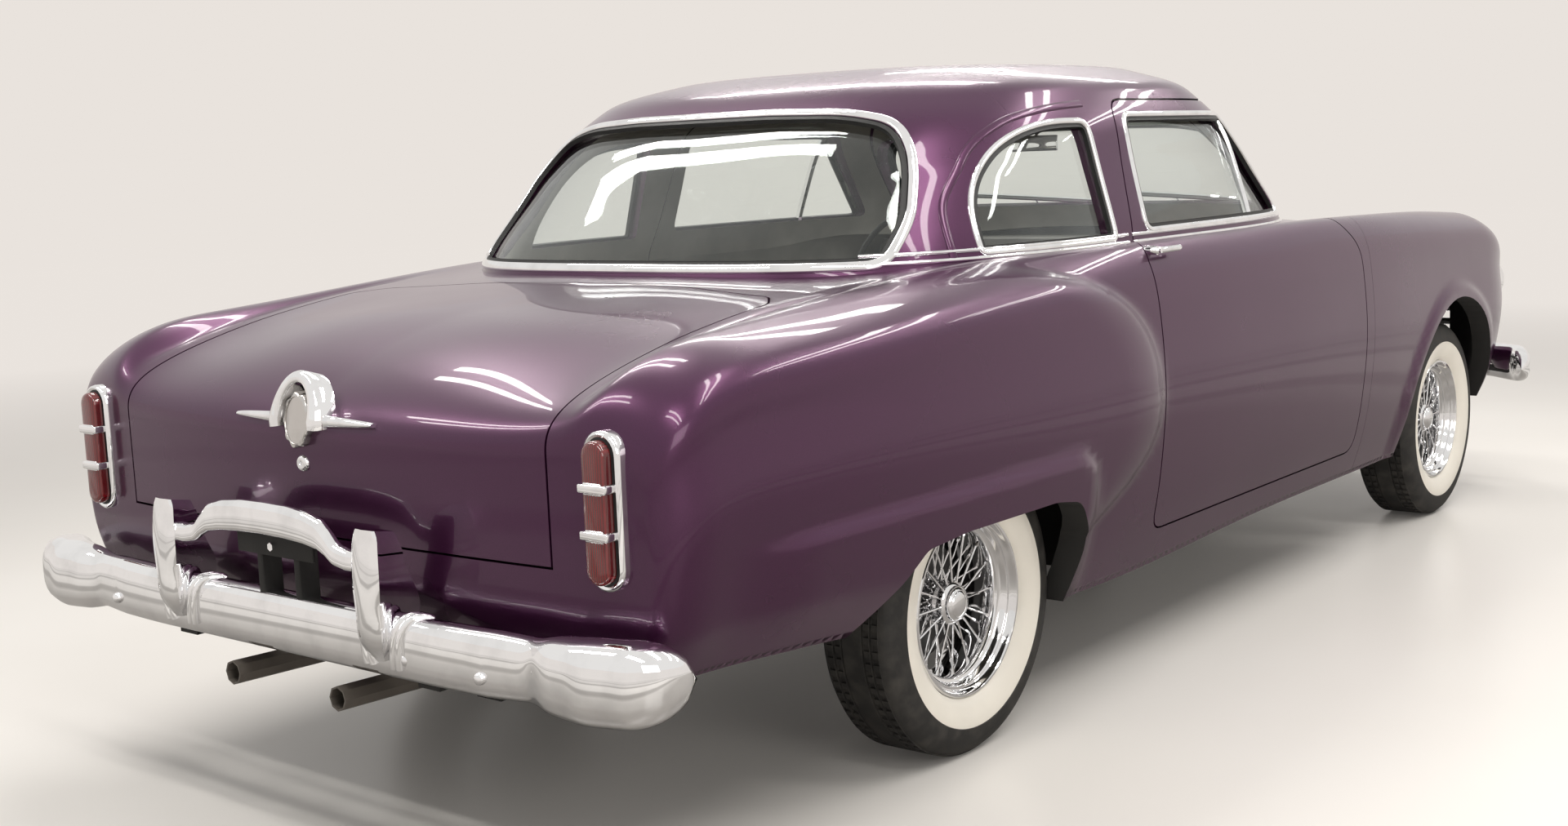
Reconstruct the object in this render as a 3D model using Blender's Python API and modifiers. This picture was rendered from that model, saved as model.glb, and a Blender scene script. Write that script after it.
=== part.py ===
"""Club sedan of the early 1950s: two doors, long trunk, wire wheels, chrome bumpers.

The car stands on z = 0 with its nose towards -Y and its left side at +X.
The sheet metal is one hollow loft of named profiles. Doors, hood, lid and
front fenders are cut from it where the real panels meet.
"""
import math

import bmesh
import bpy
import numpy as np
from mathutils import Matrix, Vector

# Driving dimensions in metres
WHEELBASE = 3.099
REAR_AXLE_Y = 1.359
FRONT_AXLE_Y = REAR_AXLE_Y - WHEELBASE
NOSE_Y = -2.450
TAIL_Y = 2.455
HALF_WIDTH = 0.958
FRONT_WHEEL_INSET = 0.196
REAR_WHEEL_INSET = 0.187
FRONT_TRACK = 2 * (HALF_WIDTH - FRONT_WHEEL_INSET)
REAR_TRACK = 2 * (HALF_WIDTH - REAR_WHEEL_INSET)
BELT_Z = 1.130
ROOF_Z = 1.605
SILL_Z = 0.290
TAIL_BOW = 0.055
NOSE_BOW = 0.090
TUCK = 0.055
TUCK_Z = 0.600
PANEL = 0.004

# Clearances
SEAT_GAP = 0.0003
SHUT_GAP = 0.006
SWING_GAP = 0.010
OVERRUN = 0.300

# Walls of the hollow body
SIDE_WALL = 0.070
TOP_WALL = 0.032
END_WALL = 0.035
ROOF_WALL = 0.036
GLASS_INSET = 0.016
GLASS = 0.006

# Rounding of tail and nose: how far along the car and how far inwards
TAIL_CORNER_Y = 0.120
TAIL_CORNER_X = 0.062
TAIL_DROP_Y = 0.300
TAIL_DROP_Z = 0.175
DECK_DROP_Y = 0.420
DECK_DROP_Z = 0.145
NOSE_CORNER_Y = 0.380
NOSE_CORNER_X = 0.170
NOSE_DROP_Y = 0.420
NOSE_DROP_Z = 0.230

# Profiles along the car: share of the length from nose to tail, then share of the size named
PLAN_SHARES = ((0.0, 0.945), (0.07, 0.958), (0.15, 0.968), (0.25, 0.982), (0.34, 0.988), (0.5, 0.990),
               (0.62, 0.990), (0.75, 0.990), (0.87, 0.987), (0.94, 0.980), (1.0, 0.972))
CROWN_Z_SHARES = ((0.0, 0.925), (0.07, 0.943), (0.15, 0.962), (0.25, 0.975), (0.34, 0.980),
                  (0.5, 0.982), (0.62, 0.982), (0.72, 0.975), (0.81, 0.960), (0.87, 0.942),
                  (0.94, 0.925), (1.0, 0.908))
CROWN_X_SHARES = ((0.0, 0.86), (0.15, 0.87), (0.34, 0.92), (0.5, 0.925), (0.62, 0.925),
                  (0.75, 0.90), (0.87, 0.885), (1.0, 0.875))
VALLEY_X_SHARES = ((0.0, 0.66), (0.15, 0.67), (0.34, 0.76), (0.5, 0.78), (0.62, 0.78),
                   (0.75, 0.745), (0.87, 0.735), (1.0, 0.735))
VALLEY_Z_SHARES = ((0.0, 0.872), (0.07, 0.895), (0.15, 0.920), (0.25, 0.950), (0.34, 0.975),
                   (0.5, 0.985), (0.62, 0.985), (0.75, 0.985), (0.82, 0.965), (0.87, 0.948),
                   (0.94, 0.902), (1.0, 0.850))
DECK_Z_SHARES = ((0.0, 0.885), (0.07, 0.915), (0.15, 0.945), (0.25, 0.975), (0.34, 0.995),
                 (0.5, 1.0), (0.62, 1.0), (0.75, 0.995), (0.82, 0.975), (0.87, 0.955),
                 (0.94, 0.922), (1.0, 0.875))
SILL_Z_SHARES = ((0.0, 1.45), (0.07, 1.25), (0.15, 1.06), (0.25, 1.0), (0.5, 1.0), (0.75, 1.05),
                 (0.87, 1.36), (0.94, 1.46), (1.0, 1.50))

# Side of a section: share of the half width, then share of the way from sill to crown
SIDE_SHARES = ((0.918, 0.0), (0.955, 0.14), (0.988, 0.36), (1.0, 0.56), (0.988, 0.78),
               (0.962, 0.93))
SECTION_KNOT_SHARES = (0.0, 0.075, 0.20, 0.31, 0.43, 0.53, 0.60, 0.73, 0.86, 1.0)
BULGE_REACH_SHARES = (0.86, 0.96)

# How finely the lofts are cut up
END_RING_SHARES = (0.80, 0.50, 0.16)
END_STATION_SHARES = (0.0, 0.04, 0.14, 0.30, 0.56, 0.78, 1.0)
LONG_STATIONS = 15
SKIN_ROWS = 13
HOLLOW_ROWS = 8
GREEN_SIDES = 18

# Shut lines
DOOR_FRONT_Y = -0.790
DOOR_REAR_Y = 0.575
DOOR_BOTTOM_Z = 0.378
DOOR_TOP_DROP = 0.123
DOOR_TOP_Z = ROOF_Z - DOOR_TOP_DROP
DOOR_CORNER = 0.060
DOOR_PILLAR_Y = -0.560
DOOR_HEAD_Y = -0.270
LID_INSET = 0.278
LID_HALF = HALF_WIDTH - LID_INSET
LID_FRONT_Y = 1.680
LID_CORNER_Y = 1.830
LID_CORNER_RUN = 0.060
LID_CROWN = 0.030
LID_BOTTOM_Z = 0.645
HINGE_POST = 0.060
HOOD_INSET = 0.358
HOOD_HALF = HALF_WIDTH - HOOD_INSET
HOOD_REAR_Y = -0.985
HOOD_BOTTOM_Z = 0.800
FIREWALL_Y = -0.900

# Rear fender: how far it stands out, where it starts and how it rises from its front edge
BULGE = 0.040
BULGE_START_Y = DOOR_REAR_Y - 0.25 * DOOR_CORNER
BULGE_SWEEP = 0.750
BULGE_RUN = 0.300
BULGE_LEAD_SHARE = 0.34
# Front edge of the rear fender: share of the sweep backwards, then share of the belt height
BULGE_EDGE_SHARES = ((0.44, 0.30), (0.44, 0.40), (0.187, 0.48), (0.027, 0.57), (0.0, 0.67),
                     (0.053, 0.78), (0.20, 0.87), (0.56, 0.95), (1.0, 1.0))

# Greenhouse rings: share of the height from belt to roof, half width, rear end, front end
GREEN_BASE_Z = 1.060
CABIN_STEP = 0.090
GREEN_HALF = HALF_WIDTH - CABIN_STEP
GREEN_REAR_Y = 1.595
GREEN_FRONT_Y = -0.900
GREEN_MID_Y = 0.230
GREEN_RING_SHARES = (
    (0.00, 1.000, 1.000, 1.000),
    (0.14, 0.980, 0.975, 0.960),
    (0.35, 0.945, 0.900, 0.850),
    (0.55, 0.913, 0.825, 0.735),
    (0.72, 0.880, 0.755, 0.630),
    (0.81, 0.845, 0.705, 0.560),
    (0.885, 0.790, 0.640, 0.480),
    (0.94, 0.690, 0.540, 0.385),
    (0.98, 0.500, 0.370, 0.260),
    (1.00, 0.220, 0.160, 0.110),
)
GREEN_REAR_POWER = 3.6
GREEN_FRONT_POWER = 3.4
GREEN_TOP_POWER = 2.2

# Windows
WINDOW_SILL_Z = 1.150
WINDOW_HEAD_DROP = 0.165
WINDOW_HEAD_Z = ROOF_Z - WINDOW_HEAD_DROP
WINDOW_REAR_Y = 0.455
VENT_HEAD_Y = -0.205
VENT_SILL_Y = -0.455
QUARTER_FRONT_Y = 0.645
QUARTER_REAR_Y = 1.155
QUARTER_SILL_Z = 1.136
QUARTER_HEAD_DROP = 0.179
QUARTER_HEAD_Z = ROOF_Z - QUARTER_HEAD_DROP
REAR_GLASS_INSET = 0.206
REAR_GLASS_HALF = GREEN_HALF - REAR_GLASS_INSET
REAR_GLASS_HEAD_HALF = 0.828 * REAR_GLASS_HALF
REAR_GLASS_SILL_Z = 1.126
REAR_GLASS_HEAD_DROP = 0.135
REAR_GLASS_HEAD_Z = ROOF_Z - REAR_GLASS_HEAD_DROP
SHIELD_INSET = 0.208
SHIELD_HALF = GREEN_HALF - SHIELD_INSET
SHIELD_HEAD_HALF = 0.886 * SHIELD_HALF
SHIELD_SILL_Z = 1.165
SHIELD_HEAD_DROP = 0.170
SHIELD_HEAD_Z = ROOF_Z - SHIELD_HEAD_DROP

# Wheel openings
REAR_ARCH_TOP_Z = 0.565
REAR_ARCH_FRONT_Y = 1.020
REAR_ARCH_BACK_Y = 1.700
REAR_ARCH_TAIL_Y = 1.930
REAR_ARCH_CORNER = 0.080
FRONT_ARCH_Y = -1.690
FRONT_ARCH_RADIUS = 0.470
FRONT_ARCH_TOP_Z = 0.790

# Wheels
HUB_Z = 0.345
TYRE_SIDES = 28
TYRE_RADIUS = HUB_Z / math.cos(math.pi / TYRE_SIDES)
TYRE_WIDTH = 0.205
RIM_RADIUS = 0.203
RIM_WIDTH = 0.150
RIM_FLANGE = 0.006
RIM_DROP = 0.024
HUB_RADIUS = 0.050
CAP_OUT = 0.050
SPOKE = 0.0045
SPOKES = 24
SPOKE_LEAN = math.radians(24)
DRUM_RADIUS = 0.140
DRUM_WIDTH = 0.055
DRUM_INNER = RIM_WIDTH / 2 + 0.4 * DRUM_WIDTH

# Nose
GRILLE_INSET = 0.318
GRILLE_HALF = HALF_WIDTH - GRILLE_INSET
GRILLE_LOW_Z = 0.500
GRILLE_HIGH_Z = 0.690
GRILLE_BAR = 0.016
GRILLE_ROWS = 4
GRILLE_POSTS = 5
LAMP_INSET = 0.208
LAMP_X = HALF_WIDTH - LAMP_INSET
LAMP_Z = 0.790
LAMP_RADIUS = 0.088

# Hinge arms and leaves
ARM_THICK = 0.010
HOOD_ARM_X = 0.450
LID_ARM_X = 0.300
ARM_REACH = 0.080
LEAF_HALF_Z = 0.030
LEAF_Z_SHARES = (0.25, 0.72)

# Bumpers
BUMPER_Z = 0.468
BUMPER_OUT = 0.130
BUMPER_Y = TAIL_Y + BUMPER_OUT
FRONT_BUMPER_Y = NOSE_Y - 1.2 * BUMPER_OUT
BUMPER_HALF_Z = 0.058
BUMPER_HALF_Y = 0.032
BUMPER_PROUD = 0.017
BUMPER_REACH_X = HALF_WIDTH + BUMPER_PROUD
BAR_SIDES = 10
BAR_SQUARENESS = 0.7
BAR_FLAT = BUMPER_HALF_Y * math.cos(math.pi / BAR_SIDES) ** BAR_SQUARENESS
BAR_TURN = math.radians(75)
REAR_WRAP = 0.190
FRONT_WRAP = 0.380
# Bumper bars: share of the reach sideways, share of the wrap, then share of the bar's own half sizes
REAR_BAR_SHARES = ((0.0, 0.0, 1.0, 1.0), (0.50, 0.0, 1.0, 1.0), (0.62, 0.06, 1.0, 1.0),
                   (0.70, 0.10, 1.1, 1.05), (0.74, 0.13, 1.7, 1.25), (0.84, 0.24, 1.9, 1.30),
                   (0.93, 0.46, 1.8, 1.25), (0.985, 0.75, 1.2, 1.10), (1.0, 1.0, 0.5, 0.6))
FRONT_BAR_SHARES = ((0.0, 0.0, 1.0, 1.0), (0.50, 0.0, 1.0, 1.0), (0.62, 0.10, 1.0, 1.0),
                    (0.80, 0.25, 1.1, 1.05), (0.93, 0.50, 1.1, 1.1), (0.985, 0.75, 0.9, 1.0),
                    (1.0, 1.0, 0.5, 0.6))
GUARD_X = 0.335
GUARD_HALF_X = 0.034
GUARD_OUT = 0.065
GUARD_TOP_Z = 0.708
GUARD_LOW_Z = 0.437
# Guard from foot to top: share of its height, of its reach behind and before the bar, of its half width
GUARD_SHARES = ((0.0, 0.23, 0.72, 0.35), (0.10, 0.08, 1.0, 0.71), (0.34, -0.60, 1.09, 0.91),
                (0.60, -0.15, 1.08, 1.0), (0.86, 0.23, 0.97, 0.88), (1.0, 0.32, 0.82, 0.66))
# Rail between the guards: share of the way out, of its rise, of its half height
ARCH_RAIL_SHARES = ((0.0, 1.0, 1.0), (0.22, 0.98, 1.0), (0.42, 0.88, 0.97), (0.55, 0.72, 0.90),
                    (0.63, 0.42, 0.72), (0.69, 0.12, 0.62), (0.80, 0.0, 0.60), (1.0, 0.0, 0.60))
ARCH_RAIL_Z = 0.640
ARCH_RAIL_RISE = 0.056
ARCH_RAIL_HALF_Y = 0.014
ARCH_RAIL_HALF_Z = 0.032

# Frame and floor
RAIL_X = 0.4175 * HALF_WIDTH
RAIL_HALF = 0.035
RAIL_LOW_Z = 0.240
FLOOR_Z = 0.330
FLOOR = 0.015
RAIL_TOP_Z = FLOOR_Z - SEAT_GAP
RAIL_NOSE_Y = NOSE_Y - 0.110
KICK_FRONT_Y = 0.880
KICK_REAR_Y = 1.820
KICK_RUN = 0.170
KICK_Z = 0.200
NOSE_KICK_Y = NOSE_Y + 0.8 * KICK_RUN
NOSE_KICK_Z = 0.080
TUNNEL_HALF = 0.130
TUNNEL_Z = 0.470
TAIL_RAIL_TOP_Z = RAIL_TOP_Z + 0.45 * KICK_Z
TAIL_CROSS_Y = TAIL_Y - 3 * RAIL_HALF
RAIL_REACH_Y = TAIL_CROSS_Y + 1.6 * RAIL_HALF
TRUNK_FLOOR_Z = FLOOR_Z + KICK_Z + 0.010
WHEELHOUSE_INSET = 0.141
WHEELHOUSE_X = REAR_TRACK / 2 - WHEELHOUSE_INSET

# Front suspension, rear axle and exhausts
KINGPIN_INSET = 0.122
KINGPIN_X = FRONT_TRACK / 2 - KINGPIN_INSET
KNUCKLE_HALF = 0.024
ARM_EYE = 0.016
ARM_HALF = 0.012
ARM_LOW_Z = 0.258
ARM_HIGH_Z = 0.470
SPINDLE = 0.018
AXLE_RADIUS = 0.040
DIFF_RADIUS = 0.125
SPRING_OUT = 0.120
SPRING_X = RAIL_X + SPRING_OUT
SHAFT_RADIUS = 0.034
PIPE_X = 0.175
PIPE_RADIUS = 0.026
PIPE_WALL = 0.004
PIPE_TIP_Y = BUMPER_Y + 0.015
PIPE_TIP_Z = 0.345
PIPE_LOW_Z = 0.232

# Cabin
SHELF_FRONT_Y = 1.180
SHELF_REAR_Y = LID_FRONT_Y - 2 * SHUT_GAP
SHELF_Z = 1.020
SEAT_INSET = 0.268
SEAT_HALF = GREEN_HALF - SEAT_INSET
SEAT_ROUND = 0.030
COLUMN_X = 0.380
COLUMN_TILT = math.radians(26)
WHEEL_AT = Vector((COLUMN_X, -0.200, 0.985))
STEERING_RADIUS = 0.215
STEERING_ROD = 0.011
STEERING_HUB = 0.034
DASH_INSET = 0.123
DASH_HALF = GREEN_HALF - DASH_INSET
DASH_LOW_Z = 0.770
DASH_HIGH_Z = 1.062
DASH_Y = -0.540

# Lamps, ornament and handles on the skin
TAIL_LAMP_INSET = 0.138
TAIL_LAMP_X = HALF_WIDTH - TAIL_LAMP_INSET
TAIL_LAMP_HALF_X = 0.040
TAIL_LAMP_LOW_Z = 0.618
TAIL_LAMP_HIGH_Z = 0.902
TAIL_LAMP_OUT = 0.030
TAIL_LENS_OUT = 0.052
TAIL_LENS_RIM = 0.009
TAIL_BAND_SHARES = (0.36, 0.66)
TAIL_BAND = 0.008
ORNAMENT_Z = 0.880
ORNAMENT_HALF = 0.190
ORNAMENT_OUT = 0.010
ORNAMENT_DEPTH = 0.060
ARCH_LEAN = 0.50
ARCH_HALF_X = 0.078
ARCH_HIGH = 0.100
ARCH_BAND = 0.028
MEDAL_HALF_X = 0.040
MEDAL_HALF_Z = 0.056
HANDLE_Y = 0.500
HANDLE_Z = 1.098
HANDLE_HALF = 0.062

CAR = bpy.data.collections.new("club_sedan")
CUTTERS = bpy.data.collections.new("cutters")


def clear_scene():
    """Remove whatever the file opened with."""
    for thing in list(bpy.data.objects):
        bpy.data.objects.remove(thing, do_unlink=True)
    bpy.context.scene.collection.children.link(CAR)
    bpy.context.scene.collection.children.link(CUTTERS)


def material(name, colour, roughness, metallic):
    """A plain Principled material."""
    mat = bpy.data.materials.get(name)
    if mat:
        return mat
    mat = bpy.data.materials.new(name)
    mat.use_nodes = True
    shader = mat.node_tree.nodes["Principled BSDF"]
    shader.inputs["Base Color"].default_value = (*colour, 1.0)
    shader.inputs["Roughness"].default_value = roughness
    shader.inputs["Metallic"].default_value = metallic
    return mat


PAINT = ("purple_paint", (0.10, 0.015, 0.12), 0.25, 0.5)
CHROME = ("chrome", (0.85, 0.85, 0.86), 0.08, 1.0)
RUBBER = ("tyre_rubber", (0.02, 0.02, 0.02), 0.75, 0.0)
GLASS_LOOK = ("window_glass", (0.75, 0.80, 0.80), 0.05, 0.0)
STEEL = ("dark_steel", (0.05, 0.05, 0.055), 0.55, 0.6)
CLOTH = ("grey_cloth", (0.28, 0.26, 0.25), 0.9, 0.0)
IRON = ("engine_iron", (0.08, 0.08, 0.08), 0.6, 0.5)


def new_object(name, mesh, look=None, cutter=False):
    """Put a mesh in the scene as a part or as a cutter."""
    thing = bpy.data.objects.new(name, mesh)
    if cutter:
        CUTTERS.objects.link(thing)
        thing.hide_render = True
        thing.display_type = "WIRE"
    else:
        CAR.objects.link(thing)
        if look:
            mesh.materials.clear()
            mesh.materials.append(material(*look))
    return thing


def finish(name, bm, look=None, cutter=False):
    """Close a bmesh with its faces pointing out and make an object of it."""
    bmesh.ops.recalc_face_normals(bm, faces=bm.faces)
    mesh = bpy.data.meshes.new(name)
    bm.to_mesh(mesh)
    bm.free()
    if not cutter:
        mesh.shade_smooth()
        mesh.set_sharp_from_angle(angle=math.radians(35))
    return new_object(name, mesh, look, cutter)


def evaluated(thing):
    """Replace an object's mesh by what its modifiers make of it."""
    graph = bpy.context.evaluated_depsgraph_get()
    mesh = bpy.data.meshes.new_from_object(thing.evaluated_get(graph))
    thing.modifiers.clear()
    thing.data = mesh
    return thing


def boolean(thing, other, operation, solver="EXACT"):
    """Apply one Boolean and keep the cutter as it is."""
    modifier = thing.modifiers.new(operation.lower(), "BOOLEAN")
    modifier.object = other
    modifier.operation = operation
    modifier.solver = solver
    return evaluated(thing)


def cut_sheet(thing, other, operation):
    """A Boolean on the lofted sheet metal, where the exact solver loses faces."""
    return boolean(thing, other, operation, "MANIFOLD")


def copy_of(thing, name, look):
    """A separate part with the same mesh data as another."""
    return new_object(name, thing.data.copy(), look)


def box(name, low, high, look=None, cutter=False):
    """A box between two corners."""
    bm = bmesh.new()
    bmesh.ops.create_cube(bm, size=1.0)
    size = Vector(high) - Vector(low)
    middle = (Vector(high) + Vector(low)) / 2
    bmesh.ops.scale(bm, vec=size, verts=bm.verts)
    bmesh.ops.translate(bm, vec=middle, verts=bm.verts)
    return finish(name, bm, look, cutter)


def prism(name, outline, axis, low, high, look=None, cutter=False):
    """Extrude a flat outline along an axis.

    The outline holds (y, z) for axis X, (x, z) for axis Y and (x, y) for axis Z.
    """
    bm = bmesh.new()
    ends = []
    for level in (low, high):
        ring = []
        for a, b in outline:
            place = {"X": (level, a, b), "Y": (a, level, b), "Z": (a, b, level)}[axis]
            ring.append(bm.verts.new(place))
        ends.append(ring)
    count = len(outline)
    bm.faces.new(ends[0])
    bm.faces.new(ends[1])
    for i in range(count):
        j = (i + 1) % count
        bm.faces.new((ends[0][i], ends[0][j], ends[1][j], ends[1][i]))
    return finish(name, bm, look, cutter)


def turned(name, profile, steps, look, cutter=False):
    """Turn an (x, z) profile about the Z axis; the profile is a closed loop."""
    mesh = bpy.data.meshes.new(name)
    count = len(profile)
    mesh.from_pydata([(x, 0, z) for x, z in profile], [(i, (i + 1) % count) for i in range(count)], [])
    thing = new_object(name, mesh, None, cutter)
    screw = thing.modifiers.new("turn", "SCREW")
    screw.steps = steps
    screw.render_steps = steps
    screw.use_merge_vertices = True
    screw.merge_threshold = 0.0001
    evaluated(thing)
    bm = bmesh.new()
    bm.from_mesh(thing.data)
    bmesh.ops.recalc_face_normals(bm, faces=bm.faces)
    bm.to_mesh(thing.data)
    bm.free()
    thing.data.shade_smooth()
    thing.data.set_sharp_from_angle(angle=math.radians(35))
    if look:
        thing.data.materials.clear()
        thing.data.materials.append(material(*look))
    return thing


def tube(name, points, radius, look, resolution=2, cutter=False):
    """A round bar along a line of points, as a welded mesh."""
    curve = bpy.data.curves.new(name, "CURVE")
    curve.dimensions = "3D"
    curve.bevel_depth = radius
    curve.bevel_resolution = resolution
    curve.use_fill_caps = True
    line = curve.splines.new("POLY")
    line.points.add(len(points) - 1)
    for point, place in zip(line.points, points):
        point.co = (*place, 1.0)
    guide = bpy.data.objects.new(name + "_line", curve)
    CUTTERS.objects.link(guide)
    graph = bpy.context.evaluated_depsgraph_get()
    mesh = bpy.data.meshes.new_from_object(guide.evaluated_get(graph))
    bpy.data.objects.remove(guide, do_unlink=True)
    bm = bmesh.new()
    bm.from_mesh(mesh)
    bmesh.ops.remove_doubles(bm, verts=bm.verts, dist=0.00001)
    return finish(name, bm, look, cutter)


def disc(name, radius, depth, centre, axis, look=None, sides=24, top=None, cutter=False):
    """A cylinder or cone about an axis through its centre."""
    bm = bmesh.new()
    bmesh.ops.create_cone(bm, cap_ends=True, segments=sides, radius1=radius,
                          radius2=radius if top is None else top, depth=depth)
    turn = {"X": Matrix.Rotation(math.pi / 2, 4, "Y"), "Y": Matrix.Rotation(-math.pi / 2, 4, "X"),
            "Z": Matrix.Identity(4)}[axis]
    bmesh.ops.transform(bm, matrix=Matrix.Translation(centre) @ turn, verts=bm.verts)
    return finish(name, bm, look, cutter)


def ball(name, size, centre, look=None, cutter=False):
    """An ellipsoid from a UV sphere."""
    bm = bmesh.new()
    bmesh.ops.create_uvsphere(bm, u_segments=16, v_segments=8, radius=1.0)
    bmesh.ops.scale(bm, vec=size, verts=bm.verts)
    bmesh.ops.translate(bm, vec=centre, verts=bm.verts)
    return finish(name, bm, look, cutter)


def join_into(thing, others):
    """Union other solids into a part and drop them."""
    for other in others:
        boolean(thing, other, "UNION")
        bpy.data.objects.remove(other, do_unlink=True)
    return thing


def drop(*things):
    """Remove helper objects."""
    for thing in things:
        bpy.data.objects.remove(thing, do_unlink=True)


def hang(thing, pivot):
    """Parent a part to the empty on its joint's axis, keeping its place."""
    thing.data.transform(Matrix.Translation(-pivot.location))
    thing.parent = pivot
    return thing


def pivot_at(name, place):
    """An empty on a joint's axis."""
    empty = bpy.data.objects.new(name, None)
    empty.location = place
    CAR.objects.link(empty)
    return empty


def spline(knots, values, at):
    """Natural cubic spline through values at knots, read at many places."""
    knots = np.asarray(knots, float)
    values = np.asarray(values, float)
    if values.ndim == 1:
        values = values[:, None]
    step = np.diff(knots)
    slope = np.diff(values, axis=0) / step[:, None]
    count = len(knots)
    system = np.eye(count)
    right = np.zeros_like(values)
    for i in range(1, count - 1):
        system[i, i - 1] = step[i - 1]
        system[i, i] = 2 * (step[i - 1] + step[i])
        system[i, i + 1] = step[i]
        right[i] = 6 * (slope[i] - slope[i - 1])
    bend = np.linalg.solve(system, right)
    at = np.clip(np.atleast_1d(np.asarray(at, float)), knots[0], knots[-1])
    k = np.clip(np.searchsorted(knots, at) - 1, 0, count - 2)
    h = step[k][:, None]
    a = (knots[k + 1] - at)[:, None] / h
    b = (at - knots[k])[:, None] / h
    curve = a * values[k] + b * values[k + 1]
    curve += ((a ** 3 - a) * bend[k] + (b ** 3 - b) * bend[k + 1]) * h ** 2 / 6
    return curve


def along(table, share):
    """Read a profile table at a share of the body length."""
    rows = np.asarray(table)
    return float(spline(rows[:, 0], rows[:, 1], share)[0, 0])


def rounding(distance, run, power=2.4):
    """One past the rounded end, falling to nought at the end itself."""
    if distance >= run:
        return 1.0
    inner = 1.0 - max(distance, 0.0) / run
    return (1.0 - inner ** power) ** (1.0 / power)


def bulge_at(y, z):
    """How far the rear fender stands out of the body side."""
    edge = np.asarray(BULGE_EDGE_SHARES)
    front = BULGE_START_Y + BULGE_SWEEP * float(spline(edge[1:, 1] * BELT_Z, edge[1:, 0], z)[0, 0])
    way = min(max((y - front) / BULGE_RUN, 0.0), 1.0)
    lead = min(way / BULGE_LEAD_SHARE, 1.0)
    return BULGE * (1.0 - (1.0 - way) ** 2.4) * lead * lead * (3.0 - 2.0 * lead)


def bow_at(x, z, back, front):
    """How far the tail bows back, or the nose forwards, at x; both tuck in below the bumpers."""
    share = max(1.0 - (x / HALF_WIDTH) ** 2, 0.0)
    tail_way = min(max(1.0 - back / DECK_DROP_Y, 0.0), 1.0)
    nose_way = min(max(1.0 - front / NOSE_DROP_Y, 0.0), 1.0)
    low = min(max((TUCK_Z - z) / (TUCK_Z - 1.3 * SILL_Z), 0.0), 1.0)
    return (TAIL_BOW * tail_way - NOSE_BOW * nose_way) * share - TUCK * low * low * (tail_way - nose_way)


def closing_rings(ring, y, back, front):
    """Shrink an end section towards its middle, following the bow."""
    middle = (ring[0][2] + ring[-1][2]) / 2
    rings = []
    for share in END_RING_SHARES:
        shrunk = [(x * share, middle + (z - middle) * share) for x, _, z in ring]
        rings.append([(x, y + bow_at(x, z, back, front), z) for x, z in shrunk])
    return rings


def section(y, rows, side=0.0, top=0.0, end=0.0, skirt=0.0):
    """Right half of the body's section at y, as (x, y, z) from sill to centre line.

    side, top and end move the walls inwards; skirt lowers the sill.
    """
    nose = NOSE_Y + end
    tail = TAIL_Y - end
    share = (y - NOSE_Y) / (TAIL_Y - NOSE_Y)
    back = tail - y
    front = y - nose
    half = HALF_WIDTH * along(PLAN_SHARES, share) - side
    half -= TAIL_CORNER_X * (1.0 - rounding(back, TAIL_CORNER_Y))
    half -= NOSE_CORNER_X * (1.0 - rounding(front, NOSE_CORNER_Y))
    fender_fall = TAIL_DROP_Z * (1.0 - rounding(back, TAIL_DROP_Y))
    deck_fall = DECK_DROP_Z * (1.0 - rounding(back, DECK_DROP_Y, 2.0))
    nose_fall = NOSE_DROP_Z * (1.0 - rounding(front, NOSE_DROP_Y, 2.0))
    sill = SILL_Z * along(SILL_Z_SHARES, share)
    crown = BELT_Z * along(CROWN_Z_SHARES, share) - top - fender_fall - nose_fall
    crown_x = half * along(CROWN_X_SHARES, share)
    valley_x = half * along(VALLEY_X_SHARES, share)
    valley = BELT_Z * along(VALLEY_Z_SHARES, share) - top - 0.7 * deck_fall - nose_fall
    deck = BELT_Z * along(DECK_Z_SHARES, share) - top - deck_fall - nose_fall
    level = max(1.0 - rounding(back, DECK_DROP_Y, 2.0), 1.0 - rounding(front, NOSE_DROP_Y, 2.0))
    valley += level * (0.5 * (crown + deck) - valley)
    points = [(half * x, sill + (crown - sill) * z) for x, z in SIDE_SHARES]
    points.append((crown_x, crown))
    points.append((valley_x, valley))
    points.append((0.5 * valley_x, deck - 0.22 * (deck - valley)))
    points.append((0.0, deck))
    curve = spline(SECTION_KNOT_SHARES, points, rows)
    start, full = BULGE_REACH_SHARES
    out = []
    for x, z in curve:
        outer = min(max((x / half - start) / (full - start), 0.0), 1.0)
        reach = max(x + bulge_at(y, z) * outer, 0.0)
        out.append((reach, y + bow_at(reach, z, back, front), z))
    if skirt:
        out[0] = (out[0][0], out[0][1], out[0][2] - skirt)
    return out


def loft(name, rings, cutter=True):
    """Skin half sections and their mirror images into one closed solid."""
    bm = bmesh.new()
    grid = []
    for ring in rings:
        right = [bm.verts.new(p) for p in ring]
        left = [bm.verts.new((-p[0], p[1], p[2])) for p in ring[:-1]]
        grid.append(right + left[::-1])
    for one, two in zip(grid, grid[1:]):
        for i in range(len(one) - 1):
            bm.faces.new((one[i], one[i + 1], two[i + 1], two[i]))
        bm.faces.new((one[-1], one[0], two[0], two[-1]))
    bm.faces.new(grid[0])
    bm.faces.new(grid[-1])
    bmesh.ops.triangulate(bm, faces=bm.faces)
    return finish(name, bm, None, cutter)


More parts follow.
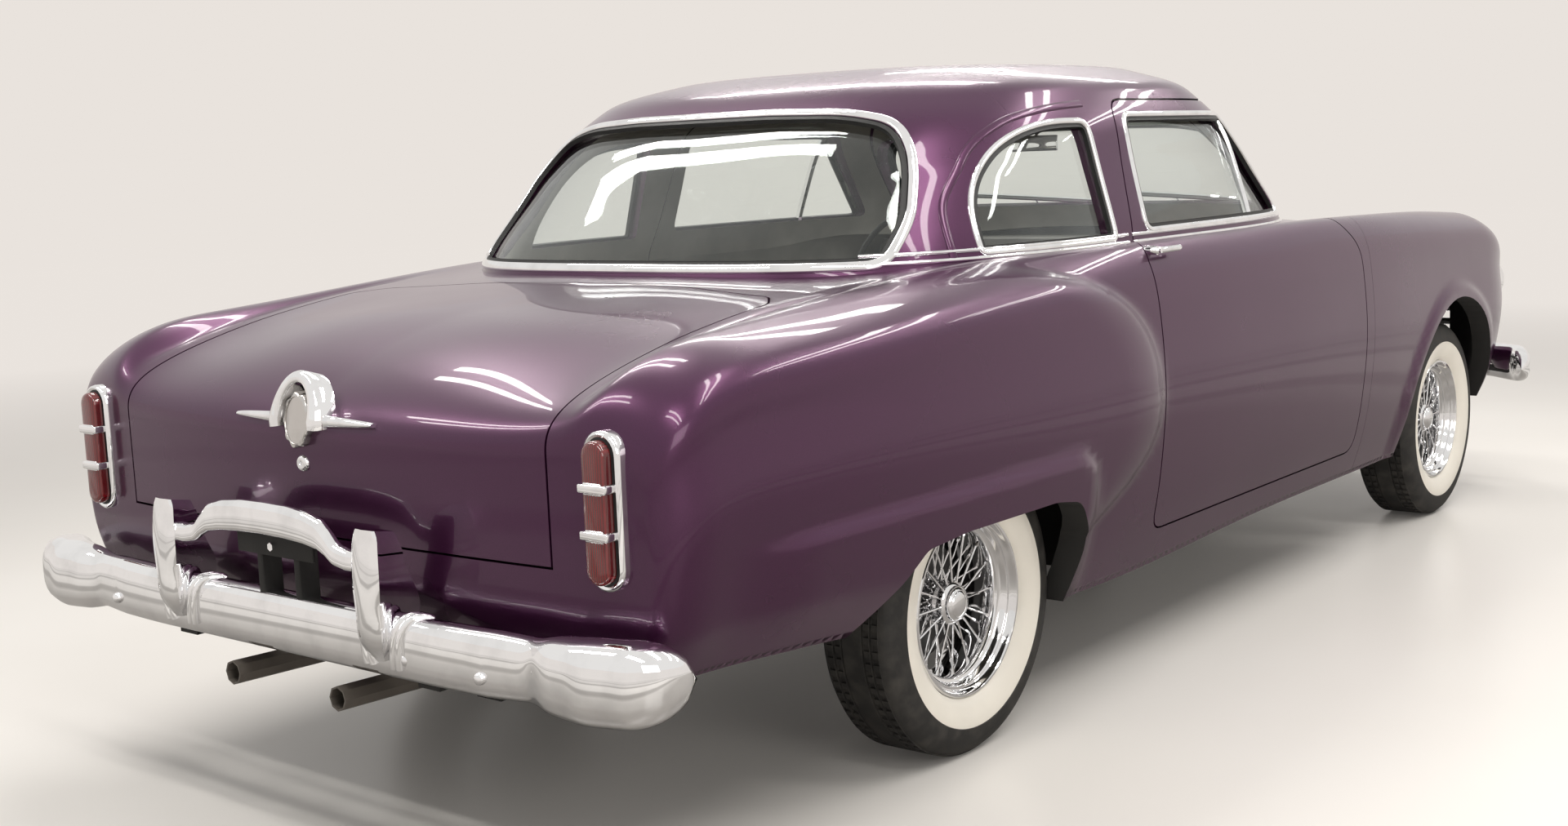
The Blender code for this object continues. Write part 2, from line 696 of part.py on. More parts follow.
def body_solid(name, rows, side=0.0, top=0.0, end=0.0, skirt=0.0):
    """The lower body as a solid, outer skin or inner hollow."""
    nose = NOSE_Y + end
    tail = TAIL_Y - end
    ends = END_STATION_SHARES if end <= 0.0 else END_STATION_SHARES[::2]
    stations = [nose + NOSE_DROP_Y * share for share in ends]
    stations += [tail - DECK_DROP_Y * share for share in ends]
    first = nose + NOSE_DROP_Y
    last = tail - DECK_DROP_Y
    count = LONG_STATIONS if end <= 0.0 else LONG_STATIONS * 2 // 3
    stations += [first + (last - first) * i / count for i in range(1, count)]
    rings = [section(y, rows, side, top, end, skirt) for y in sorted(stations)]
    front_rings = closing_rings(rings[0], nose, tail - nose, 0.0)
    back_rings = closing_rings(rings[-1], tail, 0.0, tail - nose)
    return loft(name, front_rings[::-1] + rings + back_rings)


def green_ring(level, inset, count):
    """One ring of the greenhouse, half of it, from the rear centre to the front centre."""
    table = np.asarray(GREEN_RING_SHARES)
    half, rear, front = spline(table[:, 0], table[:, 1:], level)[0]
    ease = 1.2 * max(level - 0.5, 0.0)
    power_rear = GREEN_REAR_POWER + (GREEN_TOP_POWER - GREEN_REAR_POWER) * ease
    power_front = GREEN_FRONT_POWER + (GREEN_TOP_POWER - GREEN_FRONT_POWER) * ease
    least = 0.02 * GREEN_HALF
    width = max(GREEN_HALF * half - inset, least)
    back = max((GREEN_REAR_Y - GREEN_MID_Y) * rear - inset, least)
    ahead = max((GREEN_MID_Y - GREEN_FRONT_Y) * front - inset, least)
    ring = []
    for i in range(count + 1):
        angle = math.pi * i / count
        cosine, sine = math.cos(angle), math.sin(angle)
        reach, power = (back, power_rear) if cosine >= 0 else (ahead, power_front)
        x = width * abs(sine) ** (2.0 / power)
        y = GREEN_MID_Y + math.copysign(reach * abs(cosine) ** (2.0 / power), cosine)
        ring.append((x if 0 < i < count else 0.0, y))
    return ring


def green_solid(name, inset=0.0, drop_z=0.0, count=GREEN_SIDES):
    """The cabin above the belt as a solid."""
    base = GREEN_BASE_Z - drop_z
    top = ROOF_Z - inset
    levels = (0.0, 0.14, 0.35, 0.55, 0.72, 0.81, 0.885, 0.94, 0.98, 1.0)
    bm = bmesh.new()
    loops = []
    for level in levels:
        z = GREEN_BASE_Z + (top - GREEN_BASE_Z) * level if level else base
        half = green_ring(level, inset, count)
        loop = [bm.verts.new((x, y, z)) for x, y in half]
        loop += [bm.verts.new((-x, y, z)) for x, y in half[-2:0:-1]]
        loops.append(loop)
    for one, two in zip(loops, loops[1:]):
        for i in range(len(one)):
            j = (i + 1) % len(one)
            bm.faces.new((one[i], one[j], two[j], two[i]))
    bm.faces.new(loops[0])
    bm.faces.new(loops[-1])
    bmesh.ops.triangulate(bm, faces=bm.faces)
    return finish(name, bm, None, True)


def grown(outline, amount):
    """Offset a closed outline outwards by an amount, inwards if it is negative."""
    count = len(outline)
    area = sum(outline[i][0] * outline[(i + 1) % count][1] - outline[(i + 1) % count][0] * outline[i][1]
               for i in range(count))
    sign = 1.0 if area > 0 else -1.0
    out = []
    for i in range(count):
        before = Vector(outline[i]) - Vector(outline[i - 1])
        after = Vector(outline[(i + 1) % count]) - Vector(outline[i])
        one = Vector((before.y, -before.x)).normalized() * sign
        two = Vector((after.y, -after.x)).normalized() * sign
        middle = (one + two).normalized()
        stretch = 1.0 / max(middle.dot(one), 0.5)
        out.append(tuple(Vector(outline[i]) + middle * amount * stretch))
    return out


def arc(centre, radii, start, stop, count):
    """Points on an ellipse between two angles in degrees."""
    points = []
    for i in range(count + 1):
        angle = math.radians(start + (stop - start) * i / count)
        points.append((centre[0] + radii[0] * math.cos(angle), centre[1] + radii[1] * math.sin(angle)))
    return points


def door_outline():
    """Shut line of a door in side view."""
    corner = (DOOR_CORNER, DOOR_CORNER)
    shoulder_z = BELT_Z - 3 * DOOR_CORNER
    points = [(DOOR_FRONT_Y, DOOR_BOTTOM_Z + DOOR_CORNER), (DOOR_FRONT_Y, shoulder_z)]
    points += arc((DOOR_PILLAR_Y, shoulder_z), (DOOR_PILLAR_Y - DOOR_FRONT_Y, 3.4 * DOOR_CORNER), 160, 110, 3)
    points += [(DOOR_PILLAR_Y + 0.2 * DOOR_CORNER, BELT_Z + 0.8 * DOOR_CORNER)]
    points += [(DOOR_HEAD_Y, DOOR_TOP_Z - DOOR_CORNER), (DOOR_HEAD_Y + 1.5 * DOOR_CORNER, DOOR_TOP_Z)]
    points += [(DOOR_REAR_Y - 1.5 * DOOR_CORNER, DOOR_TOP_Z)]
    points += [(DOOR_REAR_Y - DOOR_CORNER, DOOR_TOP_Z - DOOR_CORNER)]
    points += [(DOOR_REAR_Y - 0.5 * DOOR_CORNER, BELT_Z + 0.6 * DOOR_CORNER)]
    points += [(DOOR_REAR_Y, BELT_Z - DOOR_CORNER)]
    points += arc((DOOR_REAR_Y - DOOR_CORNER, DOOR_BOTTOM_Z + DOOR_CORNER), corner, 0, -90, 3)
    points += arc((DOOR_FRONT_Y + DOOR_CORNER, DOOR_BOTTOM_Z + DOOR_CORNER), corner, -90, -150, 2)
    return points


def door_window_outline():
    """Opening of the door window with its vent."""
    return [(VENT_SILL_Y, WINDOW_SILL_Z), (WINDOW_REAR_Y + 0.3 * DOOR_CORNER, WINDOW_SILL_Z),
            (WINDOW_REAR_Y, WINDOW_HEAD_Z), (VENT_HEAD_Y, WINDOW_HEAD_Z)]


def quarter_window_outline():
    """Half-round window behind the door."""
    span = QUARTER_REAR_Y - QUARTER_FRONT_Y
    rise = QUARTER_HEAD_Z - QUARTER_SILL_Z
    points = [(QUARTER_FRONT_Y, QUARTER_SILL_Z)]
    points += arc((QUARTER_FRONT_Y + 0.137 * span, QUARTER_SILL_Z), (0.863 * span, rise), 0, 90, 8)
    points += [(QUARTER_FRONT_Y, QUARTER_HEAD_Z)]
    return points


def end_window_outline(half, head_half, sill, head):
    """Opening of the windshield or the rear window seen along the car."""
    rise = head - sill
    right = [(half, sill), (half, sill + 0.25 * rise), (0.5 * (half + head_half), sill + 0.66 * rise),
             (head_half, head - 0.10 * rise), (0.8 * head_half, head - 0.02 * rise), (0.4 * head_half, head)]
    return right + [(-x, z) for x, z in reversed(right)]


def end_windows():
    """Rear window and windshield: each its outline and how far its cut reaches along the car."""
    rear = end_window_outline(REAR_GLASS_HALF, REAR_GLASS_HEAD_HALF, REAR_GLASS_SILL_Z, REAR_GLASS_HEAD_Z)
    shield = end_window_outline(SHIELD_HALF, SHIELD_HEAD_HALF, SHIELD_SILL_Z, SHIELD_HEAD_Z)
    wide = 2 * HALF_WIDTH
    return ((rear, GREEN_MID_Y + wide / 3, GREEN_REAR_Y + OVERRUN),
            (shield, GREEN_FRONT_Y - OVERRUN, GREEN_MID_Y - wide / 5))


def rear_arch_outline():
    """Low opening over the rear wheel."""
    corner = REAR_ARCH_CORNER
    points = [(REAR_ARCH_FRONT_Y, -OVERRUN)]
    points += arc((REAR_ARCH_FRONT_Y + corner, REAR_ARCH_TOP_Z - corner), (corner, corner), 180, 90, 4)
    points += [(REAR_ARCH_BACK_Y - corner, REAR_ARCH_TOP_Z)]
    points += [(REAR_ARCH_BACK_Y, REAR_ARCH_TOP_Z - 0.1 * corner)]
    points += [(REAR_ARCH_TAIL_Y, SILL_Z + corner), (REAR_ARCH_TAIL_Y, -OVERRUN)]
    return points


def front_arch_outline():
    """Round opening over the front wheel."""
    radii = (FRONT_ARCH_RADIUS, FRONT_ARCH_TOP_Z - HUB_Z)
    points = [(FRONT_ARCH_Y - FRONT_ARCH_RADIUS, -OVERRUN)]
    points += arc((FRONT_ARCH_Y, HUB_Z), radii, 180, 0, 12)
    points += [(FRONT_ARCH_Y + FRONT_ARCH_RADIUS, -OVERRUN)]
    return points


def sheet_metal():
    """The hollow body with its windows, arches and grille cut."""
    rows = np.linspace(0.0, 1.0, SKIN_ROWS)
    skin = body_solid("skin", rows)
    cabin = green_solid("cabin")
    cut_sheet(skin, cabin, "UNION")
    hollow_rows = np.linspace(0.0, 1.0, HOLLOW_ROWS)
    hollow = body_solid("hollow", hollow_rows, SIDE_WALL, TOP_WALL, END_WALL, OVERRUN)
    room = green_solid("room", ROOF_WALL, 3 * TOP_WALL, GREEN_SIDES * 3 // 4)
    cut_sheet(hollow, room, "UNION")
    cut_sheet(skin, hollow, "DIFFERENCE")
    wide = 2 * HALF_WIDTH
    sides = (door_window_outline(), quarter_window_outline(), rear_arch_outline(), front_arch_outline())
    cuts = [prism("side_cut", outline, "X", -wide, wide, cutter=True) for outline in sides]
    rear, shield = end_windows()
    cuts.append(prism("rear_cut", rear[0], "Y", rear[1], rear[2], cutter=True))
    cuts.append(prism("shield_cut", shield[0], "Y", shield[1], shield[2], cutter=True))
    cuts.append(box("grille_cut", (-GRILLE_HALF, NOSE_Y - OVERRUN, GRILLE_LOW_Z),
                    (GRILLE_HALF, NOSE_Y + OVERRUN, GRILLE_HIGH_Z), cutter=True))
    for side in (1, -1):
        place = (side * LAMP_X, NOSE_Y, LAMP_Z)
        cuts.append(disc("lamp_cut", LAMP_RADIUS, 2 * OVERRUN, place, "Y", cutter=True))
    for cut in cuts:
        cut_sheet(skin, cut, "DIFFERENCE")
        drop(cut)
    drop(cabin, hollow, room)
    return skin


def lid_outline(gap):
    """Trunk lid seen from above, grown by a gap."""
    points = [(LID_HALF, TAIL_Y + OVERRUN), (LID_HALF, LID_CORNER_Y)]
    points += [(0.92 * LID_HALF, LID_CORNER_Y - LID_CORNER_RUN), (0.5 * LID_HALF, LID_FRONT_Y + LID_CROWN)]
    points += [(0, LID_FRONT_Y)]
    return grown(points + [(-x, y) for x, y in points[-2::-1]], gap)


def panels(shell):
    """Cut doors, hood, lid and front fenders from the shell; return the moving ones and the rest."""
    made = {}
    reach = 1.5 * HALF_WIDTH
    inner = 0.55 * HALF_WIDTH
    for side, word in ((1, "left"), (-1, "right")):
        low, high = sorted((side * inner, side * reach))
        plug = prism("door_plug", door_outline(), "X", low, high, cutter=True)
        hole = prism("door_hole", grown(door_outline(), SWING_GAP), "X", low - OVERRUN * (side < 0),
                     high + OVERRUN * (side > 0), cutter=True)
        door = copy_of(shell, "door_" + word, PAINT)
        cut_sheet(door, plug, "INTERSECT")
        made["door_" + word] = (door, hole)
        drop(plug)
    plug = prism("lid_plug", lid_outline(0.0), "Z", LID_BOTTOM_Z, ROOF_Z, cutter=True)
    hole = prism("lid_hole", lid_outline(SHUT_GAP), "Z", LID_BOTTOM_Z - SHUT_GAP, ROOF_Z + OVERRUN,
                 cutter=True)
    lid = copy_of(shell, "trunk_lid", PAINT)
    cut_sheet(lid, plug, "INTERSECT")
    made["trunk_lid"] = (lid, hole)
    drop(plug)
    hood_low = (-HOOD_HALF, NOSE_Y - OVERRUN, HOOD_BOTTOM_Z)
    hood_high = (HOOD_HALF, HOOD_REAR_Y, ROOF_Z)
    plug = box("hood_plug", hood_low, hood_high, cutter=True)
    hole = box("hood_hole", (-HOOD_HALF - SHUT_GAP, NOSE_Y - 2 * OVERRUN, HOOD_BOTTOM_Z - SHUT_GAP),
               (HOOD_HALF + SHUT_GAP, HOOD_REAR_Y + SHUT_GAP, ROOF_Z + OVERRUN), cutter=True)
    hood = copy_of(shell, "hood", PAINT)
    cut_sheet(hood, plug, "INTERSECT")
    made["hood"] = (hood, hole)
    drop(plug)
    for _, hole in made.values():
        cut_sheet(shell, hole, "DIFFERENCE")
        drop(hole)
    cowl = DOOR_FRONT_Y - SWING_GAP - HINGE_POST
    step = HOOD_HALF + 4 * SHUT_GAP
    for side, word in ((1, "left"), (-1, "right")):
        outline = [(side * SEAT_GAP / 2, NOSE_Y - OVERRUN), (side * reach, NOSE_Y - OVERRUN),
                   (side * reach, cowl), (side * step, cowl), (side * step, HOOD_REAR_Y),
                   (side * SEAT_GAP / 2, HOOD_REAR_Y)]
        plug = prism("fender_plug", outline, "Z", -OVERRUN, ROOF_Z + OVERRUN, cutter=True)
        fender = copy_of(shell, "front_fender_" + word, PAINT)
        cut_sheet(fender, plug, "INTERSECT")
        made["front_fender_" + word] = (fender, None)
        drop(plug)
    outline = [(-reach, NOSE_Y - 2 * OVERRUN), (reach, NOSE_Y - 2 * OVERRUN), (reach, cowl + SEAT_GAP),
               (step - SEAT_GAP, cowl + SEAT_GAP), (step - SEAT_GAP, HOOD_REAR_Y + SEAT_GAP),
               (-step + SEAT_GAP, HOOD_REAR_Y + SEAT_GAP), (-step + SEAT_GAP, cowl + SEAT_GAP),
               (-reach, cowl + SEAT_GAP)]
    hole = prism("front_hole", outline, "Z", -2 * OVERRUN, ROOF_Z + 2 * OVERRUN, cutter=True)
    cut_sheet(shell, hole, "DIFFERENCE")
    drop(hole)
    shell.name = "body_shell"
    shell.data.materials.clear()
    shell.data.materials.append(material(*PAINT))
    return {name: pair[0] for name, pair in made.items()}


def top_wall_z(x, y):
    """Height of the middle of the top panel over a place in plan."""
    ring = section(y, np.linspace(0.5, 1.0, 12), SIDE_WALL / 2, TOP_WALL / 2, END_WALL / 2)
    return float(np.interp(x, [p[0] for p in ring][::-1], [p[2] for p in ring][::-1]))


def hinge_arms(panel, x, panel_y, seat_y, seat_z):
    """Two cranked arms from a panel's underside to what carries its hinge."""
    back = math.copysign(ARM_THICK, panel_y - seat_y)
    arms = []
    for place in (x, -x):
        low_y, high_y = sorted((panel_y - back, panel_y + back))
        arms.append(box("leg", (place - ARM_THICK, low_y, seat_z - ARM_THICK / 2),
                        (place + ARM_THICK, high_y, top_wall_z(x, panel_y))))
        low_y, high_y = sorted((panel_y, seat_y))
        arms.append(box("foot", (place - ARM_THICK, low_y, seat_z - ARM_THICK / 2),
                        (place + ARM_THICK, high_y, seat_z + ARM_THICK / 2)))
    return join_into(panel, arms)


def hinge_leaves(door, side):
    """Two leaves that carry a door on its hinge post."""
    leaves = []
    low_x, high_x = sorted((side * (HALF_WIDTH - 0.75 * SIDE_WALL), side * (HALF_WIDTH - 0.45 * SIDE_WALL)))
    for share in LEAF_Z_SHARES:
        z = DOOR_BOTTOM_Z + share * (BELT_Z - DOOR_BOTTOM_Z)
        leaves.append(box("leaf", (low_x, DOOR_FRONT_Y - SWING_GAP + SEAT_GAP, z - LEAF_HALF_Z),
                          (high_x, DOOR_FRONT_Y + SWING_GAP, z + LEAF_HALF_Z)))
    return join_into(door, leaves)


def frame_ends(side):
    """Bumper arms, suspension arms with their eyes, and the tower of one side of the frame."""
    bumper_top = BUMPER_Z + 0.5 * BUMPER_HALF_Z
    rear_face = BUMPER_Y - BAR_FLAT - SEAT_GAP
    front_face = FRONT_BUMPER_Y + BAR_FLAT + SEAT_GAP
    low_z = TAIL_RAIL_TOP_Z - 0.9 * RAIL_HALF
    high_z = TAIL_RAIL_TOP_Z - 0.1 * RAIL_HALF
    hook = [(RAIL_REACH_Y - RAIL_HALF, low_z), (rear_face, low_z), (rear_face, bumper_top),
            (rear_face - RAIL_HALF, bumper_top), (rear_face - RAIL_HALF, high_z),
            (RAIL_REACH_Y - RAIL_HALF, high_z)]
    half = 0.9 * RAIL_HALF
    low_x, high_x = side * RAIL_X - half, side * RAIL_X + half
    made = [prism("arm", hook, "X", low_x, high_x),
            box("arm", (low_x, front_face, RAIL_LOW_Z + NOSE_KICK_Z + 0.1 * RAIL_HALF),
                (high_x, RAIL_NOSE_Y + RAIL_HALF / 2, bumper_top)),
            box("tower", (side * RAIL_X - RAIL_HALF, FRONT_AXLE_Y - 2 * KNUCKLE_HALF, RAIL_LOW_Z + RAIL_HALF),
                (side * RAIL_X + RAIL_HALF, FRONT_AXLE_Y + 2 * KNUCKLE_HALF, ARM_HIGH_Z + KNUCKLE_HALF))]
    low_x, high_x = sorted((side * (RAIL_X - RAIL_HALF), side * KINGPIN_X))
    for arm_z in (ARM_LOW_Z, ARM_HIGH_Z):
        made.append(box("arm", (low_x, FRONT_AXLE_Y - ARM_EYE, arm_z - ARM_HALF),
                        (high_x, FRONT_AXLE_Y + ARM_EYE, arm_z + ARM_HALF)))
        eye = (side * KINGPIN_X, FRONT_AXLE_Y, arm_z)
        made.append(disc("eye", ARM_EYE, 2 * ARM_HALF, eye, "Z", sides=12))
    return made


def chassis_frame():
    """Two side rails that kick up over the rear axle, with cross members and bumper arms."""
    lift_front = KICK_FRONT_Y + KICK_RUN
    lift_rear = KICK_REAR_Y + KICK_RUN
    tail_top = TAIL_RAIL_TOP_Z
    tail_low = RAIL_LOW_Z + 0.45 * KICK_Z
    side_view = [(RAIL_NOSE_Y, RAIL_LOW_Z + NOSE_KICK_Z), (NOSE_KICK_Y, RAIL_LOW_Z),
                 (KICK_FRONT_Y, RAIL_LOW_Z), (lift_front, RAIL_LOW_Z + KICK_Z),
                 (KICK_REAR_Y, RAIL_LOW_Z + KICK_Z), (lift_rear, tail_low), (RAIL_REACH_Y, tail_low),
                 (RAIL_REACH_Y, tail_top), (lift_rear, tail_top), (KICK_REAR_Y, RAIL_TOP_Z + KICK_Z),
                 (lift_front, RAIL_TOP_Z + KICK_Z), (KICK_FRONT_Y, RAIL_TOP_Z), (NOSE_KICK_Y, RAIL_TOP_Z),
                 (RAIL_NOSE_Y, RAIL_TOP_Z + NOSE_KICK_Z)]
    frame = prism("chassis_frame", side_view, "X", RAIL_X - RAIL_HALF, RAIL_X + RAIL_HALF, STEEL)
    others = [prism("rail", side_view, "X", -RAIL_X - RAIL_HALF, -RAIL_X + RAIL_HALF)]
    thin = FLOOR_Z - 3 * FLOOR
    half = 1.5 * RAIL_HALF
    members = ((NOSE_Y + 4 * half, RAIL_LOW_Z, RAIL_TOP_Z), (FRONT_AXLE_Y, RAIL_LOW_Z, RAIL_TOP_Z),
               (DOOR_FRONT_Y + 4 * half, thin, RAIL_TOP_Z), (DOOR_REAR_Y, thin, RAIL_TOP_Z),
               (KICK_REAR_Y - half, RAIL_LOW_Z + KICK_Z, RAIL_TOP_Z + KICK_Z),
               (TAIL_CROSS_Y, tail_top - RAIL_HALF, tail_top))
    for y, low, high in members:
        others.append(box("cross", (-RAIL_X, y - half, low), (RAIL_X, y + half, high)))
    for side in (1, -1):
        others += frame_ends(side)
    return join_into(frame, others)


def inner_solid(name):
    """The hollow of the lower body, a seat gap smaller, to trim what seats inside it."""
    rows = np.linspace(0.0, 1.0, HOLLOW_ROWS)
    return body_solid(name, rows, SIDE_WALL + SEAT_GAP, TOP_WALL + SEAT_GAP, END_WALL + SEAT_GAP, OVERRUN)


def tunnel_gate(y):
    """Cutter for the mouth of the tunnel at y."""
    return box("tunnel_gate", (-TUNNEL_HALF, y - OVERRUN, 0.0), (TUNNEL_HALF, y + OVERRUN, TUNNEL_Z - FLOOR),
               cutter=True)


def floor_pan():
    """Cabin floor with its tunnel, the step up to the trunk floor, and the firewall."""
    high = FLOOR_Z + FLOOR
    reach = HALF_WIDTH
    step_y = KICK_FRONT_Y - 2 * FLOOR
    trunk_top = TRUNK_FLOOR_Z + FLOOR
    hat = [(-reach, FLOOR_Z), (-TUNNEL_HALF, FLOOR_Z), (-TUNNEL_HALF, TUNNEL_Z - FLOOR),
           (TUNNEL_HALF, TUNNEL_Z - FLOOR), (TUNNEL_HALF, FLOOR_Z), (reach, FLOOR_Z), (reach, high),
           (TUNNEL_HALF + FLOOR, high), (TUNNEL_HALF + FLOOR, TUNNEL_Z), (-TUNNEL_HALF - FLOOR, TUNNEL_Z),
           (-TUNNEL_HALF - FLOOR, high), (-reach, high)]
    pan = prism("floor_pan", hat, "Y", FIREWALL_Y, KICK_FRONT_Y - FLOOR, STEEL)
    riser = box("riser", (-reach, step_y, FLOOR_Z), (reach, KICK_FRONT_Y - FLOOR / 2, trunk_top))
    trunk = box("trunk_floor", (-reach, step_y, TRUNK_FLOOR_Z), (reach, TAIL_Y + OVERRUN, trunk_top))
    wall = box("firewall", (-reach, FIREWALL_Y, FLOOR_Z), (reach, FIREWALL_Y + FLOOR, BELT_Z))
    for thing, y in ((riser, KICK_FRONT_Y), (wall, FIREWALL_Y)):
        gate = tunnel_gate(y)
        boolean(thing, gate, "DIFFERENCE")
        drop(gate)
    join_into(pan, [riser, trunk, wall])
    inside = inner_solid("inside")
    cut_sheet(pan, inside, "INTERSECT")
    for side in (1, -1):
        low_x, high_x = sorted((side * WHEELHOUSE_X, side * 2 * reach))
        well = box("well", (low_x, REAR_ARCH_FRONT_Y - 3 * FLOOR, 0.0), (high_x, REAR_ARCH_TAIL_Y, ROOF_Z),
                   cutter=True)
        boolean(pan, well, "DIFFERENCE")
        drop(well)
    drop(inside)
    return pan


def rear_shelf():
    """Shelf under the rear window."""
    shelf = box("rear_shelf", (-HALF_WIDTH, SHELF_FRONT_Y, SHELF_Z),
                (HALF_WIDTH, SHELF_REAR_Y, SHELF_Z + FLOOR), CLOTH)
    inside = inner_solid("inside")
    cut_sheet(shelf, inside, "INTERSECT")
    drop(inside)
    return shelf


def bench(name, front_y, rest_z, seat_z, back_y, back_z):
    """A bench seat as one rounded solid seen from the side, from its plinth to its back."""
    thick = 4 * SEAT_ROUND
    outline = [(front_y + SEAT_ROUND, rest_z), (front_y, seat_z - SEAT_ROUND), (front_y + SEAT_ROUND, seat_z),
               (back_y - thick, seat_z - SEAT_ROUND), (back_y - SEAT_ROUND, back_z - SEAT_ROUND),
               (back_y, back_z), (back_y + 1.5 * SEAT_ROUND, back_z),
               (back_y + 2.5 * SEAT_ROUND, back_z - SEAT_ROUND), (back_y, rest_z)]
    return prism(name, outline, "X", -SEAT_HALF, SEAT_HALF, CLOTH)


def seats():
    """Front and rear benches."""
    front = bench("front_seat", 0.02 * WHEELBASE - SEAT_ROUND, FLOOR_Z + FLOOR + SEAT_GAP, 0.52 * BELT_Z,
                  0.19 * WHEELBASE, 0.90 * BELT_Z)
    tunnel = box("tunnel_cut", (-TUNNEL_HALF - FLOOR - SEAT_GAP, -WHEELBASE, 0.0),
                 (TUNNEL_HALF + FLOOR + SEAT_GAP, WHEELBASE, TUNNEL_Z + SEAT_GAP), cutter=True)
    boolean(front, tunnel, "DIFFERENCE")
    rear = bench("rear_seat", KICK_FRONT_Y - 6 * SEAT_ROUND, FLOOR_Z + FLOOR + SEAT_GAP, 0.56 * BELT_Z,
                 SHELF_FRONT_Y - SEAT_ROUND, 0.90 * BELT_Z)
    step = box("step_cut", (-HALF_WIDTH, KICK_FRONT_Y - 2 * FLOOR - SEAT_GAP, 0.0),
               (HALF_WIDTH, TAIL_Y, TRUNK_FLOOR_Z + FLOOR + SEAT_GAP), cutter=True)
    for cut in (tunnel, step):
        boolean(rear, cut, "DIFFERENCE")
    drop(tunnel, step)
    return front, rear


def column_axis():
    """Direction of the steering column, from the dash towards the driver."""
    return Vector((0, math.cos(COLUMN_TILT), math.sin(COLUMN_TILT)))


def dashboard():
    """Padded dash panel with the steering column."""
    back = FIREWALL_Y + FLOOR + SEAT_GAP
    depth = DASH_Y - back
    outline = [(back, DASH_LOW_Z + 0.5 * depth), (back + 0.5 * depth, DASH_LOW_Z),
               (DASH_Y - 0.1 * depth, DASH_LOW_Z), (DASH_Y, DASH_HIGH_Z - 0.15 * depth),
               (DASH_Y - 0.1 * depth, DASH_HIGH_Z), (back, DASH_HIGH_Z)]
    dash = prism("dashboard", outline, "X", -DASH_HALF, DASH_HALF, PAINT)
    inside = inner_solid("inside")
    cut_sheet(dash, inside, "INTERSECT")
    drop(inside)
    start = WHEEL_AT - column_axis() * 2.0 * STEERING_RADIUS
    stop = WHEEL_AT - column_axis() * (STEERING_HUB / 2 + SEAT_GAP)
    column = tube("column", (tuple(start), tuple(stop)), 0.09 * STEERING_RADIUS, STEEL)
    return join_into(dash, [column])


def steering_wheel():
    """Large thin rim with three spokes and a hub, square to its column."""
    rod = arc((STEERING_RADIUS, 0.0), (STEERING_ROD, STEERING_ROD), 0, 300, 5)
    ring = turned("steering_wheel", rod, 24, STEEL)
    others = [disc("hub", STEERING_HUB, STEERING_HUB, (0, 0, 0), "Z", sides=12)]
    for k in range(3):
        angle = math.radians(90 + 120 * k)
        tip = (STEERING_RADIUS * math.cos(angle), STEERING_RADIUS * math.sin(angle), 0)
        others.append(tube("spoke", ((0, 0, 0), tip), 0.03 * STEERING_RADIUS, STEEL, 1))
    wheel = join_into(ring, others)
    tilt = Matrix.Rotation(-(math.pi / 2 - COLUMN_TILT), 4, "X")
    wheel.data.transform(Matrix.Translation(WHEEL_AT) @ tilt)
    return wheel


def engine():
    """Straight engine with its gearbox, as one plain block."""
    block = box("engine_block", (-0.055 * WHEELBASE, NOSE_Y + 0.15 * WHEELBASE, FLOOR_Z),
                (0.055 * WHEELBASE, FIREWALL_Y - 0.04 * WHEELBASE, 0.70 * BELT_Z), IRON)
    gearbox = box("gearbox", (-0.8 * TUNNEL_HALF, FIREWALL_Y - 0.06 * WHEELBASE, FLOOR_Z + FLOOR),
                  (0.8 * TUNNEL_HALF, FIREWALL_Y + 0.15 * WHEELBASE, TUNNEL_Z - 2 * FLOOR), IRON)
    return join_into(block, [gearbox])


def fuel_tank():
    """Flat tank under the trunk floor."""
    return box("fuel_tank", (-RAIL_X + 2 * RAIL_HALF, KICK_REAR_Y + KICK_RUN, 0.365 * BELT_Z),
               (RAIL_X - 2 * RAIL_HALF, TAIL_Y - 5 * RAIL_HALF, TRUNK_FLOOR_Z - SEAT_GAP), STEEL)


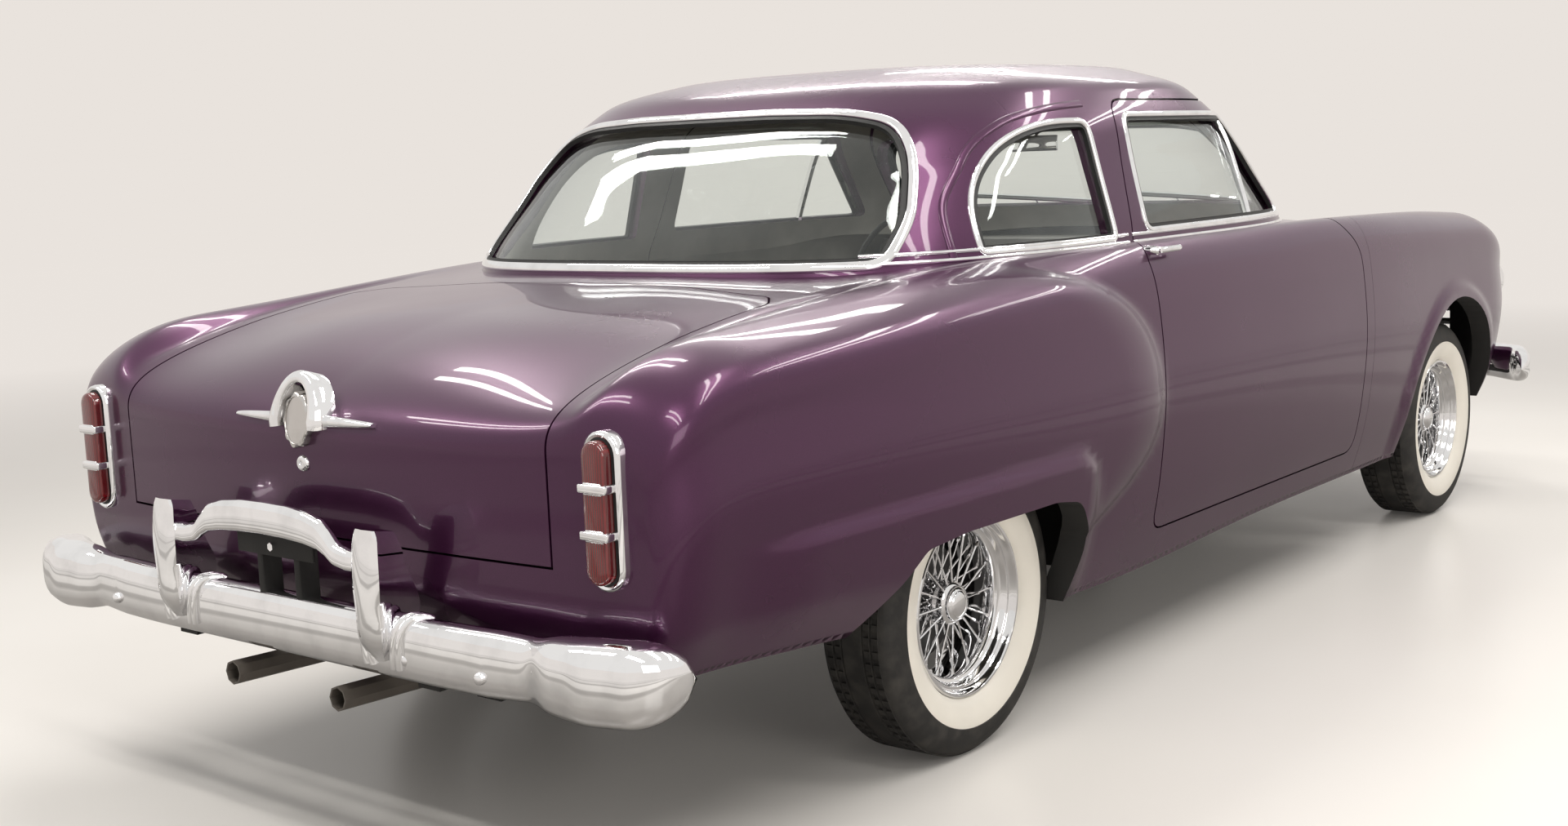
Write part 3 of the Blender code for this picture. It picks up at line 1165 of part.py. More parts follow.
def rear_axle():
    """Live axle with its differential, leaf springs and propeller shaft."""
    reach = REAR_TRACK / 2 - DRUM_INNER - SEAT_GAP
    axle = disc("rear_axle", AXLE_RADIUS, 2 * reach, (0, REAR_AXLE_Y, HUB_Z), "X", STEEL, 16)
    bulge = 0.13 * DIFF_RADIUS
    others = [ball("diff", (DIFF_RADIUS, DIFF_RADIUS + bulge, DIFF_RADIUS),
                   (0, REAR_AXLE_Y - bulge, HUB_Z - bulge / 2))]
    front_z = 0.5 * (FLOOR_Z + TUNNEL_Z - FLOOR)
    front = (0, FIREWALL_Y + 0.15 * WHEELBASE + 5 * SEAT_GAP, front_z)
    others.append(tube("shaft", (front, (0, REAR_AXLE_Y, HUB_Z)), SHAFT_RADIUS, STEEL))
    leaf = 0.6 * AXLE_RADIUS
    front_y = KICK_FRONT_Y - 0.5 * KICK_RUN
    rear_y = KICK_REAR_Y + KICK_RUN
    low_z = RAIL_LOW_Z + leaf
    outline = [(front_y, low_z - leaf / 2), (REAR_AXLE_Y, HUB_Z - 2.4 * leaf), (rear_y, HUB_Z + leaf),
               (rear_y, HUB_Z + 1.8 * leaf), (REAR_AXLE_Y, HUB_Z - 0.4 * leaf), (front_y, low_z + leaf / 2)]
    for side in (1, -1):
        others.append(prism("spring", outline, "X", side * SPRING_X - leaf, side * SPRING_X + leaf))
        low, high = sorted((side * (RAIL_X + RAIL_HALF + SEAT_GAP), side * (SPRING_X + leaf / 2)))
        others.append(box("shackle", (low, rear_y - 2 * leaf, HUB_Z + leaf),
                          (high, rear_y - leaf, HUB_Z + 2.6 * leaf)))
        others.append(box("hanger", (low, front_y + leaf / 2, low_z - leaf),
                          (high, front_y + 2 * leaf, FLOOR_Z - SEAT_GAP)))
    return join_into(axle, others)


def exhausts():
    """Twin pipes with open tips, each with its silencer under the floor."""
    made = []
    for side, word in ((1, "left"), (-1, "right")):
        x = side * PIPE_X
        inner = side * (PIPE_X + PIPE_RADIUS)
        points = [(x, PIPE_TIP_Y, PIPE_TIP_Z), (x, KICK_REAR_Y, PIPE_TIP_Z - PIPE_RADIUS),
                  (inner, REAR_AXLE_Y + 3 * PIPE_RADIUS, PIPE_LOW_Z),
                  (inner, FIREWALL_Y - 4 * PIPE_RADIUS, PIPE_LOW_Z)]
        pipe = tube("exhaust_" + word, points, PIPE_RADIUS, STEEL)
        middle = (inner, 0.5 * DOOR_REAR_Y, PIPE_LOW_Z - PIPE_RADIUS / 2)
        silencer = disc("silencer", 2.0 * PIPE_RADIUS, 20 * PIPE_RADIUS, middle, "Y", sides=16)
        half = 0.4 * PIPE_RADIUS
        hanger = box("hanger", (x - half, TAIL_CROSS_Y - PIPE_RADIUS, PIPE_TIP_Z - PIPE_RADIUS / 2),
                     (x + half, TAIL_CROSS_Y + PIPE_RADIUS, TAIL_RAIL_TOP_Z - RAIL_HALF - SEAT_GAP))
        join_into(pipe, [silencer, hanger])
        bore = disc("bore", PIPE_RADIUS - PIPE_WALL, 4 * PIPE_RADIUS, (x, PIPE_TIP_Y, PIPE_TIP_Z), "Y",
                    sides=8, cutter=True)
        boolean(pipe, bore, "DIFFERENCE")
        drop(bore)
        made.append(pipe)
    return made


def skinned(name, loops, look=None):
    """Skin closed loops of places, one after another, into a solid."""
    bm = bmesh.new()
    rings = [[bm.verts.new(place) for place in loop] for loop in loops]
    for one, two in zip(rings, rings[1:]):
        for i in range(len(one)):
            j = (i + 1) % len(one)
            bm.faces.new((one[i], one[j], two[j], two[i]))
    bm.faces.new(rings[0])
    bm.faces.new(rings[-1])
    return finish(name, bm, look)


def swept_bar(name, stations, sides, look):
    """Skin rounded sections along a bar: each station is centre, half depth, half height, turn."""
    loops = []
    for (x, y, z), depth, height, turn in stations:
        loop = []
        for k in range(sides):
            angle = 2 * math.pi * (k + 0.5) / sides
            out = depth * math.copysign(abs(math.cos(angle)) ** BAR_SQUARENESS, math.cos(angle))
            up = height * math.copysign(abs(math.sin(angle)) ** BAR_SQUARENESS, math.sin(angle))
            loop.append((x + out * math.sin(turn), y + out * math.cos(turn), z + up))
        loops.append(loop)
    return skinned(name, loops, look)


def bumper_bar(name, table, y, wrap):
    """A bumper bar that wraps round the corner of the body."""
    ahead = math.copysign(1.0, y)
    stations = []
    for share, back, depth, height in table:
        turn = BAR_TURN * back ** 1.2
        swell = 0.8 * max(depth - 1.0, 0.0) * BUMPER_HALF_Y
        place = (share * BUMPER_REACH_X + swell * math.sin(turn),
                 y + ahead * (swell * math.cos(turn) - wrap * back), BUMPER_Z)
        stations.append((place, depth * BUMPER_HALF_Y, height * BUMPER_HALF_Z, turn * ahead))
    mirrored = [((-x, y0, z), depth, height, -turn) for (x, y0, z), depth, height, turn in stations[:0:-1]]
    return swept_bar(name, mirrored + stations, BAR_SIDES, CHROME)


def guards(bar_y):
    """Two blade-shaped guards that stand on a bumper bar and rise above it."""
    ahead = math.copysign(GUARD_OUT, bar_y)
    edge = 0.35 * GUARD_HALF_X
    made = []
    for centre in (GUARD_X, -GUARD_X):
        loops = []
        for up, behind, before, wide in GUARD_SHARES:
            z = GUARD_LOW_Z + up * (GUARD_TOP_Z - GUARD_LOW_Z)
            half = wide * GUARD_HALF_X
            back, front = bar_y + ahead * behind, bar_y + ahead * before
            shoulder = front - math.copysign(edge * wide, bar_y)
            plan = [(half, back), (half, shoulder), (0.55 * half, front)]
            plan += [(-x, y) for x, y in reversed(plan)]
            loops.append([(centre + x, y, z) for x, y in plan])
        made.append(skinned("guard", loops))
    return made


def arch_rail():
    """Stepped rail that arches from one rear guard to the other."""
    y = BUMPER_Y + 0.7 * GUARD_OUT
    stations = []
    for share, rise, height in ARCH_RAIL_SHARES:
        place = (share * GUARD_X, y, ARCH_RAIL_Z + rise * ARCH_RAIL_RISE)
        stations.append((place, ARCH_RAIL_HALF_Y, height * ARCH_RAIL_HALF_Z, 0.0))
    mirrored = [((-x, y0, z), depth, height, 0.0) for (x, y0, z), depth, height, _ in stations[:0:-1]]
    return swept_bar("arch_rail", mirrored + stations, 8, CHROME)


def skin_solid(name):
    """The outer skin a seat gap larger, to trim what seats on it."""
    rows = np.linspace(0.0, 1.0, SKIN_ROWS)
    return body_solid(name, rows, -SEAT_GAP, -SEAT_GAP, -SEAT_GAP)


def pill_outline(x, half_x, low_z, high_z):
    """Upright outline with round ends."""
    points = arc((x, high_z - half_x), (half_x, half_x), 0, 180, 8)
    return points + arc((x, low_z + half_x), (half_x, half_x), 180, 360, 8)


def tail_lamp(word, side):
    """Bezel, a lens that stands out of it and the two bands over the lens."""
    x = side * TAIL_LAMP_X
    inner = TAIL_Y - TAIL_LAMP_OUT
    bezel = pill_outline(x, TAIL_LAMP_HALF_X, TAIL_LAMP_LOW_Z, TAIL_LAMP_HIGH_Z)
    lens_half = TAIL_LAMP_HALF_X - TAIL_LENS_RIM
    lens = pill_outline(x, lens_half, TAIL_LAMP_LOW_Z + TAIL_LENS_RIM, TAIL_LAMP_HIGH_Z - TAIL_LENS_RIM)
    crest = grown(lens, -TAIL_LENS_RIM)
    lamp = prism("tail_lamp_" + word, bezel, "Y", inner, TAIL_Y + TAIL_LAMP_OUT, CHROME)
    shoulder_y = TAIL_Y + TAIL_LENS_OUT - TAIL_LENS_RIM
    loops = [[(a, y, b) for a, b in outline] for outline, y in
             ((lens, inner + TAIL_LENS_RIM), (lens, shoulder_y), (crest, TAIL_Y + TAIL_LENS_OUT))]
    others = [skinned("lens", loops)]
    reach = lens_half + 0.5 * TAIL_LENS_RIM
    for share in TAIL_BAND_SHARES:
        z = TAIL_LAMP_LOW_Z + share * (TAIL_LAMP_HIGH_Z - TAIL_LAMP_LOW_Z)
        others.append(box("band", (x - reach, inner + TAIL_LENS_RIM, z - TAIL_BAND),
                          (x + reach, TAIL_Y + TAIL_LENS_OUT + 0.5 * TAIL_BAND, z + TAIL_BAND)))
    return join_into(lamp, others)


def lid_ornament():
    """Arch round a plain medallion, with a thin wing to each side; the arch leans with the lid."""
    face = TAIL_Y + TAIL_BOW + ORNAMENT_OUT
    back = face - ORNAMENT_DEPTH
    root = 0.5 * ARCH_BAND
    right = [(ORNAMENT_HALF, ORNAMENT_Z - 0.2 * root), (ORNAMENT_HALF, ORNAMENT_Z + 0.3 * root),
             (ARCH_HALF_X, ORNAMENT_Z + root)]
    wings = [(ARCH_HALF_X, ORNAMENT_Z - root)] + right
    wings += [(-x, z) for x, z in reversed(wings)]
    ornament = prism("lid_ornament", wings, "Y", back, face - 0.3 * ORNAMENT_OUT, CHROME)
    centre = (0, ORNAMENT_Z)
    outline = arc(centre, (ARCH_HALF_X, ARCH_HIGH), -8, 188, 12)
    outline += arc(centre, (ARCH_HALF_X - ARCH_BAND, ARCH_HIGH - ARCH_BAND), 188, -8, 12)
    band = prism("band", outline, "Y", back, face)
    for vert in band.data.vertices:
        vert.co.y -= ARCH_LEAN * max(vert.co.z - ORNAMENT_Z, 0.0)
    medal = arc(centre, (MEDAL_HALF_X, MEDAL_HALF_Z), 0, 337.5, 15)
    crest = grown(medal, -0.4 * ORNAMENT_OUT)
    loops = [[(a, y, b) for a, b in outline] for outline, y in
             ((medal, back), (medal, face), (crest, face + 0.4 * ORNAMENT_OUT))]
    bm = bmesh.new()
    bm.from_mesh(band.data)
    bmesh.ops.triangulate(bm, faces=bm.faces)
    bm.to_mesh(band.data)
    bm.free()
    return join_into(ornament, [band, skinned("medal", loops)])


def door_handle(word, side):
    """Bar of a door handle with its push button end."""
    low_x, high_x = sorted((side * 0.90 * HALF_WIDTH, side * 1.01 * HALF_WIDTH))
    half_z = 0.15 * HANDLE_HALF
    return box("door_handle_" + word, (low_x, HANDLE_Y - HANDLE_HALF, HANDLE_Z - half_z),
               (high_x, HANDLE_Y + HANDLE_HALF, HANDLE_Z + half_z), CHROME)


def outside_trim():
    """Lamps, ornament and handles, each trimmed to seat on the skin."""
    made = {"lid_ornament": lid_ornament()}
    for side, word in ((1, "left"), (-1, "right")):
        made["tail_lamp_" + word] = tail_lamp(word, side)
        made["door_handle_" + word] = door_handle(word, side)
    skin = skin_solid("outer")
    for thing in made.values():
        cut_sheet(thing, skin, "DIFFERENCE")
    drop(skin)
    return made


def headlamp(word, side):
    """Round headlamp with its rim and a domed lens."""
    radius = LAMP_RADIUS - SEAT_GAP
    place = Vector((side * LAMP_X, NOSE_Y - 0.1 * LAMP_RADIUS, LAMP_Z))
    lamp = disc("headlamp_" + word, radius, LAMP_RADIUS, place, "Y", CHROME)
    front = place - Vector((0, 0.5 * LAMP_RADIUS, 0))
    dome = ball("dome", (0.86 * radius, 0.25 * radius, 0.86 * radius), front)
    return join_into(lamp, [dome])


def grille():
    """Bars across the nose opening that follow its bow, tied by upright posts."""
    half = GRILLE_HALF - SEAT_GAP
    flat = GRILLE_BAR * math.sin(math.radians(67.5)) ** BAR_SQUARENESS
    low = GRILLE_LOW_Z + SEAT_GAP + flat
    high = GRILLE_HIGH_Z - SEAT_GAP - flat
    bars = []
    for row in range(GRILLE_ROWS):
        z = low + (high - low) * row / (GRILLE_ROWS - 1)
        stations = []
        for k in range(9):
            x = half * (-1.0 + 2.0 * k / 8)
            y = NOSE_Y + END_WALL / 2 + bow_at(abs(x), TUCK_Z, 1.0, 0.0)
            stations.append(((x, y, z), GRILLE_BAR, GRILLE_BAR, 0.0))
        bars.append(swept_bar("grille", stations, 8, CHROME))
    thin = GRILLE_BAR / 2
    for k in range(GRILLE_POSTS):
        x = half * 0.8 * (-1.0 + 2.0 * k / (GRILLE_POSTS - 1))
        y = NOSE_Y + END_WALL / 2 + bow_at(abs(x), TUCK_Z, 1.0, 0.0)
        bars.append(box("post", (x - thin, y - thin, low), (x + thin, y + thin, high)))
    return join_into(bars[0], bars[1:])


def glazing():
    """Windshield, rear window, door glasses and quarter glasses, cut from one thin shell."""
    outer = green_solid("glass_outer", GLASS_INSET)
    inner = green_solid("glass_inner", GLASS_INSET + GLASS, TOP_WALL)
    cut_sheet(outer, inner, "DIFFERENCE")
    drop(inner)
    made = {}
    wide = 2 * HALF_WIDTH
    rear, shield = end_windows()
    plans = [("rear_glass", rear[0], "Y", rear[1], rear[2]),
             ("windshield_glass", shield[0], "Y", shield[1], shield[2])]
    for side, word in ((1, "left"), (-1, "right")):
        low, high = sorted((side * 0.3 * wide, side * wide))
        plans.append(("door_glass_" + word, door_window_outline(), "X", low, high))
        plans.append(("quarter_glass_" + word, quarter_window_outline(), "X", low, high))
    for name, outline, axis, low, high in plans:
        pane = copy_of(outer, name, GLASS_LOOK)
        plug = prism("pane_plug", grown(outline, -SEAT_GAP), axis, low, high, cutter=True)
        cut_sheet(pane, plug, "INTERSECT")
        drop(plug)
        made[name] = pane
    drop(outer)
    return made


def tyre_profile():
    """Half section of a tyre in (radius, width), as a closed loop."""
    half = TYRE_WIDTH / 2
    bead = RIM_RADIUS + SEAT_GAP
    bead_half = RIM_WIDTH / 2 - RIM_FLANGE - SEAT_GAP
    return [(TYRE_RADIUS, 0.66 * half), (TYRE_RADIUS, -0.66 * half), (0.95 * TYRE_RADIUS, -0.90 * half),
            (0.80 * TYRE_RADIUS, -half), (bead + 2 * RIM_FLANGE, -bead_half), (bead, -bead_half),
            (bead, bead_half), (bead + 2 * RIM_FLANGE, bead_half), (0.80 * TYRE_RADIUS, half),
            (0.95 * TYRE_RADIUS, 0.90 * half)]


def rim_profile():
    """Closed section of the drop-centre rim in (radius, width)."""
    half = RIM_WIDTH / 2
    lip = RIM_RADIUS + 1.6 * RIM_FLANGE
    skin = RIM_FLANGE
    return [(lip, half), (RIM_RADIUS - skin, half), (RIM_RADIUS - RIM_DROP, 0.30 * half),
            (RIM_RADIUS - RIM_DROP, -0.30 * half), (RIM_RADIUS - skin, -half), (lip, -half),
            (lip, -half + skin), (RIM_RADIUS, -half + skin), (RIM_RADIUS, half - skin), (lip, half - skin)]


def add_bar(bm, start, stop, radius):
    """Add one four-sided bar between two points."""
    way = stop - start
    made = bmesh.ops.create_cone(bm, cap_ends=True, segments=4, radius1=radius, radius2=radius,
                                 depth=way.length)
    turn = Vector((0, 0, 1)).rotation_difference(way).to_matrix().to_4x4()
    bmesh.ops.transform(bm, matrix=Matrix.Translation((start + stop) / 2) @ turn, verts=made["verts"])


def spoke_ring():
    """Straight outer spokes with crossed pairs behind them, as one loose set of bars."""
    bm = bmesh.new()
    tip_r = RIM_RADIUS - 0.9 * RIM_DROP
    root_r = 0.8 * HUB_RADIUS
    for k in range(SPOKES):
        start = 2 * math.pi * k / SPOKES
        crossed = k % 2
        hand = crossed * (1 if k % 4 == 1 else -1)
        lean = hand * SPOKE_LEAN
        root_z = (0.05 + 0.12 * hand if crossed else 0.60) * CAP_OUT
        tip_z = (-0.26 + 0.12 * hand if crossed else -0.06) * CAP_OUT
        root = Vector((root_r * math.cos(start), root_r * math.sin(start), root_z))
        tip = Vector((tip_r * math.cos(start + lean), tip_r * math.sin(start + lean), tip_z))
        add_bar(bm, root, tip, SPOKE)
    return finish("spokes", bm)


def wheel_pair(word, x, y, side):
    """A tyre and its wire wheel about an axis along X; side is the outer side."""
    tyre = turned("tyre_" + word, tyre_profile(), TYRE_SIDES, RUBBER)
    wheel = turned("wire_wheel_" + word, rim_profile(), TYRE_SIDES, CHROME)
    hub_low = -0.5 * RIM_WIDTH
    neck = 0.9 * CAP_OUT
    parts = [disc("hub", HUB_RADIUS, neck - hub_low, (0, 0, 0.5 * (neck + hub_low)), "Z", sides=14),
             disc("cap", 0.84 * HUB_RADIUS, 0.4 * CAP_OUT, (0, 0, neck + 0.15 * CAP_OUT), "Z", sides=14,
                  top=0.5 * HUB_RADIUS),
             disc("drum", DRUM_RADIUS, DRUM_WIDTH, (0, 0, hub_low + 0.1 * DRUM_WIDTH), "Z", sides=18)]
    join_into(wheel, parts + [spoke_ring()])
    place = Matrix.Translation((x, y, HUB_Z)) @ Matrix.Rotation(side * math.pi / 2, 4, "Y")
    turn = Matrix.Rotation(math.pi / TYRE_SIDES, 4, "Z")
    tyre.data.transform(place @ turn)
    wheel.data.transform(place @ turn)
    return tyre, wheel


def knuckle(word, side):
    """Upright on the kingpin axis with its spindle."""
    x = side * KINGPIN_X
    upright = box("knuckle_" + word,
                  (x - KNUCKLE_HALF, FRONT_AXLE_Y - KNUCKLE_HALF, ARM_LOW_Z + ARM_HALF + SEAT_GAP),
                  (x + KNUCKLE_HALF, FRONT_AXLE_Y + KNUCKLE_HALF, ARM_HIGH_Z - ARM_HALF - SEAT_GAP), STEEL)
    tip = FRONT_TRACK / 2 - DRUM_INNER - SEAT_GAP
    middle = (side * 0.5 * (tip + KINGPIN_X), FRONT_AXLE_Y, HUB_Z)
    return join_into(upright, [disc("spindle", SPINDLE, tip - KINGPIN_X, middle, "X", sides=12)])


def main():
    """Build the whole car."""
    clear_scene()
    shell = sheet_metal()
    CUTTERS.objects.unlink(shell)
    CAR.objects.link(shell)
    shell.hide_render = False
    shell.display_type = "TEXTURED"
    moving = panels(shell)
    glass = glazing()
    trim = outside_trim()
    chassis_frame()
    floor_pan()
    rear_shelf()
    seats()
    dashboard()
    hang(steering_wheel(), pivot_at("steering_axis", WHEEL_AT))
    engine()
    fuel_tank()
    rear_axle()
    exhausts()
    bumper = bumper_bar("rear_bumper", REAR_BAR_SHARES, BUMPER_Y, REAR_WRAP)
    join_into(bumper, guards(BUMPER_Y) + [arch_rail()])
    bumper = bumper_bar("front_bumper", FRONT_BAR_SHARES, FRONT_BUMPER_Y, FRONT_WRAP)
    join_into(bumper, guards(FRONT_BUMPER_Y))
    grille()
    for side, word in ((1, "left"), (-1, "right")):
        headlamp(word, side)
        hinge = pivot_at("door_hinge_" + word, (side * (HALF_WIDTH + PANEL), DOOR_FRONT_Y, 0.5 * BELT_Z))
        hinge_leaves(moving["door_" + word], side)
        for thing in (moving["door_" + word], glass["door_glass_" + word], trim["door_handle_" + word]):
            hang(thing, hinge)
        hang(knuckle(word, side), pivot_at("kingpin_" + word, (side * KINGPIN_X, FRONT_AXLE_Y, HUB_Z)))
        for end, x, y in (("front", FRONT_TRACK / 2, FRONT_AXLE_Y), ("rear", REAR_TRACK / 2, REAR_AXLE_Y)):
            hub = pivot_at(end + "_hub_" + word, (side * x, y, HUB_Z))
            for thing in wheel_pair(end + "_" + word, side * x, y, side):
                hang(thing, hub)
    hinge_arms(moving["hood"], HOOD_ARM_X, HOOD_REAR_Y - ARM_REACH / 2, FIREWALL_Y - SEAT_GAP,
               BELT_Z - 4 * TOP_WALL)
    hang(moving["hood"], pivot_at("hood_hinge", (0, HOOD_REAR_Y, BELT_Z)))
    hinge_arms(moving["trunk_lid"], LID_ARM_X, LID_FRONT_Y + ARM_REACH, SHELF_REAR_Y + SEAT_GAP,
               SHELF_Z + FLOOR / 2)
    lid_hinge = pivot_at("lid_hinge", (0, LID_FRONT_Y, BELT_Z))
    for thing in (moving["trunk_lid"], trim["lid_ornament"]):
        hang(thing, lid_hinge)


main()
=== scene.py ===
"""Looks of the two-door club sedan: smooth panels, glass, trim, wire wheels, cabin and studio.

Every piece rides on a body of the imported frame. Lengths are metres, the nose points
towards -Y, the car's left side is at +X and the ground is z = 0.
"""
import logging
import math
from dataclasses import dataclass
from enum import Enum
from typing import Any, Callable, Iterable, Sequence

import bmesh
import bpy
import numpy as np
from mathutils import Matrix, Vector
from mathutils.bvhtree import BVHTree


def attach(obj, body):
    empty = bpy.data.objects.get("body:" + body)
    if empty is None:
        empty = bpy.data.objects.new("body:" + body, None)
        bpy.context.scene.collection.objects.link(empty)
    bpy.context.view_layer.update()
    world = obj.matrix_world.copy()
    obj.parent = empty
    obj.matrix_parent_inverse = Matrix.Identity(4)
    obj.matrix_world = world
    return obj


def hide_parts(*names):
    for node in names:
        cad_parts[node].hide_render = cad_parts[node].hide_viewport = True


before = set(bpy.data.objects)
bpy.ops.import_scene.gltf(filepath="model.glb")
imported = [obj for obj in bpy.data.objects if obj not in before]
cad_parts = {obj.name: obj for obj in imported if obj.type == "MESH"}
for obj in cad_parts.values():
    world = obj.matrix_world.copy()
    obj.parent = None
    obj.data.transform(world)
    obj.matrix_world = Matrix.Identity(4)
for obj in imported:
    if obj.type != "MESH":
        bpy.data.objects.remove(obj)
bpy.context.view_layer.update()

LOG = logging.getLogger("club_sedan")
Flat = tuple[float, float]
Colour = tuple[float, float, float]


class Body(Enum):
    """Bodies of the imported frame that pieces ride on."""

    CAR = "car"
    HOOD = "hood"
    TRUNK = "trunk"
    LEFT_DOOR = "left_door"
    RIGHT_DOOR = "right_door"
    STEERING = "steering"


class Side(Enum):
    """The car's two sides and the sign of their x."""

    LEFT = 1
    RIGHT = -1

    @property
    def word(self) -> str:
        """The side's name as the nodes spell it."""
        return self.name.lower()

    @property
    def door(self) -> Body:
        """The door body on this side."""
        return Body.LEFT_DOOR if self is Side.LEFT else Body.RIGHT_DOOR


class Term:
    """A shader socket that takes part in plain arithmetic."""

    def __init__(self, graph: "Graph", socket: bpy.types.NodeSocket) -> None:
        """Wrap a socket.

        Args:
            graph: The node tree that the socket belongs to.
            socket: The output to calculate with.
        """
        self.graph = graph
        self.socket = socket

    def _math(self, operation: str, first: "Term | float", second: "Term | float") -> "Term":
        """Add one Math node.

        Args:
            operation: The Math node's operation.
            first: First value.
            second: Second value.

        Returns:
            The node's result.
        """
        return self.graph.node("ShaderNodeMath", {"operation": operation}, {0: first, 1: second})

    def __add__(self, other: "Term | float") -> "Term":
        """Sum."""
        return self._math("ADD", self, other)

    def __radd__(self, other: float) -> "Term":
        """Sum with a number first."""
        return self._math("ADD", other, self)

    def __sub__(self, other: "Term | float") -> "Term":
        """Difference."""
        return self._math("SUBTRACT", self, other)

    def __rsub__(self, other: float) -> "Term":
        """Difference from a number."""
        return self._math("SUBTRACT", other, self)

    def __mul__(self, other: "Term | float") -> "Term":
        """Product."""
        return self._math("MULTIPLY", self, other)

    def __rmul__(self, other: float) -> "Term":
        """Product with a number first."""
        return self._math("MULTIPLY", other, self)

    def __pow__(self, other: float) -> "Term":
        """Power."""
        return self._math("POWER", self, other)

    def ramp(self, low: float, high: float) -> "Term":
        """Run from nought at low to one at high, held between.

        Args:
            low: Value that becomes nought.
            high: Value that becomes one.

        Returns:
            The clamped share.
        """
        share = (self - low) * (1.0 / (high - low))
        return self._math("MINIMUM", self._math("MAXIMUM", share, 0.0), 1.0)


class Graph:
    """The node tree of one material."""

    def __init__(self, name: str) -> None:
        """Start a material.

        Args:
            name: The material's name.
        """
        self.material = bpy.data.materials.new(name)
        self.material.use_nodes = True
        self.tree = self.material.node_tree
        self.shader = self.tree.nodes["Principled BSDF"]

    def node(self, kind: str, settings: dict[str, Any], inputs: dict[Any, Any], output: int = 0) -> Term:
        """Add a node with its settings first and then its sockets.

        Args:
            kind: The node's type.
            settings: Attributes to set.
            inputs: Values or terms by socket name or number.
            output: Which output to return.

        Returns:
            The output as a term.
        """
        made = self.tree.nodes.new(kind)
        for key, value in settings.items():
            setattr(made, key, value)
        for key, value in inputs.items():
            self.feed(made.inputs[key], value)
        return Term(self, made.outputs[output])

    def feed(self, socket: bpy.types.NodeSocket, value: Any) -> None:
        """Link a term to a socket or set its value.

        Args:
            socket: The input.
            value: A term or a constant.
        """
        if isinstance(value, Term):
            self.tree.links.new(value.socket, socket)
        else:
            socket.default_value = value

    def place(self, scale: Sequence[float] = (1.0, 1.0, 1.0)) -> Term:
        """Object coordinates, stretched.

        Args:
            scale: Stretch along each axis.

        Returns:
            The coordinate vector.
        """
        plain = self.node("ShaderNodeTexCoord", {}, {}, 3)
        return self.node("ShaderNodeMapping", {}, {"Vector": plain, "Scale": tuple(scale)})

    def noise(self, scale: float, detail: float = 2.0, stretch: Sequence[float] = (1.0, 1.0, 1.0)) -> Term:
        """Noise on object coordinates.

        Args:
            scale: Features to the metre.
            detail: Octaves.
            stretch: Stretch along each axis.

        Returns:
            The noise value about one half.
        """
        values = {"Vector": self.place(stretch), "Scale": scale, "Detail": detail}
        return self.node("ShaderNodeTexNoise", {}, values)

    def blend(self, share: Term | float, first: Any, second: Any) -> Term:
        """Mix two colours.

        Args:
            share: Nought for the first colour, one for the second.
            first: Colour or term.
            second: Colour or term.

        Returns:
            The mixed colour.
        """
        pair = [(*c, 1.0) if isinstance(c, tuple) else c for c in (first, second)]
        return self.node("ShaderNodeMix", {"data_type": "RGBA"}, {0: share, 6: pair[0], 7: pair[1]}, 2)

    def bump(self, height: Term, strength: float, distance: float) -> Term:
        """A bump from a height.

        Args:
            height: Height term.
            strength: Share of the effect.
            distance: Height of one in metres.

        Returns:
            The normal.
        """
        values = {"Height": height, "Strength": strength, "Distance": distance}
        return self.node("ShaderNodeBump", {}, values)

    def dress(self, **values: Any) -> bpy.types.Material:
        """Set sockets of the shader by name with underscores for spaces.

        Args:
            values: Socket names and values or terms.

        Returns:
            The finished material.
        """
        for key, value in values.items():
            self.feed(self.shader.inputs[key.replace("_", " ")], value)
        return self.material


@dataclass(frozen=True)
class Finish:
    """A surface finish; each kind builds its own material once."""

    name: str
    colour: Colour
    roughness: float = 0.4
    wear: float = 0.28

    def build(self) -> bpy.types.Material:
        """Build the plain painted or moulded kind with a fine grain and drift of tone.

        Returns:
            The material.
        """
        graph = Graph(self.name)
        drift = graph.noise(9.0, 3.0).ramp(0.3, 0.7)
        dark = tuple((1.0 - self.wear) * c for c in self.colour)
        grain = graph.noise(700.0, 2.0)
        return graph.dress(
            Base_Color=graph.blend(drift, (*dark,), (*self.colour,)),
            Roughness=(self.roughness - 0.06) + 0.12 * grain,
            Normal=graph.bump(grain, 0.15, 0.0004),
        )

    def material(self) -> bpy.types.Material:
        """The material of this finish, made on first use."""
        return bpy.data.materials.get(self.name) or self.build()


@dataclass(frozen=True)
class Paint(Finish):
    """Metallic paint under clear coat."""

    flake: Colour = (0.105, 0.022, 0.088)

    def build(self) -> bpy.types.Material:
        """Build metal flakes in a tinted base, with a faint ripple in the coat.

        Returns:
            The material.
        """
        graph = Graph(self.name)
        flakes = graph.noise(1400.0, 1.0).ramp(0.0, 1.0)
        ripple = graph.noise(14.0, 1.0)
        dust = graph.noise(2.2, 4.0).ramp(0.35, 0.75)
        return graph.dress(
            Base_Color=graph.blend(flakes, (*self.colour,), (*self.flake,)),
            Metallic=0.62,
            Roughness=self.roughness + 0.05 * dust,
            Coat_Weight=0.55,
            Coat_Roughness=0.03,
            Coat_IOR=1.45,
            Normal=graph.bump(ripple, 0.06, 0.001),
        )


@dataclass(frozen=True)
class Chrome(Finish):
    """Bright plated metal."""

    def build(self) -> bpy.types.Material:
        """Build mirror metal with faint haze where hands and weather reach it.

        Returns:
            The material.
        """
        graph = Graph(self.name)
        haze = graph.noise(16.0, 4.0).ramp(0.45, 0.8)
        return graph.dress(
            Base_Color=graph.blend(haze, (*self.colour,), tuple(0.85 * c for c in self.colour)),
            Metallic=1.0,
            Roughness=self.roughness + 0.03 * haze,
        )


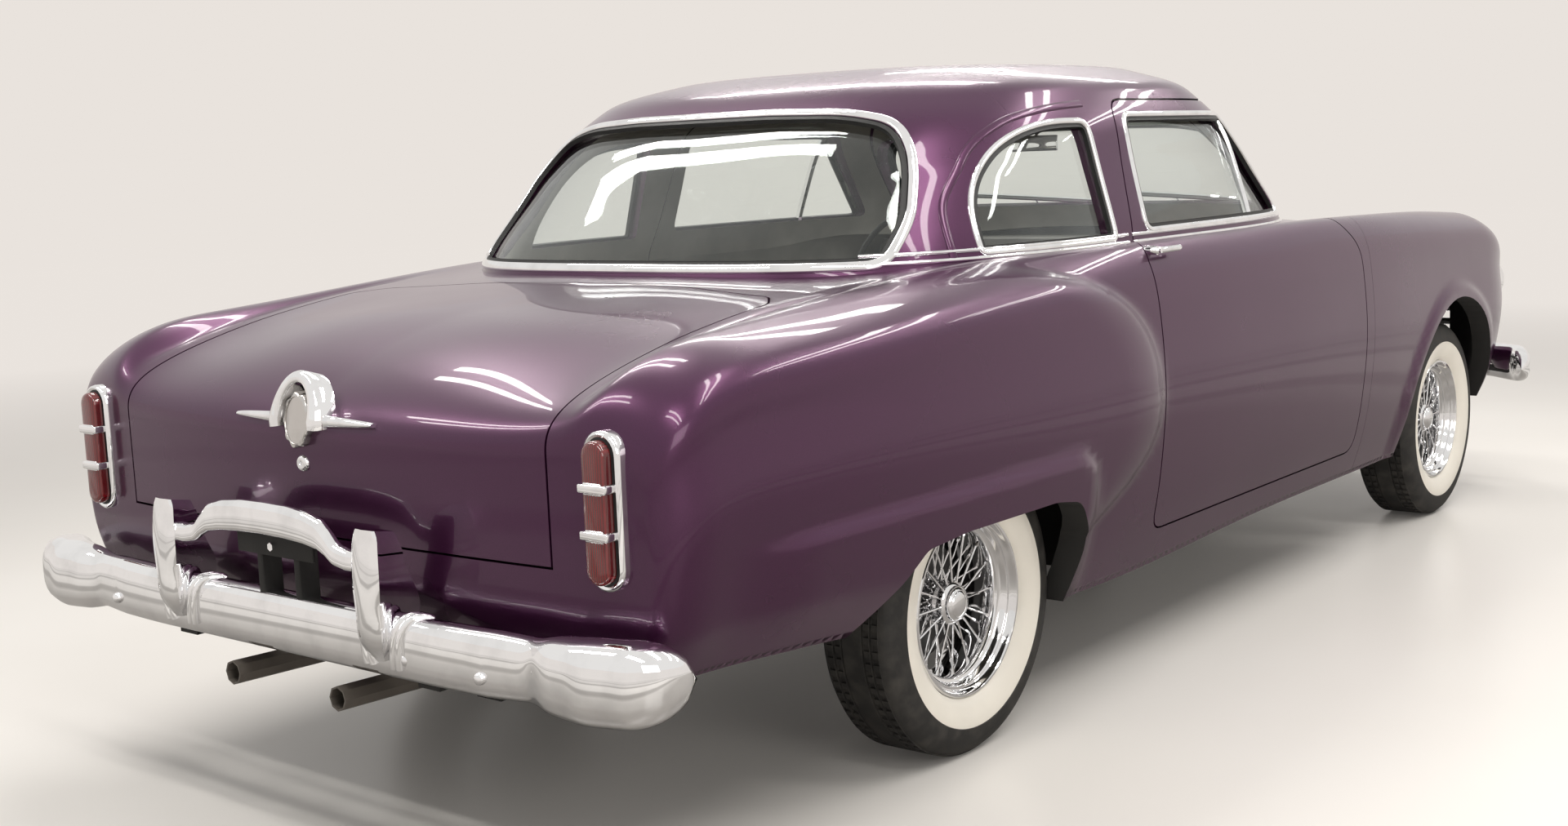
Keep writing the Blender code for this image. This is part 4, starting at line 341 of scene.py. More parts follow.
@dataclass(frozen=True)
class Clear(Finish):
    """Window glass."""

    def build(self) -> bpy.types.Material:
        """Build thin clear glass with a trace of dust.

        Returns:
            The material.
        """
        graph = Graph(self.name)
        dust = graph.noise(5.0, 5.0).ramp(0.5, 0.95)
        clear = graph.node("ShaderNodeBsdfTransparent", {}, {"Color": (*self.colour, 1.0)})
        graph.dress(Base_Color=(0.80, 0.83, 0.84, 1.0), Roughness=self.roughness, Metallic=1.0)
        facing = graph.node("ShaderNodeLayerWeight", {}, {"Blend": 0.5}, 1)
        share = (facing ** 3.0) * 0.48 + 0.04 + 0.03 * dust
        mixed = graph.node("ShaderNodeMixShader", {}, {0: share, 1: clear, 2: Term(graph, graph.shader.outputs[0])})
        graph.feed(graph.tree.nodes["Material Output"].inputs["Surface"], mixed)
        return graph.material


@dataclass(frozen=True)
class Cloth(Finish):
    """Woven upholstery and carpet."""

    threads: float = 900.0

    def build(self) -> bpy.types.Material:
        """Build crossed threads with a soft nap.

        Returns:
            The material.
        """
        graph = Graph(self.name)
        along, over = (graph.node("ShaderNodeTexWave", {"bands_direction": way},
                                  {"Vector": graph.place(), "Scale": self.threads / 6.3}) for way in "YX")
        weave = along * over
        worn = graph.noise(7.0, 4.0).ramp(0.3, 0.75)
        tone = graph.blend(worn, tuple(0.7 * c for c in self.colour), (*self.colour,))
        return graph.dress(Base_Color=tone, Roughness=self.roughness, Normal=graph.bump(weave, 0.3, 0.0005))


@dataclass(frozen=True)
class Lens(Finish):
    """Moulded lamp lens."""

    def build(self) -> bpy.types.Material:
        """Build glossy tinted plastic with fine moulded flutes, whose grooves carry painted shade.

        Returns:
            The material.
        """
        graph = Graph(self.name)
        flutes = graph.node("ShaderNodeTexWave", {"bands_direction": "X"}, {"Vector": graph.place(), "Scale": 60.0})
        # Painted shade: the tint darkens to 0.45 where the flute wave runs low, in the grooves of the bump.
        tone = graph.blend(flutes, tuple(0.45 * c for c in self.colour), (*self.colour,))
        return graph.dress(
            Base_Color=tone, Roughness=self.roughness, Coat_Weight=1.0, Coat_Roughness=0.02,
            Normal=graph.bump(flutes, 0.25, 0.0008),
        )


@dataclass(frozen=True)
class Tyre(Finish):
    """Tread and side rubber."""

    def build(self) -> bpy.types.Material:
        """Build dull rubber with fine scuffs and a dusty tone.

        Returns:
            The material.
        """
        graph = Graph(self.name)
        dust = graph.noise(26.0, 5.0).ramp(0.4, 0.8)
        pits = graph.noise(420.0, 2.0)
        tone = graph.blend(dust, (*self.colour,), (0.055, 0.05, 0.044))
        return graph.dress(Base_Color=tone, Roughness=self.roughness + 0.15 * dust,
                           Normal=graph.bump(pits, 0.3, 0.0006))


PAINT = Paint("purple_paint", (0.026, 0.0036, 0.021), 0.27)
CHROME = Chrome("bright_chrome", (0.92, 0.92, 0.93), 0.015)
GLASS = Clear("window_glass", (0.965, 0.98, 0.97), 0.02)
HEADLINER = Cloth("grey_headliner", (0.55, 0.52, 0.48), 0.92, threads=700.0)
UPHOLSTERY = Cloth("grey_upholstery", (0.20, 0.185, 0.17), 0.88, threads=900.0)
SHELF = Cloth("parcel_shelf", (0.60, 0.56, 0.50), 0.9, threads=600.0)
CARPET = Cloth("grey_carpet", (0.09, 0.085, 0.08), 0.95, threads=500.0)
RUBBER = Tyre("tyre_rubber", (0.018, 0.017, 0.016), 0.62)
WHITEWALL = Finish("whitewall", (0.88, 0.84, 0.76), 0.42, 0.05)
SEAL = Finish("black_seal", (0.012, 0.012, 0.012), 0.55)
STEEL = Finish("dark_steel", (0.055, 0.053, 0.052), 0.5)
UNDERCOAT = Finish("undercoat", (0.022, 0.021, 0.020), 0.7)
IRON = Finish("engine_iron", (0.10, 0.10, 0.095), 0.55)
EXHAUST = Finish("exhaust_steel", (0.12, 0.105, 0.09), 0.45)
RED = Lens("red_lens", (0.19, 0.002, 0.004), 0.08)
GREY_PAINT = Finish("grey_inner_paint", (0.17, 0.16, 0.15), 0.45)
BLACK_TRIM = Finish("black_trim", (0.016, 0.016, 0.016), 0.4)
DIAL = Finish("dial_face", (0.55, 0.53, 0.46), 0.5)
WHEEL_CHROME = Chrome("wheel_chrome", (0.84, 0.84, 0.85), 0.06)
LAMP_GLASS = Lens("lamp_glass", (0.78, 0.78, 0.75), 0.06)
MEDAL = Chrome("medallion", (0.62, 0.60, 0.58), 0.16)


def linked(name: str, data: bpy.types.ID | None) -> bpy.types.Object:
    """A new object in the scene's collection."""
    thing = bpy.data.objects.new(name, data)
    bpy.context.scene.collection.objects.link(thing)
    return thing


def frozen_mesh(name: str, bm: bmesh.types.BMesh) -> bpy.types.Mesh:
    """Turn a mesh into a datablock and free it.

    Args:
        name: The datablock's name.
        bm: The mesh.

    Returns:
        The datablock.
    """
    mesh = bpy.data.meshes.new(name)
    bm.to_mesh(mesh)
    bm.free()
    return mesh


def aimed(bm: bmesh.types.BMesh, degrees: float, place: Sequence[float]) -> bmesh.types.BMesh:
    """Turn a mesh about the upright axis and then move it.

    Args:
        bm: The mesh.
        degrees: The turn.
        place: Where its origin goes.

    Returns:
        The same mesh.
    """
    bmesh.ops.rotate(bm, cent=(0, 0, 0), matrix=Matrix.Rotation(math.radians(degrees), 3, "Z"), verts=bm.verts)
    bmesh.ops.translate(bm, vec=place, verts=bm.verts)
    return bm


def compass(steps: int) -> list[Flat]:
    """Cosine and sine at even steps round the circle."""
    return [(math.cos(a), math.sin(a)) for a in np.linspace(0.0, 2 * math.pi, steps, endpoint=False)]


def laid(points: np.ndarray, capped: bool = False, weld: float = 1e-5) -> bmesh.types.BMesh:
    """Lay a grid over rows of points and weld what meets.

    Args:
        points: Places with the shape (rows, columns, 3).
        capped: Fill what stays open.
        weld: Distance within which corners become one.

    Returns:
        The mesh with its faces pointing outwards.
    """
    rows, columns = points.shape[:2]
    bm = bmesh.new()
    bmesh.ops.create_grid(bm, x_segments=columns - 1, y_segments=rows - 1, size=1.0)
    for vert in bm.verts:
        column = round((vert.co.x + 1.0) / 2.0 * (columns - 1))
        row = round((vert.co.y + 1.0) / 2.0 * (rows - 1))
        vert.co = points[row, column]
    bmesh.ops.remove_doubles(bm, verts=bm.verts, dist=weld)
    if capped:
        bmesh.ops.holes_fill(bm, edges=[edge for edge in bm.edges if edge.is_boundary], sides=0)
    bmesh.ops.recalc_face_normals(bm, faces=bm.faces)
    return bm


def turned(profile: Sequence[Flat], steps: int) -> bmesh.types.BMesh:
    """Spin a profile about the x axis, on which a wheel turns.

    Args:
        profile: Pairs of radius and x; a closed shape repeats its first pair.
        steps: Facets round the axis.

    Returns:
        The turned mesh.
    """
    bm = bmesh.new()
    verts = [bm.verts.new((x, 0.0, radius)) for radius, x in profile]
    edges = [bm.edges.new(pair) for pair in zip(verts, verts[1:])]
    bmesh.ops.spin(bm, geom=verts + edges, cent=(0, 0, 0), axis=(1, 0, 0), dvec=(0, 0, 0),
                   angle=2 * math.pi, steps=steps, use_merge=True)
    bmesh.ops.remove_doubles(bm, verts=bm.verts, dist=1e-5)
    bmesh.ops.recalc_face_normals(bm, faces=bm.faces)
    return bm


def swept(path: np.ndarray, outward: np.ndarray, profile: Sequence[Flat], closed: bool) -> bmesh.types.BMesh:
    """Carry a closed profile along a path.

    Args:
        path: Places along the path, shape (count, 3).
        outward: Direction of the profile's second value at each place.
        profile: Pairs of distance across and distance outwards.
        closed: The path ends where it starts.

    Returns:
        The swept bar.
    """
    if closed:
        ahead = np.roll(path, -1, axis=0) - np.roll(path, 1, axis=0)
    else:
        ahead = np.gradient(path, axis=0)
    ahead = ahead / np.linalg.norm(ahead, axis=1, keepdims=True)
    across = np.cross(ahead, outward)
    across = across / np.linalg.norm(across, axis=1, keepdims=True)
    out = np.cross(across, ahead)
    ring = list(profile) + [profile[0]]
    rows = np.stack([path + across * a + out * b for a, b in ring], axis=1)
    if closed:
        rows = np.concatenate([rows, rows[:1]])
    return laid(rows, capped=not closed)


def merged(parts: Iterable[bmesh.types.BMesh]) -> bmesh.types.BMesh:
    """Put several meshes into one and free them.

    Args:
        parts: The meshes.

    Returns:
        One mesh with all of them.
    """
    whole = bmesh.new()
    for part in parts:
        mesh = frozen_mesh("part", part)
        whole.from_mesh(mesh)
        bpy.data.meshes.remove(mesh)
    return whole


def painted(bm: bmesh.types.BMesh, index: int) -> bmesh.types.BMesh:
    """Give every face of a mesh one material number.

    Args:
        bm: The mesh.
        index: Number among the piece's finishes.

    Returns:
        The same mesh.
    """
    for face in bm.faces:
        face.material_index = index
    return bm


def piece(name: str, bm: bmesh.types.BMesh, body: Body | str, finishes: Sequence[Finish],
          nodes: Sequence[str] = (), angle: float = 38.0, normals: np.ndarray | None = None) -> bpy.types.Object:
    """Make an object of a mesh and hand it to the frame.

    Args:
        name: The piece's name.
        bm: Its mesh, freed here.
        body: The body that it rides on.
        finishes: Its finishes in the order of its faces' numbers.
        nodes: The nodes that it stands for.
        angle: Angle in degrees past which an edge stays sharp.
        normals: A normal for each face corner, if the surface gives them.

    Returns:
        The new object.
    """
    mesh = frozen_mesh(name, bm)
    thing = linked(name, mesh)
    for finish in finishes:
        mesh.materials.append(finish.material())
    mesh.shade_smooth()
    if normals is None:
        mesh.set_sharp_from_angle(angle=math.radians(angle))
    else:
        mesh.normals_split_custom_set(normals)
    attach(thing, body.value if isinstance(body, Body) else body)
    if nodes:
        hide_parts(*nodes)
    LOG.info("%s: %d faces", name, len(mesh.polygons))
    return thing


def fitted(node: str, bm: bmesh.types.BMesh, body: Body | str, finishes: Sequence[Finish],
           angle: float = 50.0) -> bpy.types.Object:
    """Make the piece that stands for one node and is named after it."""
    return piece(node + "_fitted", bm, body, finishes, (node,), angle)


def spline(knots: Sequence[float], values: np.ndarray, at: np.ndarray) -> np.ndarray:
    """Read a natural cubic spline.

    Args:
        knots: Rising places of the values.
        values: Values with one row to a knot.
        at: Places to read.

    Returns:
        One row of values to a place.
    """
    knots = np.asarray(knots, float)
    values = np.asarray(values, float)
    values = values[:, None] if values.ndim == 1 else values
    step = np.diff(knots)
    slope = np.diff(values, axis=0) / step[:, None]
    system = np.eye(len(knots))
    right = np.zeros_like(values)
    for i in range(1, len(knots) - 1):
        system[i, i - 1:i + 2] = step[i - 1], 2 * (step[i - 1] + step[i]), step[i]
        right[i] = 6 * (slope[i] - slope[i - 1])
    bend = np.linalg.solve(system, right)
    at = np.clip(np.atleast_1d(np.asarray(at, float)), knots[0], knots[-1])
    k = np.clip(np.searchsorted(knots, at) - 1, 0, len(knots) - 2)
    h = step[k][:, None]
    a = (knots[k + 1] - at)[:, None] / h
    b = (at - knots[k])[:, None] / h
    curve = a * values[k] + b * values[k + 1]
    return curve + ((a ** 3 - a) * bend[k] + (b ** 3 - b) * bend[k + 1]) * h ** 2 / 6


def eased(share: np.ndarray | float) -> np.ndarray:
    """Smooth step of a share held between nought and one."""
    held = np.clip(share, 0.0, 1.0)
    return held * held * (3.0 - 2.0 * held)


def rounded(outline: Sequence[Flat], radius: float | Sequence[float], steps: int = 5) -> list[Flat]:
    """Round the corners of a closed outline.

    Args:
        outline: Corners in order.
        radius: One radius, or one to a corner.
        steps: Chords to a corner.

    Returns:
        The rounded outline.
    """
    count = len(outline)
    radii = [radius] * count if isinstance(radius, (int, float)) else list(radius)
    out: list[Flat] = []
    for i, corner in enumerate(outline):
        here = Vector(corner)
        back = Vector(outline[i - 1]) - here
        on = Vector(outline[(i + 1) % count]) - here
        half = back.angle(on) / 2
        reach = min(radii[i] / math.tan(half), 0.48 * back.length, 0.48 * on.length)
        if radii[i] <= 0.0 or half > 1.54:
            out.append(tuple(here))
            continue
        start = here + back.normalized() * reach
        stop = here + on.normalized() * reach
        for k in range(steps + 1):
            t = k / steps
            out.append(tuple(start * (1 - t) ** 2 + here * 2 * t * (1 - t) + stop * t * t))
    return out


def dense(outline: Sequence[Flat], step: float, closed: bool = True) -> np.ndarray:
    """Walk an outline in even steps.

    Args:
        outline: Corners in order.
        step: Longest step.
        closed: Also walk from the last corner to the first.

    Returns:
        The places, shape (count, 2).
    """
    ends = list(outline) + ([outline[0]] if closed else [])
    places = []
    for one, two in zip(ends, ends[1:]):
        count = max(1, math.ceil(math.dist(one, two) / step))
        places += [(one[0] + (two[0] - one[0]) * i / count, one[1] + (two[1] - one[1]) * i / count)
                   for i in range(count)]
    if not closed:
        places.append(ends[-1])
    return np.array(places)


def grown(outline: Sequence[Flat], amount: float) -> list[Flat]:
    """Offset a closed outline outwards.

    Args:
        outline: Corners in order.
        amount: Distance, inwards if negative.

    Returns:
        The offset outline.
    """
    points = [Vector(p) for p in outline]
    count = len(points)
    area = sum(points[i].cross(points[(i + 1) % count]) for i in range(count))
    sign = 1.0 if area > 0 else -1.0
    out = []
    for i in range(count):
        before = points[i] - points[i - 1]
        after = points[(i + 1) % count] - points[i]
        one = Vector((before.y, -before.x)).normalized() * sign
        two = Vector((after.y, -after.x)).normalized() * sign
        middle = (one + two).normalized()
        out.append(tuple(points[i] + middle * amount / max(middle.dot(one), 0.5)))
    return out


def round_bar(radius: float, sides: int = 8, flat: float = 1.0) -> list[Flat]:
    """Profile of a round bar, pressed outwards by flat.

    Args:
        radius: Half of its width.
        sides: Facets.
        flat: Height as a share of the width.

    Returns:
        Pairs of across and outwards.
    """
    return [(radius * c, flat * radius * s) for c, s in compass(sides)]


@dataclass(frozen=True)
class Wall:
    """How far a surface lies inside the outer skin."""

    side: float = 0.0
    top: float = 0.0
    end: float = 0.0
    skirt: float = 0.0


@dataclass(frozen=True)
class BodyForm:
    """The sheet metal as sections along the car and rings round the cabin."""

    nose_y: float = -2.450
    tail_y: float = 2.455
    half: float = 0.958
    belt_z: float = 1.130
    roof_z: float = 1.605
    sill_z: float = 0.290
    tail_bow: float = 0.055
    nose_bow: float = 0.090
    end_run: float = 0.420
    tail_turn: Flat = (0.062, 0.120)
    nose_turn: Flat = (0.170, 0.380)
    fender_drop: Flat = (0.175, 0.300)
    deck_drop: float = 0.145
    nose_drop: float = 0.230
    tuck: float = 0.055
    tuck_z: float = 0.600
    bulge: float = 0.040
    bulge_front: float = 0.560
    bulge_run: float = 0.300
    flare: float = 0.018
    rear_lip: tuple = (0.985, 0.672, 0.110)
    front_lip: tuple = (-1.690, 0.345, 0.535, 0.505)
    flute: float = 0.009
    green_base_z: float = 1.060
    green_half: float = 0.868
    green_rear_y: float = 1.595
    green_front_y: float = -0.900
    green_mid_y: float = 0.230
    plan: tuple = ((0.0, 0.945), (0.07, 0.958), (0.15, 0.968), (0.25, 0.982), (0.34, 0.988), (0.5, 0.990),
                   (0.62, 0.990), (0.75, 0.990), (0.87, 0.987), (0.94, 0.980), (1.0, 0.972))
    crown_z: tuple = ((0.0, 0.925), (0.07, 0.943), (0.15, 0.962), (0.25, 0.975), (0.34, 0.980), (0.5, 0.982),
                      (0.62, 0.982), (0.72, 0.975), (0.81, 0.960), (0.87, 0.942), (0.94, 0.925), (1.0, 0.908))
    crown_x: tuple = ((0.0, 0.86), (0.15, 0.87), (0.34, 0.92), (0.5, 0.925), (0.62, 0.925), (0.75, 0.90),
                      (0.87, 0.885), (1.0, 0.875))
    valley_x: tuple = ((0.0, 0.66), (0.15, 0.67), (0.34, 0.76), (0.5, 0.78), (0.62, 0.78), (0.75, 0.745),
                       (0.87, 0.735), (1.0, 0.735))
    valley_z: tuple = ((0.0, 0.872), (0.07, 0.895), (0.15, 0.920), (0.25, 0.950), (0.34, 0.975), (0.5, 0.985),
                       (0.62, 0.985), (0.75, 0.985), (0.82, 0.965), (0.87, 0.948), (0.94, 0.902), (1.0, 0.850))
    deck_z: tuple = ((0.0, 0.885), (0.07, 0.915), (0.15, 0.945), (0.25, 0.975), (0.34, 0.995), (0.5, 1.0),
                     (0.62, 1.0), (0.75, 0.995), (0.82, 0.975), (0.87, 0.955), (0.94, 0.922), (1.0, 0.875))
    low_z: tuple = ((0.0, 1.45), (0.07, 1.25), (0.15, 1.06), (0.25, 1.0), (0.5, 1.0), (0.75, 1.05),
                    (0.87, 1.36), (0.94, 1.46), (1.0, 1.50))
    side: tuple = ((0.918, 0.0), (0.955, 0.14), (0.988, 0.36), (1.0, 0.56), (0.988, 0.78), (0.962, 0.93))
    knots: tuple = (0.0, 0.075, 0.20, 0.31, 0.43, 0.53, 0.60, 0.73, 0.86, 1.0)
    bulge_edge: tuple = ((0.33, 0.30), (0.33, 0.40), (0.14, 0.48), (0.02, 0.57), (0.0, 0.67), (0.04, 0.78),
                         (0.15, 0.87), (0.42, 0.95), (0.75, 1.0))
    rings: tuple = ((0.00, 1.000, 1.000, 1.000), (0.14, 0.980, 0.975, 0.960), (0.35, 0.945, 0.900, 0.850),
                    (0.55, 0.913, 0.825, 0.735), (0.72, 0.880, 0.755, 0.630), (0.81, 0.845, 0.705, 0.560),
                    (0.885, 0.790, 0.640, 0.480), (0.94, 0.690, 0.540, 0.385), (0.98, 0.500, 0.370, 0.260),
                    (1.00, 0.220, 0.160, 0.110))

    def along(self, table: Sequence[Flat], share: float) -> float:
        """Read a profile table at a share of the length."""
        rows = np.asarray(table)
        return float(spline(rows[:, 0], rows[:, 1], share)[0, 0])

    @staticmethod
    def end_round(distance: float, run: float, power: float = 2.4) -> float:
        """Read a rounded end, one past it and nought at the end itself.

        Args:
            distance: Distance from the end.
            run: Length of the rounding.
            power: How square it is.

        Returns:
            The share.
        """
        if distance >= run:
            return 1.0
        inner = 1.0 - max(distance, 0.0) / run
        return (1.0 - inner ** power) ** (1.0 / power)

    def bulge_at(self, y: float, z: np.ndarray) -> np.ndarray:
        """Find how far the rear fender stands out of the side.

        Args:
            y: Place along the car.
            z: Heights.

        Returns:
            One distance to a height.
        """
        edge = np.asarray(self.bulge_edge)
        front = self.bulge_front + spline(edge[1:, 1] * self.belt_z, edge[1:, 0], z)[:, 0]
        way = np.clip((y - front) / self.bulge_run, 0.0, 1.0)
        return self.bulge * (1.0 - (1.0 - way) ** 2.4) * eased(way / 0.34)

    def flare_at(self, y: float, z: np.ndarray) -> np.ndarray:
        """Find how far the lips round the wheel openings stand out.

        Args:
            y: Place along the car.
            z: Heights.

        Returns:
            One distance to a height.
        """
        edge, head, corner = self.rear_lip
        centre_y, centre_z, half_y, half_z = self.front_lip
        behind, below = y - edge, head - z
        inside = np.where((behind < corner) & (below < corner),
                          corner - np.hypot(corner - min(behind, corner), corner - np.minimum(below, corner)),
                          np.minimum(behind, below))
        rear = eased(inside / 0.030) * (1.0 - eased((y - 2.05) / 0.25))
        reach = np.hypot((y - centre_y) / half_y, (z - centre_z) / half_z)
        return self.flare * (rear + 0.8 * eased((1.0 - reach) / 0.07))

    def bow_at(self, x: np.ndarray, z: np.ndarray, back: float, front: float) -> np.ndarray:
        """Find how far tail or nose bow outwards, and tuck in below the bumpers.

        Args:
            x: Places across the car.
            z: Heights.
            back: Distance from the tail.
            front: Distance from the nose.

        Returns:
            One shift along the car to a place.
        """
        share = np.maximum(1.0 - (x / self.half) ** 2, 0.0)
        tail = min(max(1.0 - back / self.end_run, 0.0), 1.0)
        nose = min(max(1.0 - front / self.end_run, 0.0), 1.0)
        low = np.clip((self.tuck_z - z) / (self.tuck_z - 1.3 * self.sill_z), 0.0, 1.0)
        return (self.tail_bow * tail - self.nose_bow * nose) * share - self.tuck * low * low * (tail - nose)

    def section(self, y: float, rows: np.ndarray, wall: Wall) -> np.ndarray:
        """Half a section at y, from sill to centre line.

        Args:
            y: Place along the car.
            rows: Shares of the way round the half section.
            wall: How far inside the skin.

        Returns:
            Places with the shape (rows, 3).
        """
        nose, tail = self.nose_y + wall.end, self.tail_y - wall.end
        share = (y - self.nose_y) / (self.tail_y - self.nose_y)
        back, front = tail - y, y - nose
        half = self.half * self.along(self.plan, share) - wall.side
        (tail_in, tail_run), (nose_in, nose_run) = self.tail_turn, self.nose_turn
        half -= tail_in * (1.0 - self.end_round(back, tail_run)) + nose_in * (1.0 - self.end_round(front, nose_run))
        fender_fall = self.fender_drop[0] * (1.0 - self.end_round(back, self.fender_drop[1]))
        deck_fall = self.deck_drop * (1.0 - self.end_round(back, self.end_run, 2.0))
        nose_fall = self.nose_drop * (1.0 - self.end_round(front, self.end_run, 2.0))
        sill = self.sill_z * self.along(self.low_z, share)
        crown = self.belt_z * self.along(self.crown_z, share) - wall.top - fender_fall - nose_fall
        valley_x = half * self.along(self.valley_x, share)
        valley = self.belt_z * self.along(self.valley_z, share) - wall.top - 0.7 * deck_fall - nose_fall
        deck = self.belt_z * self.along(self.deck_z, share) - wall.top - deck_fall - nose_fall
        level = max(1.0 - self.end_round(back, self.end_run, 2.0), 1.0 - self.end_round(front, self.end_run, 2.0))
        valley += level * (0.5 * (crown + deck) - valley)
        points = [(half * x, sill + (crown - sill) * z) for x, z in self.side]
        points.append((half * self.along(self.crown_x, share), crown))
        points.append((valley_x, valley))
        points.append((0.5 * valley_x, deck - 0.22 * (deck - valley)))
        points.append((0.0, deck))
        curve = spline(self.knots, np.array(points), rows)
        x, z = curve[:, 0], curve[:, 1]
        out = (self.bulge_at(y, z) + self.flare_at(y, z)) * np.clip((x / half - 0.86) / 0.10, 0.0, 1.0)
        x = np.maximum(x + out, 0.0)
        crease = self.flute * eased((y - 1.45) / 0.35) * (1.0 - eased((y - 2.30) / 0.14))
        z = z - crease * np.exp(-((x - valley_x - 0.048) / 0.016) ** 2) * (z > 0.8)
        out = np.stack([x, y + self.bow_at(x, z, back, front), z], axis=1)
        out[0, 2] -= wall.skirt
        return out

    def stations(self, wall: Wall, count: int) -> np.ndarray:
        """Place the sections, closer together at the ends.

        Args:
            wall: How far inside the skin.
            count: Sections between the rounded ends.

        Returns:
            Places along the car.
        """
        nose, tail = self.nose_y + wall.end, self.tail_y - wall.end
        near = self.end_run * np.linspace(0.0, 1.0, 28) ** 2.2
        middle = np.linspace(nose + self.end_run, tail - self.end_run, count)[1:-1]
        return np.concatenate([nose + near, middle, (tail - near)[::-1]])

    def lower(self, wall: Wall, rows: int, count: int) -> bmesh.types.BMesh:
        """The lower body as one closed loft.

        Args:
            wall: How far inside the skin.
            rows: Rows in half a section.
            count: Sections between the rounded ends.

        Returns:
            The closed mesh.
        """
        nose, tail = self.nose_y + wall.end, self.tail_y - wall.end
        shares = np.linspace(0.0, 1.0, rows)
        halves = [self.section(y, shares, wall) for y in self.stations(wall, count)]

        def closing(half: np.ndarray, y: float, back: float, front: float) -> list[np.ndarray]:
            """Shrink an end section towards its middle, following the bow.

            Args:
                half: The section.
                y: Its place along the car.
                back: Its distance from the tail.
                front: Its distance from the nose.

            Returns:
                Ever smaller sections.
            """
            middle = (half[0, 2] + half[-1, 2]) / 2
            rings = []
            for share in (0.97, 0.90, 0.80, 0.65, 0.50, 0.35, 0.20, 0.08):
                x, z = half[:, 0] * share, middle + (half[:, 2] - middle) * share
                rings.append(np.stack([x, y + self.bow_at(x, z, back, front), z], axis=1))
            return rings

        halves = closing(halves[0], nose, tail - nose, 0.0)[::-1] + halves
        halves += closing(halves[-1], tail, 0.0, tail - nose)
        grid = np.stack([np.concatenate([h, (h * (-1, 1, 1))[-2::-1], h[:1]]) for h in halves])
        return laid(grid, capped=True)

    def ring(self, level: float, inset: float, count: int) -> np.ndarray:
        """Walk half a ring of the cabin, from the rear centre to the front centre.

        Args:
            level: Share of the way up.
            inset: How far inside the skin.
            count: Facets.

        Returns:
            Pairs of x and y.
        """
        table = np.asarray(self.rings)
        half, rear, front = spline(table[:, 0], table[:, 1:], np.array([level]))[0]
        loose = max(level - 0.5, 0.0) * 1.2
        angle = np.linspace(0.0, math.pi, count + 1)
        cosine, sine = np.cos(angle), np.sin(angle)
        width = max(self.green_half * half - inset, 0.02 * self.green_half)
        back = max((self.green_rear_y - self.green_mid_y) * rear - inset, 0.02 * self.green_half)
        ahead = max((self.green_mid_y - self.green_front_y) * front - inset, 0.02 * self.green_half)
        reach = np.where(cosine >= 0, back, ahead)
        power = np.where(cosine >= 0, 3.6 - 1.4 * loose, 3.4 - 1.2 * loose)
        x = width * np.abs(sine) ** (2.0 / power)
        x[0] = x[-1] = 0.0
        return np.stack([x, self.green_mid_y + np.sign(cosine) * reach * np.abs(cosine) ** (2.0 / power)], axis=1)

    def cabin(self, inset: float, drop: float, count: int, levels: int) -> bmesh.types.BMesh:
        """The cabin above the belt as one closed loft.

        Args:
            inset: How far inside the skin.
            drop: How far the base reaches down.
            count: Facets round half a ring.
            levels: Rings between belt and roof.

        Returns:
            The closed mesh.
        """
        top = self.roof_z - inset
        rings = []
        for level in 1.0 - np.linspace(1.0, 0.0, levels) ** 1.7:
            z = self.green_base_z + (top - self.green_base_z) * level if level > 0 else self.green_base_z - drop
            half = self.ring(level, inset, count)
            whole = np.concatenate([half, (half * (-1, 1))[-2::-1]])
            rings.append(np.column_stack([whole, np.full(len(whole), z)]))
        return laid(np.stack(rings), capped=True)


FORM = BodyForm()


def as_object(bm: bmesh.types.BMesh) -> bpy.types.Object:
    """A helper object for Booleans, with flat triangles."""
    bmesh.ops.triangulate(bm, faces=bm.faces)
    return linked("work", frozen_mesh("work", bm))


def discard(*things: bpy.types.Object) -> None:
    """Remove helper objects with their meshes."""
    for thing in things:
        bpy.data.meshes.remove(thing.data)


def carve(thing: bpy.types.Object, other: bpy.types.Object, operation: str) -> None:
    """Apply one Boolean to a helper object.

    Args:
        thing: The object to change.
        other: The other operand, kept.
        operation: UNION, DIFFERENCE or INTERSECT.
    """
    modifier = thing.modifiers.new("carve", "BOOLEAN")
    modifier.object = other
    modifier.operation = operation
    modifier.solver = "MANIFOLD"
    graph = bpy.context.evaluated_depsgraph_get()
    mesh = bpy.data.meshes.new_from_object(thing.evaluated_get(graph))
    thing.modifiers.clear()
    old = thing.data
    thing.data = mesh
    bpy.data.meshes.remove(old)


def common(thing: bpy.types.Object, cutter: bpy.types.Object) -> bmesh.types.BMesh:
    """Find what a helper object shares with a cutter.

    Args:
        thing: The object, kept.
        cutter: The cutter, discarded here.

    Returns:
        The shared part.
    """
    made = linked("work", thing.data.copy())
    carve(made, cutter, "INTERSECT")
    bm = bmesh.new()
    bm.from_mesh(made.data)
    discard(cutter, made)
    return bm


def plug(outline: Sequence[Flat], axis: str, low: float, high: float) -> bpy.types.Object:
    """Extrude a flat outline along an axis as a cutter.

    Args:
        outline: Pairs of y and z for X, x and z for Y, x and y for Z.
        axis: The axis to extrude along.
        low: Where it starts.
        high: Where it ends.

    Returns:
        The cutter.
    """
    bm = bmesh.new()
    at: dict[str, Callable[[float, float], tuple]] = {
        "X": lambda a, b: (low, a, b), "Y": lambda a, b: (a, low, b), "Z": lambda a, b: (a, b, low)}
    face = bm.faces.new([bm.verts.new(at[axis](a, b)) for a, b in outline])
    made = bmesh.ops.extrude_face_region(bm, geom=[face])["geom"]
    push = {"X": (high - low, 0, 0), "Y": (0, high - low, 0), "Z": (0, 0, high - low)}[axis]
    bmesh.ops.translate(bm, vec=push, verts=[g for g in made if isinstance(g, bmesh.types.BMVert)])
    bmesh.ops.recalc_face_normals(bm, faces=bm.faces)
    return as_object(bm)


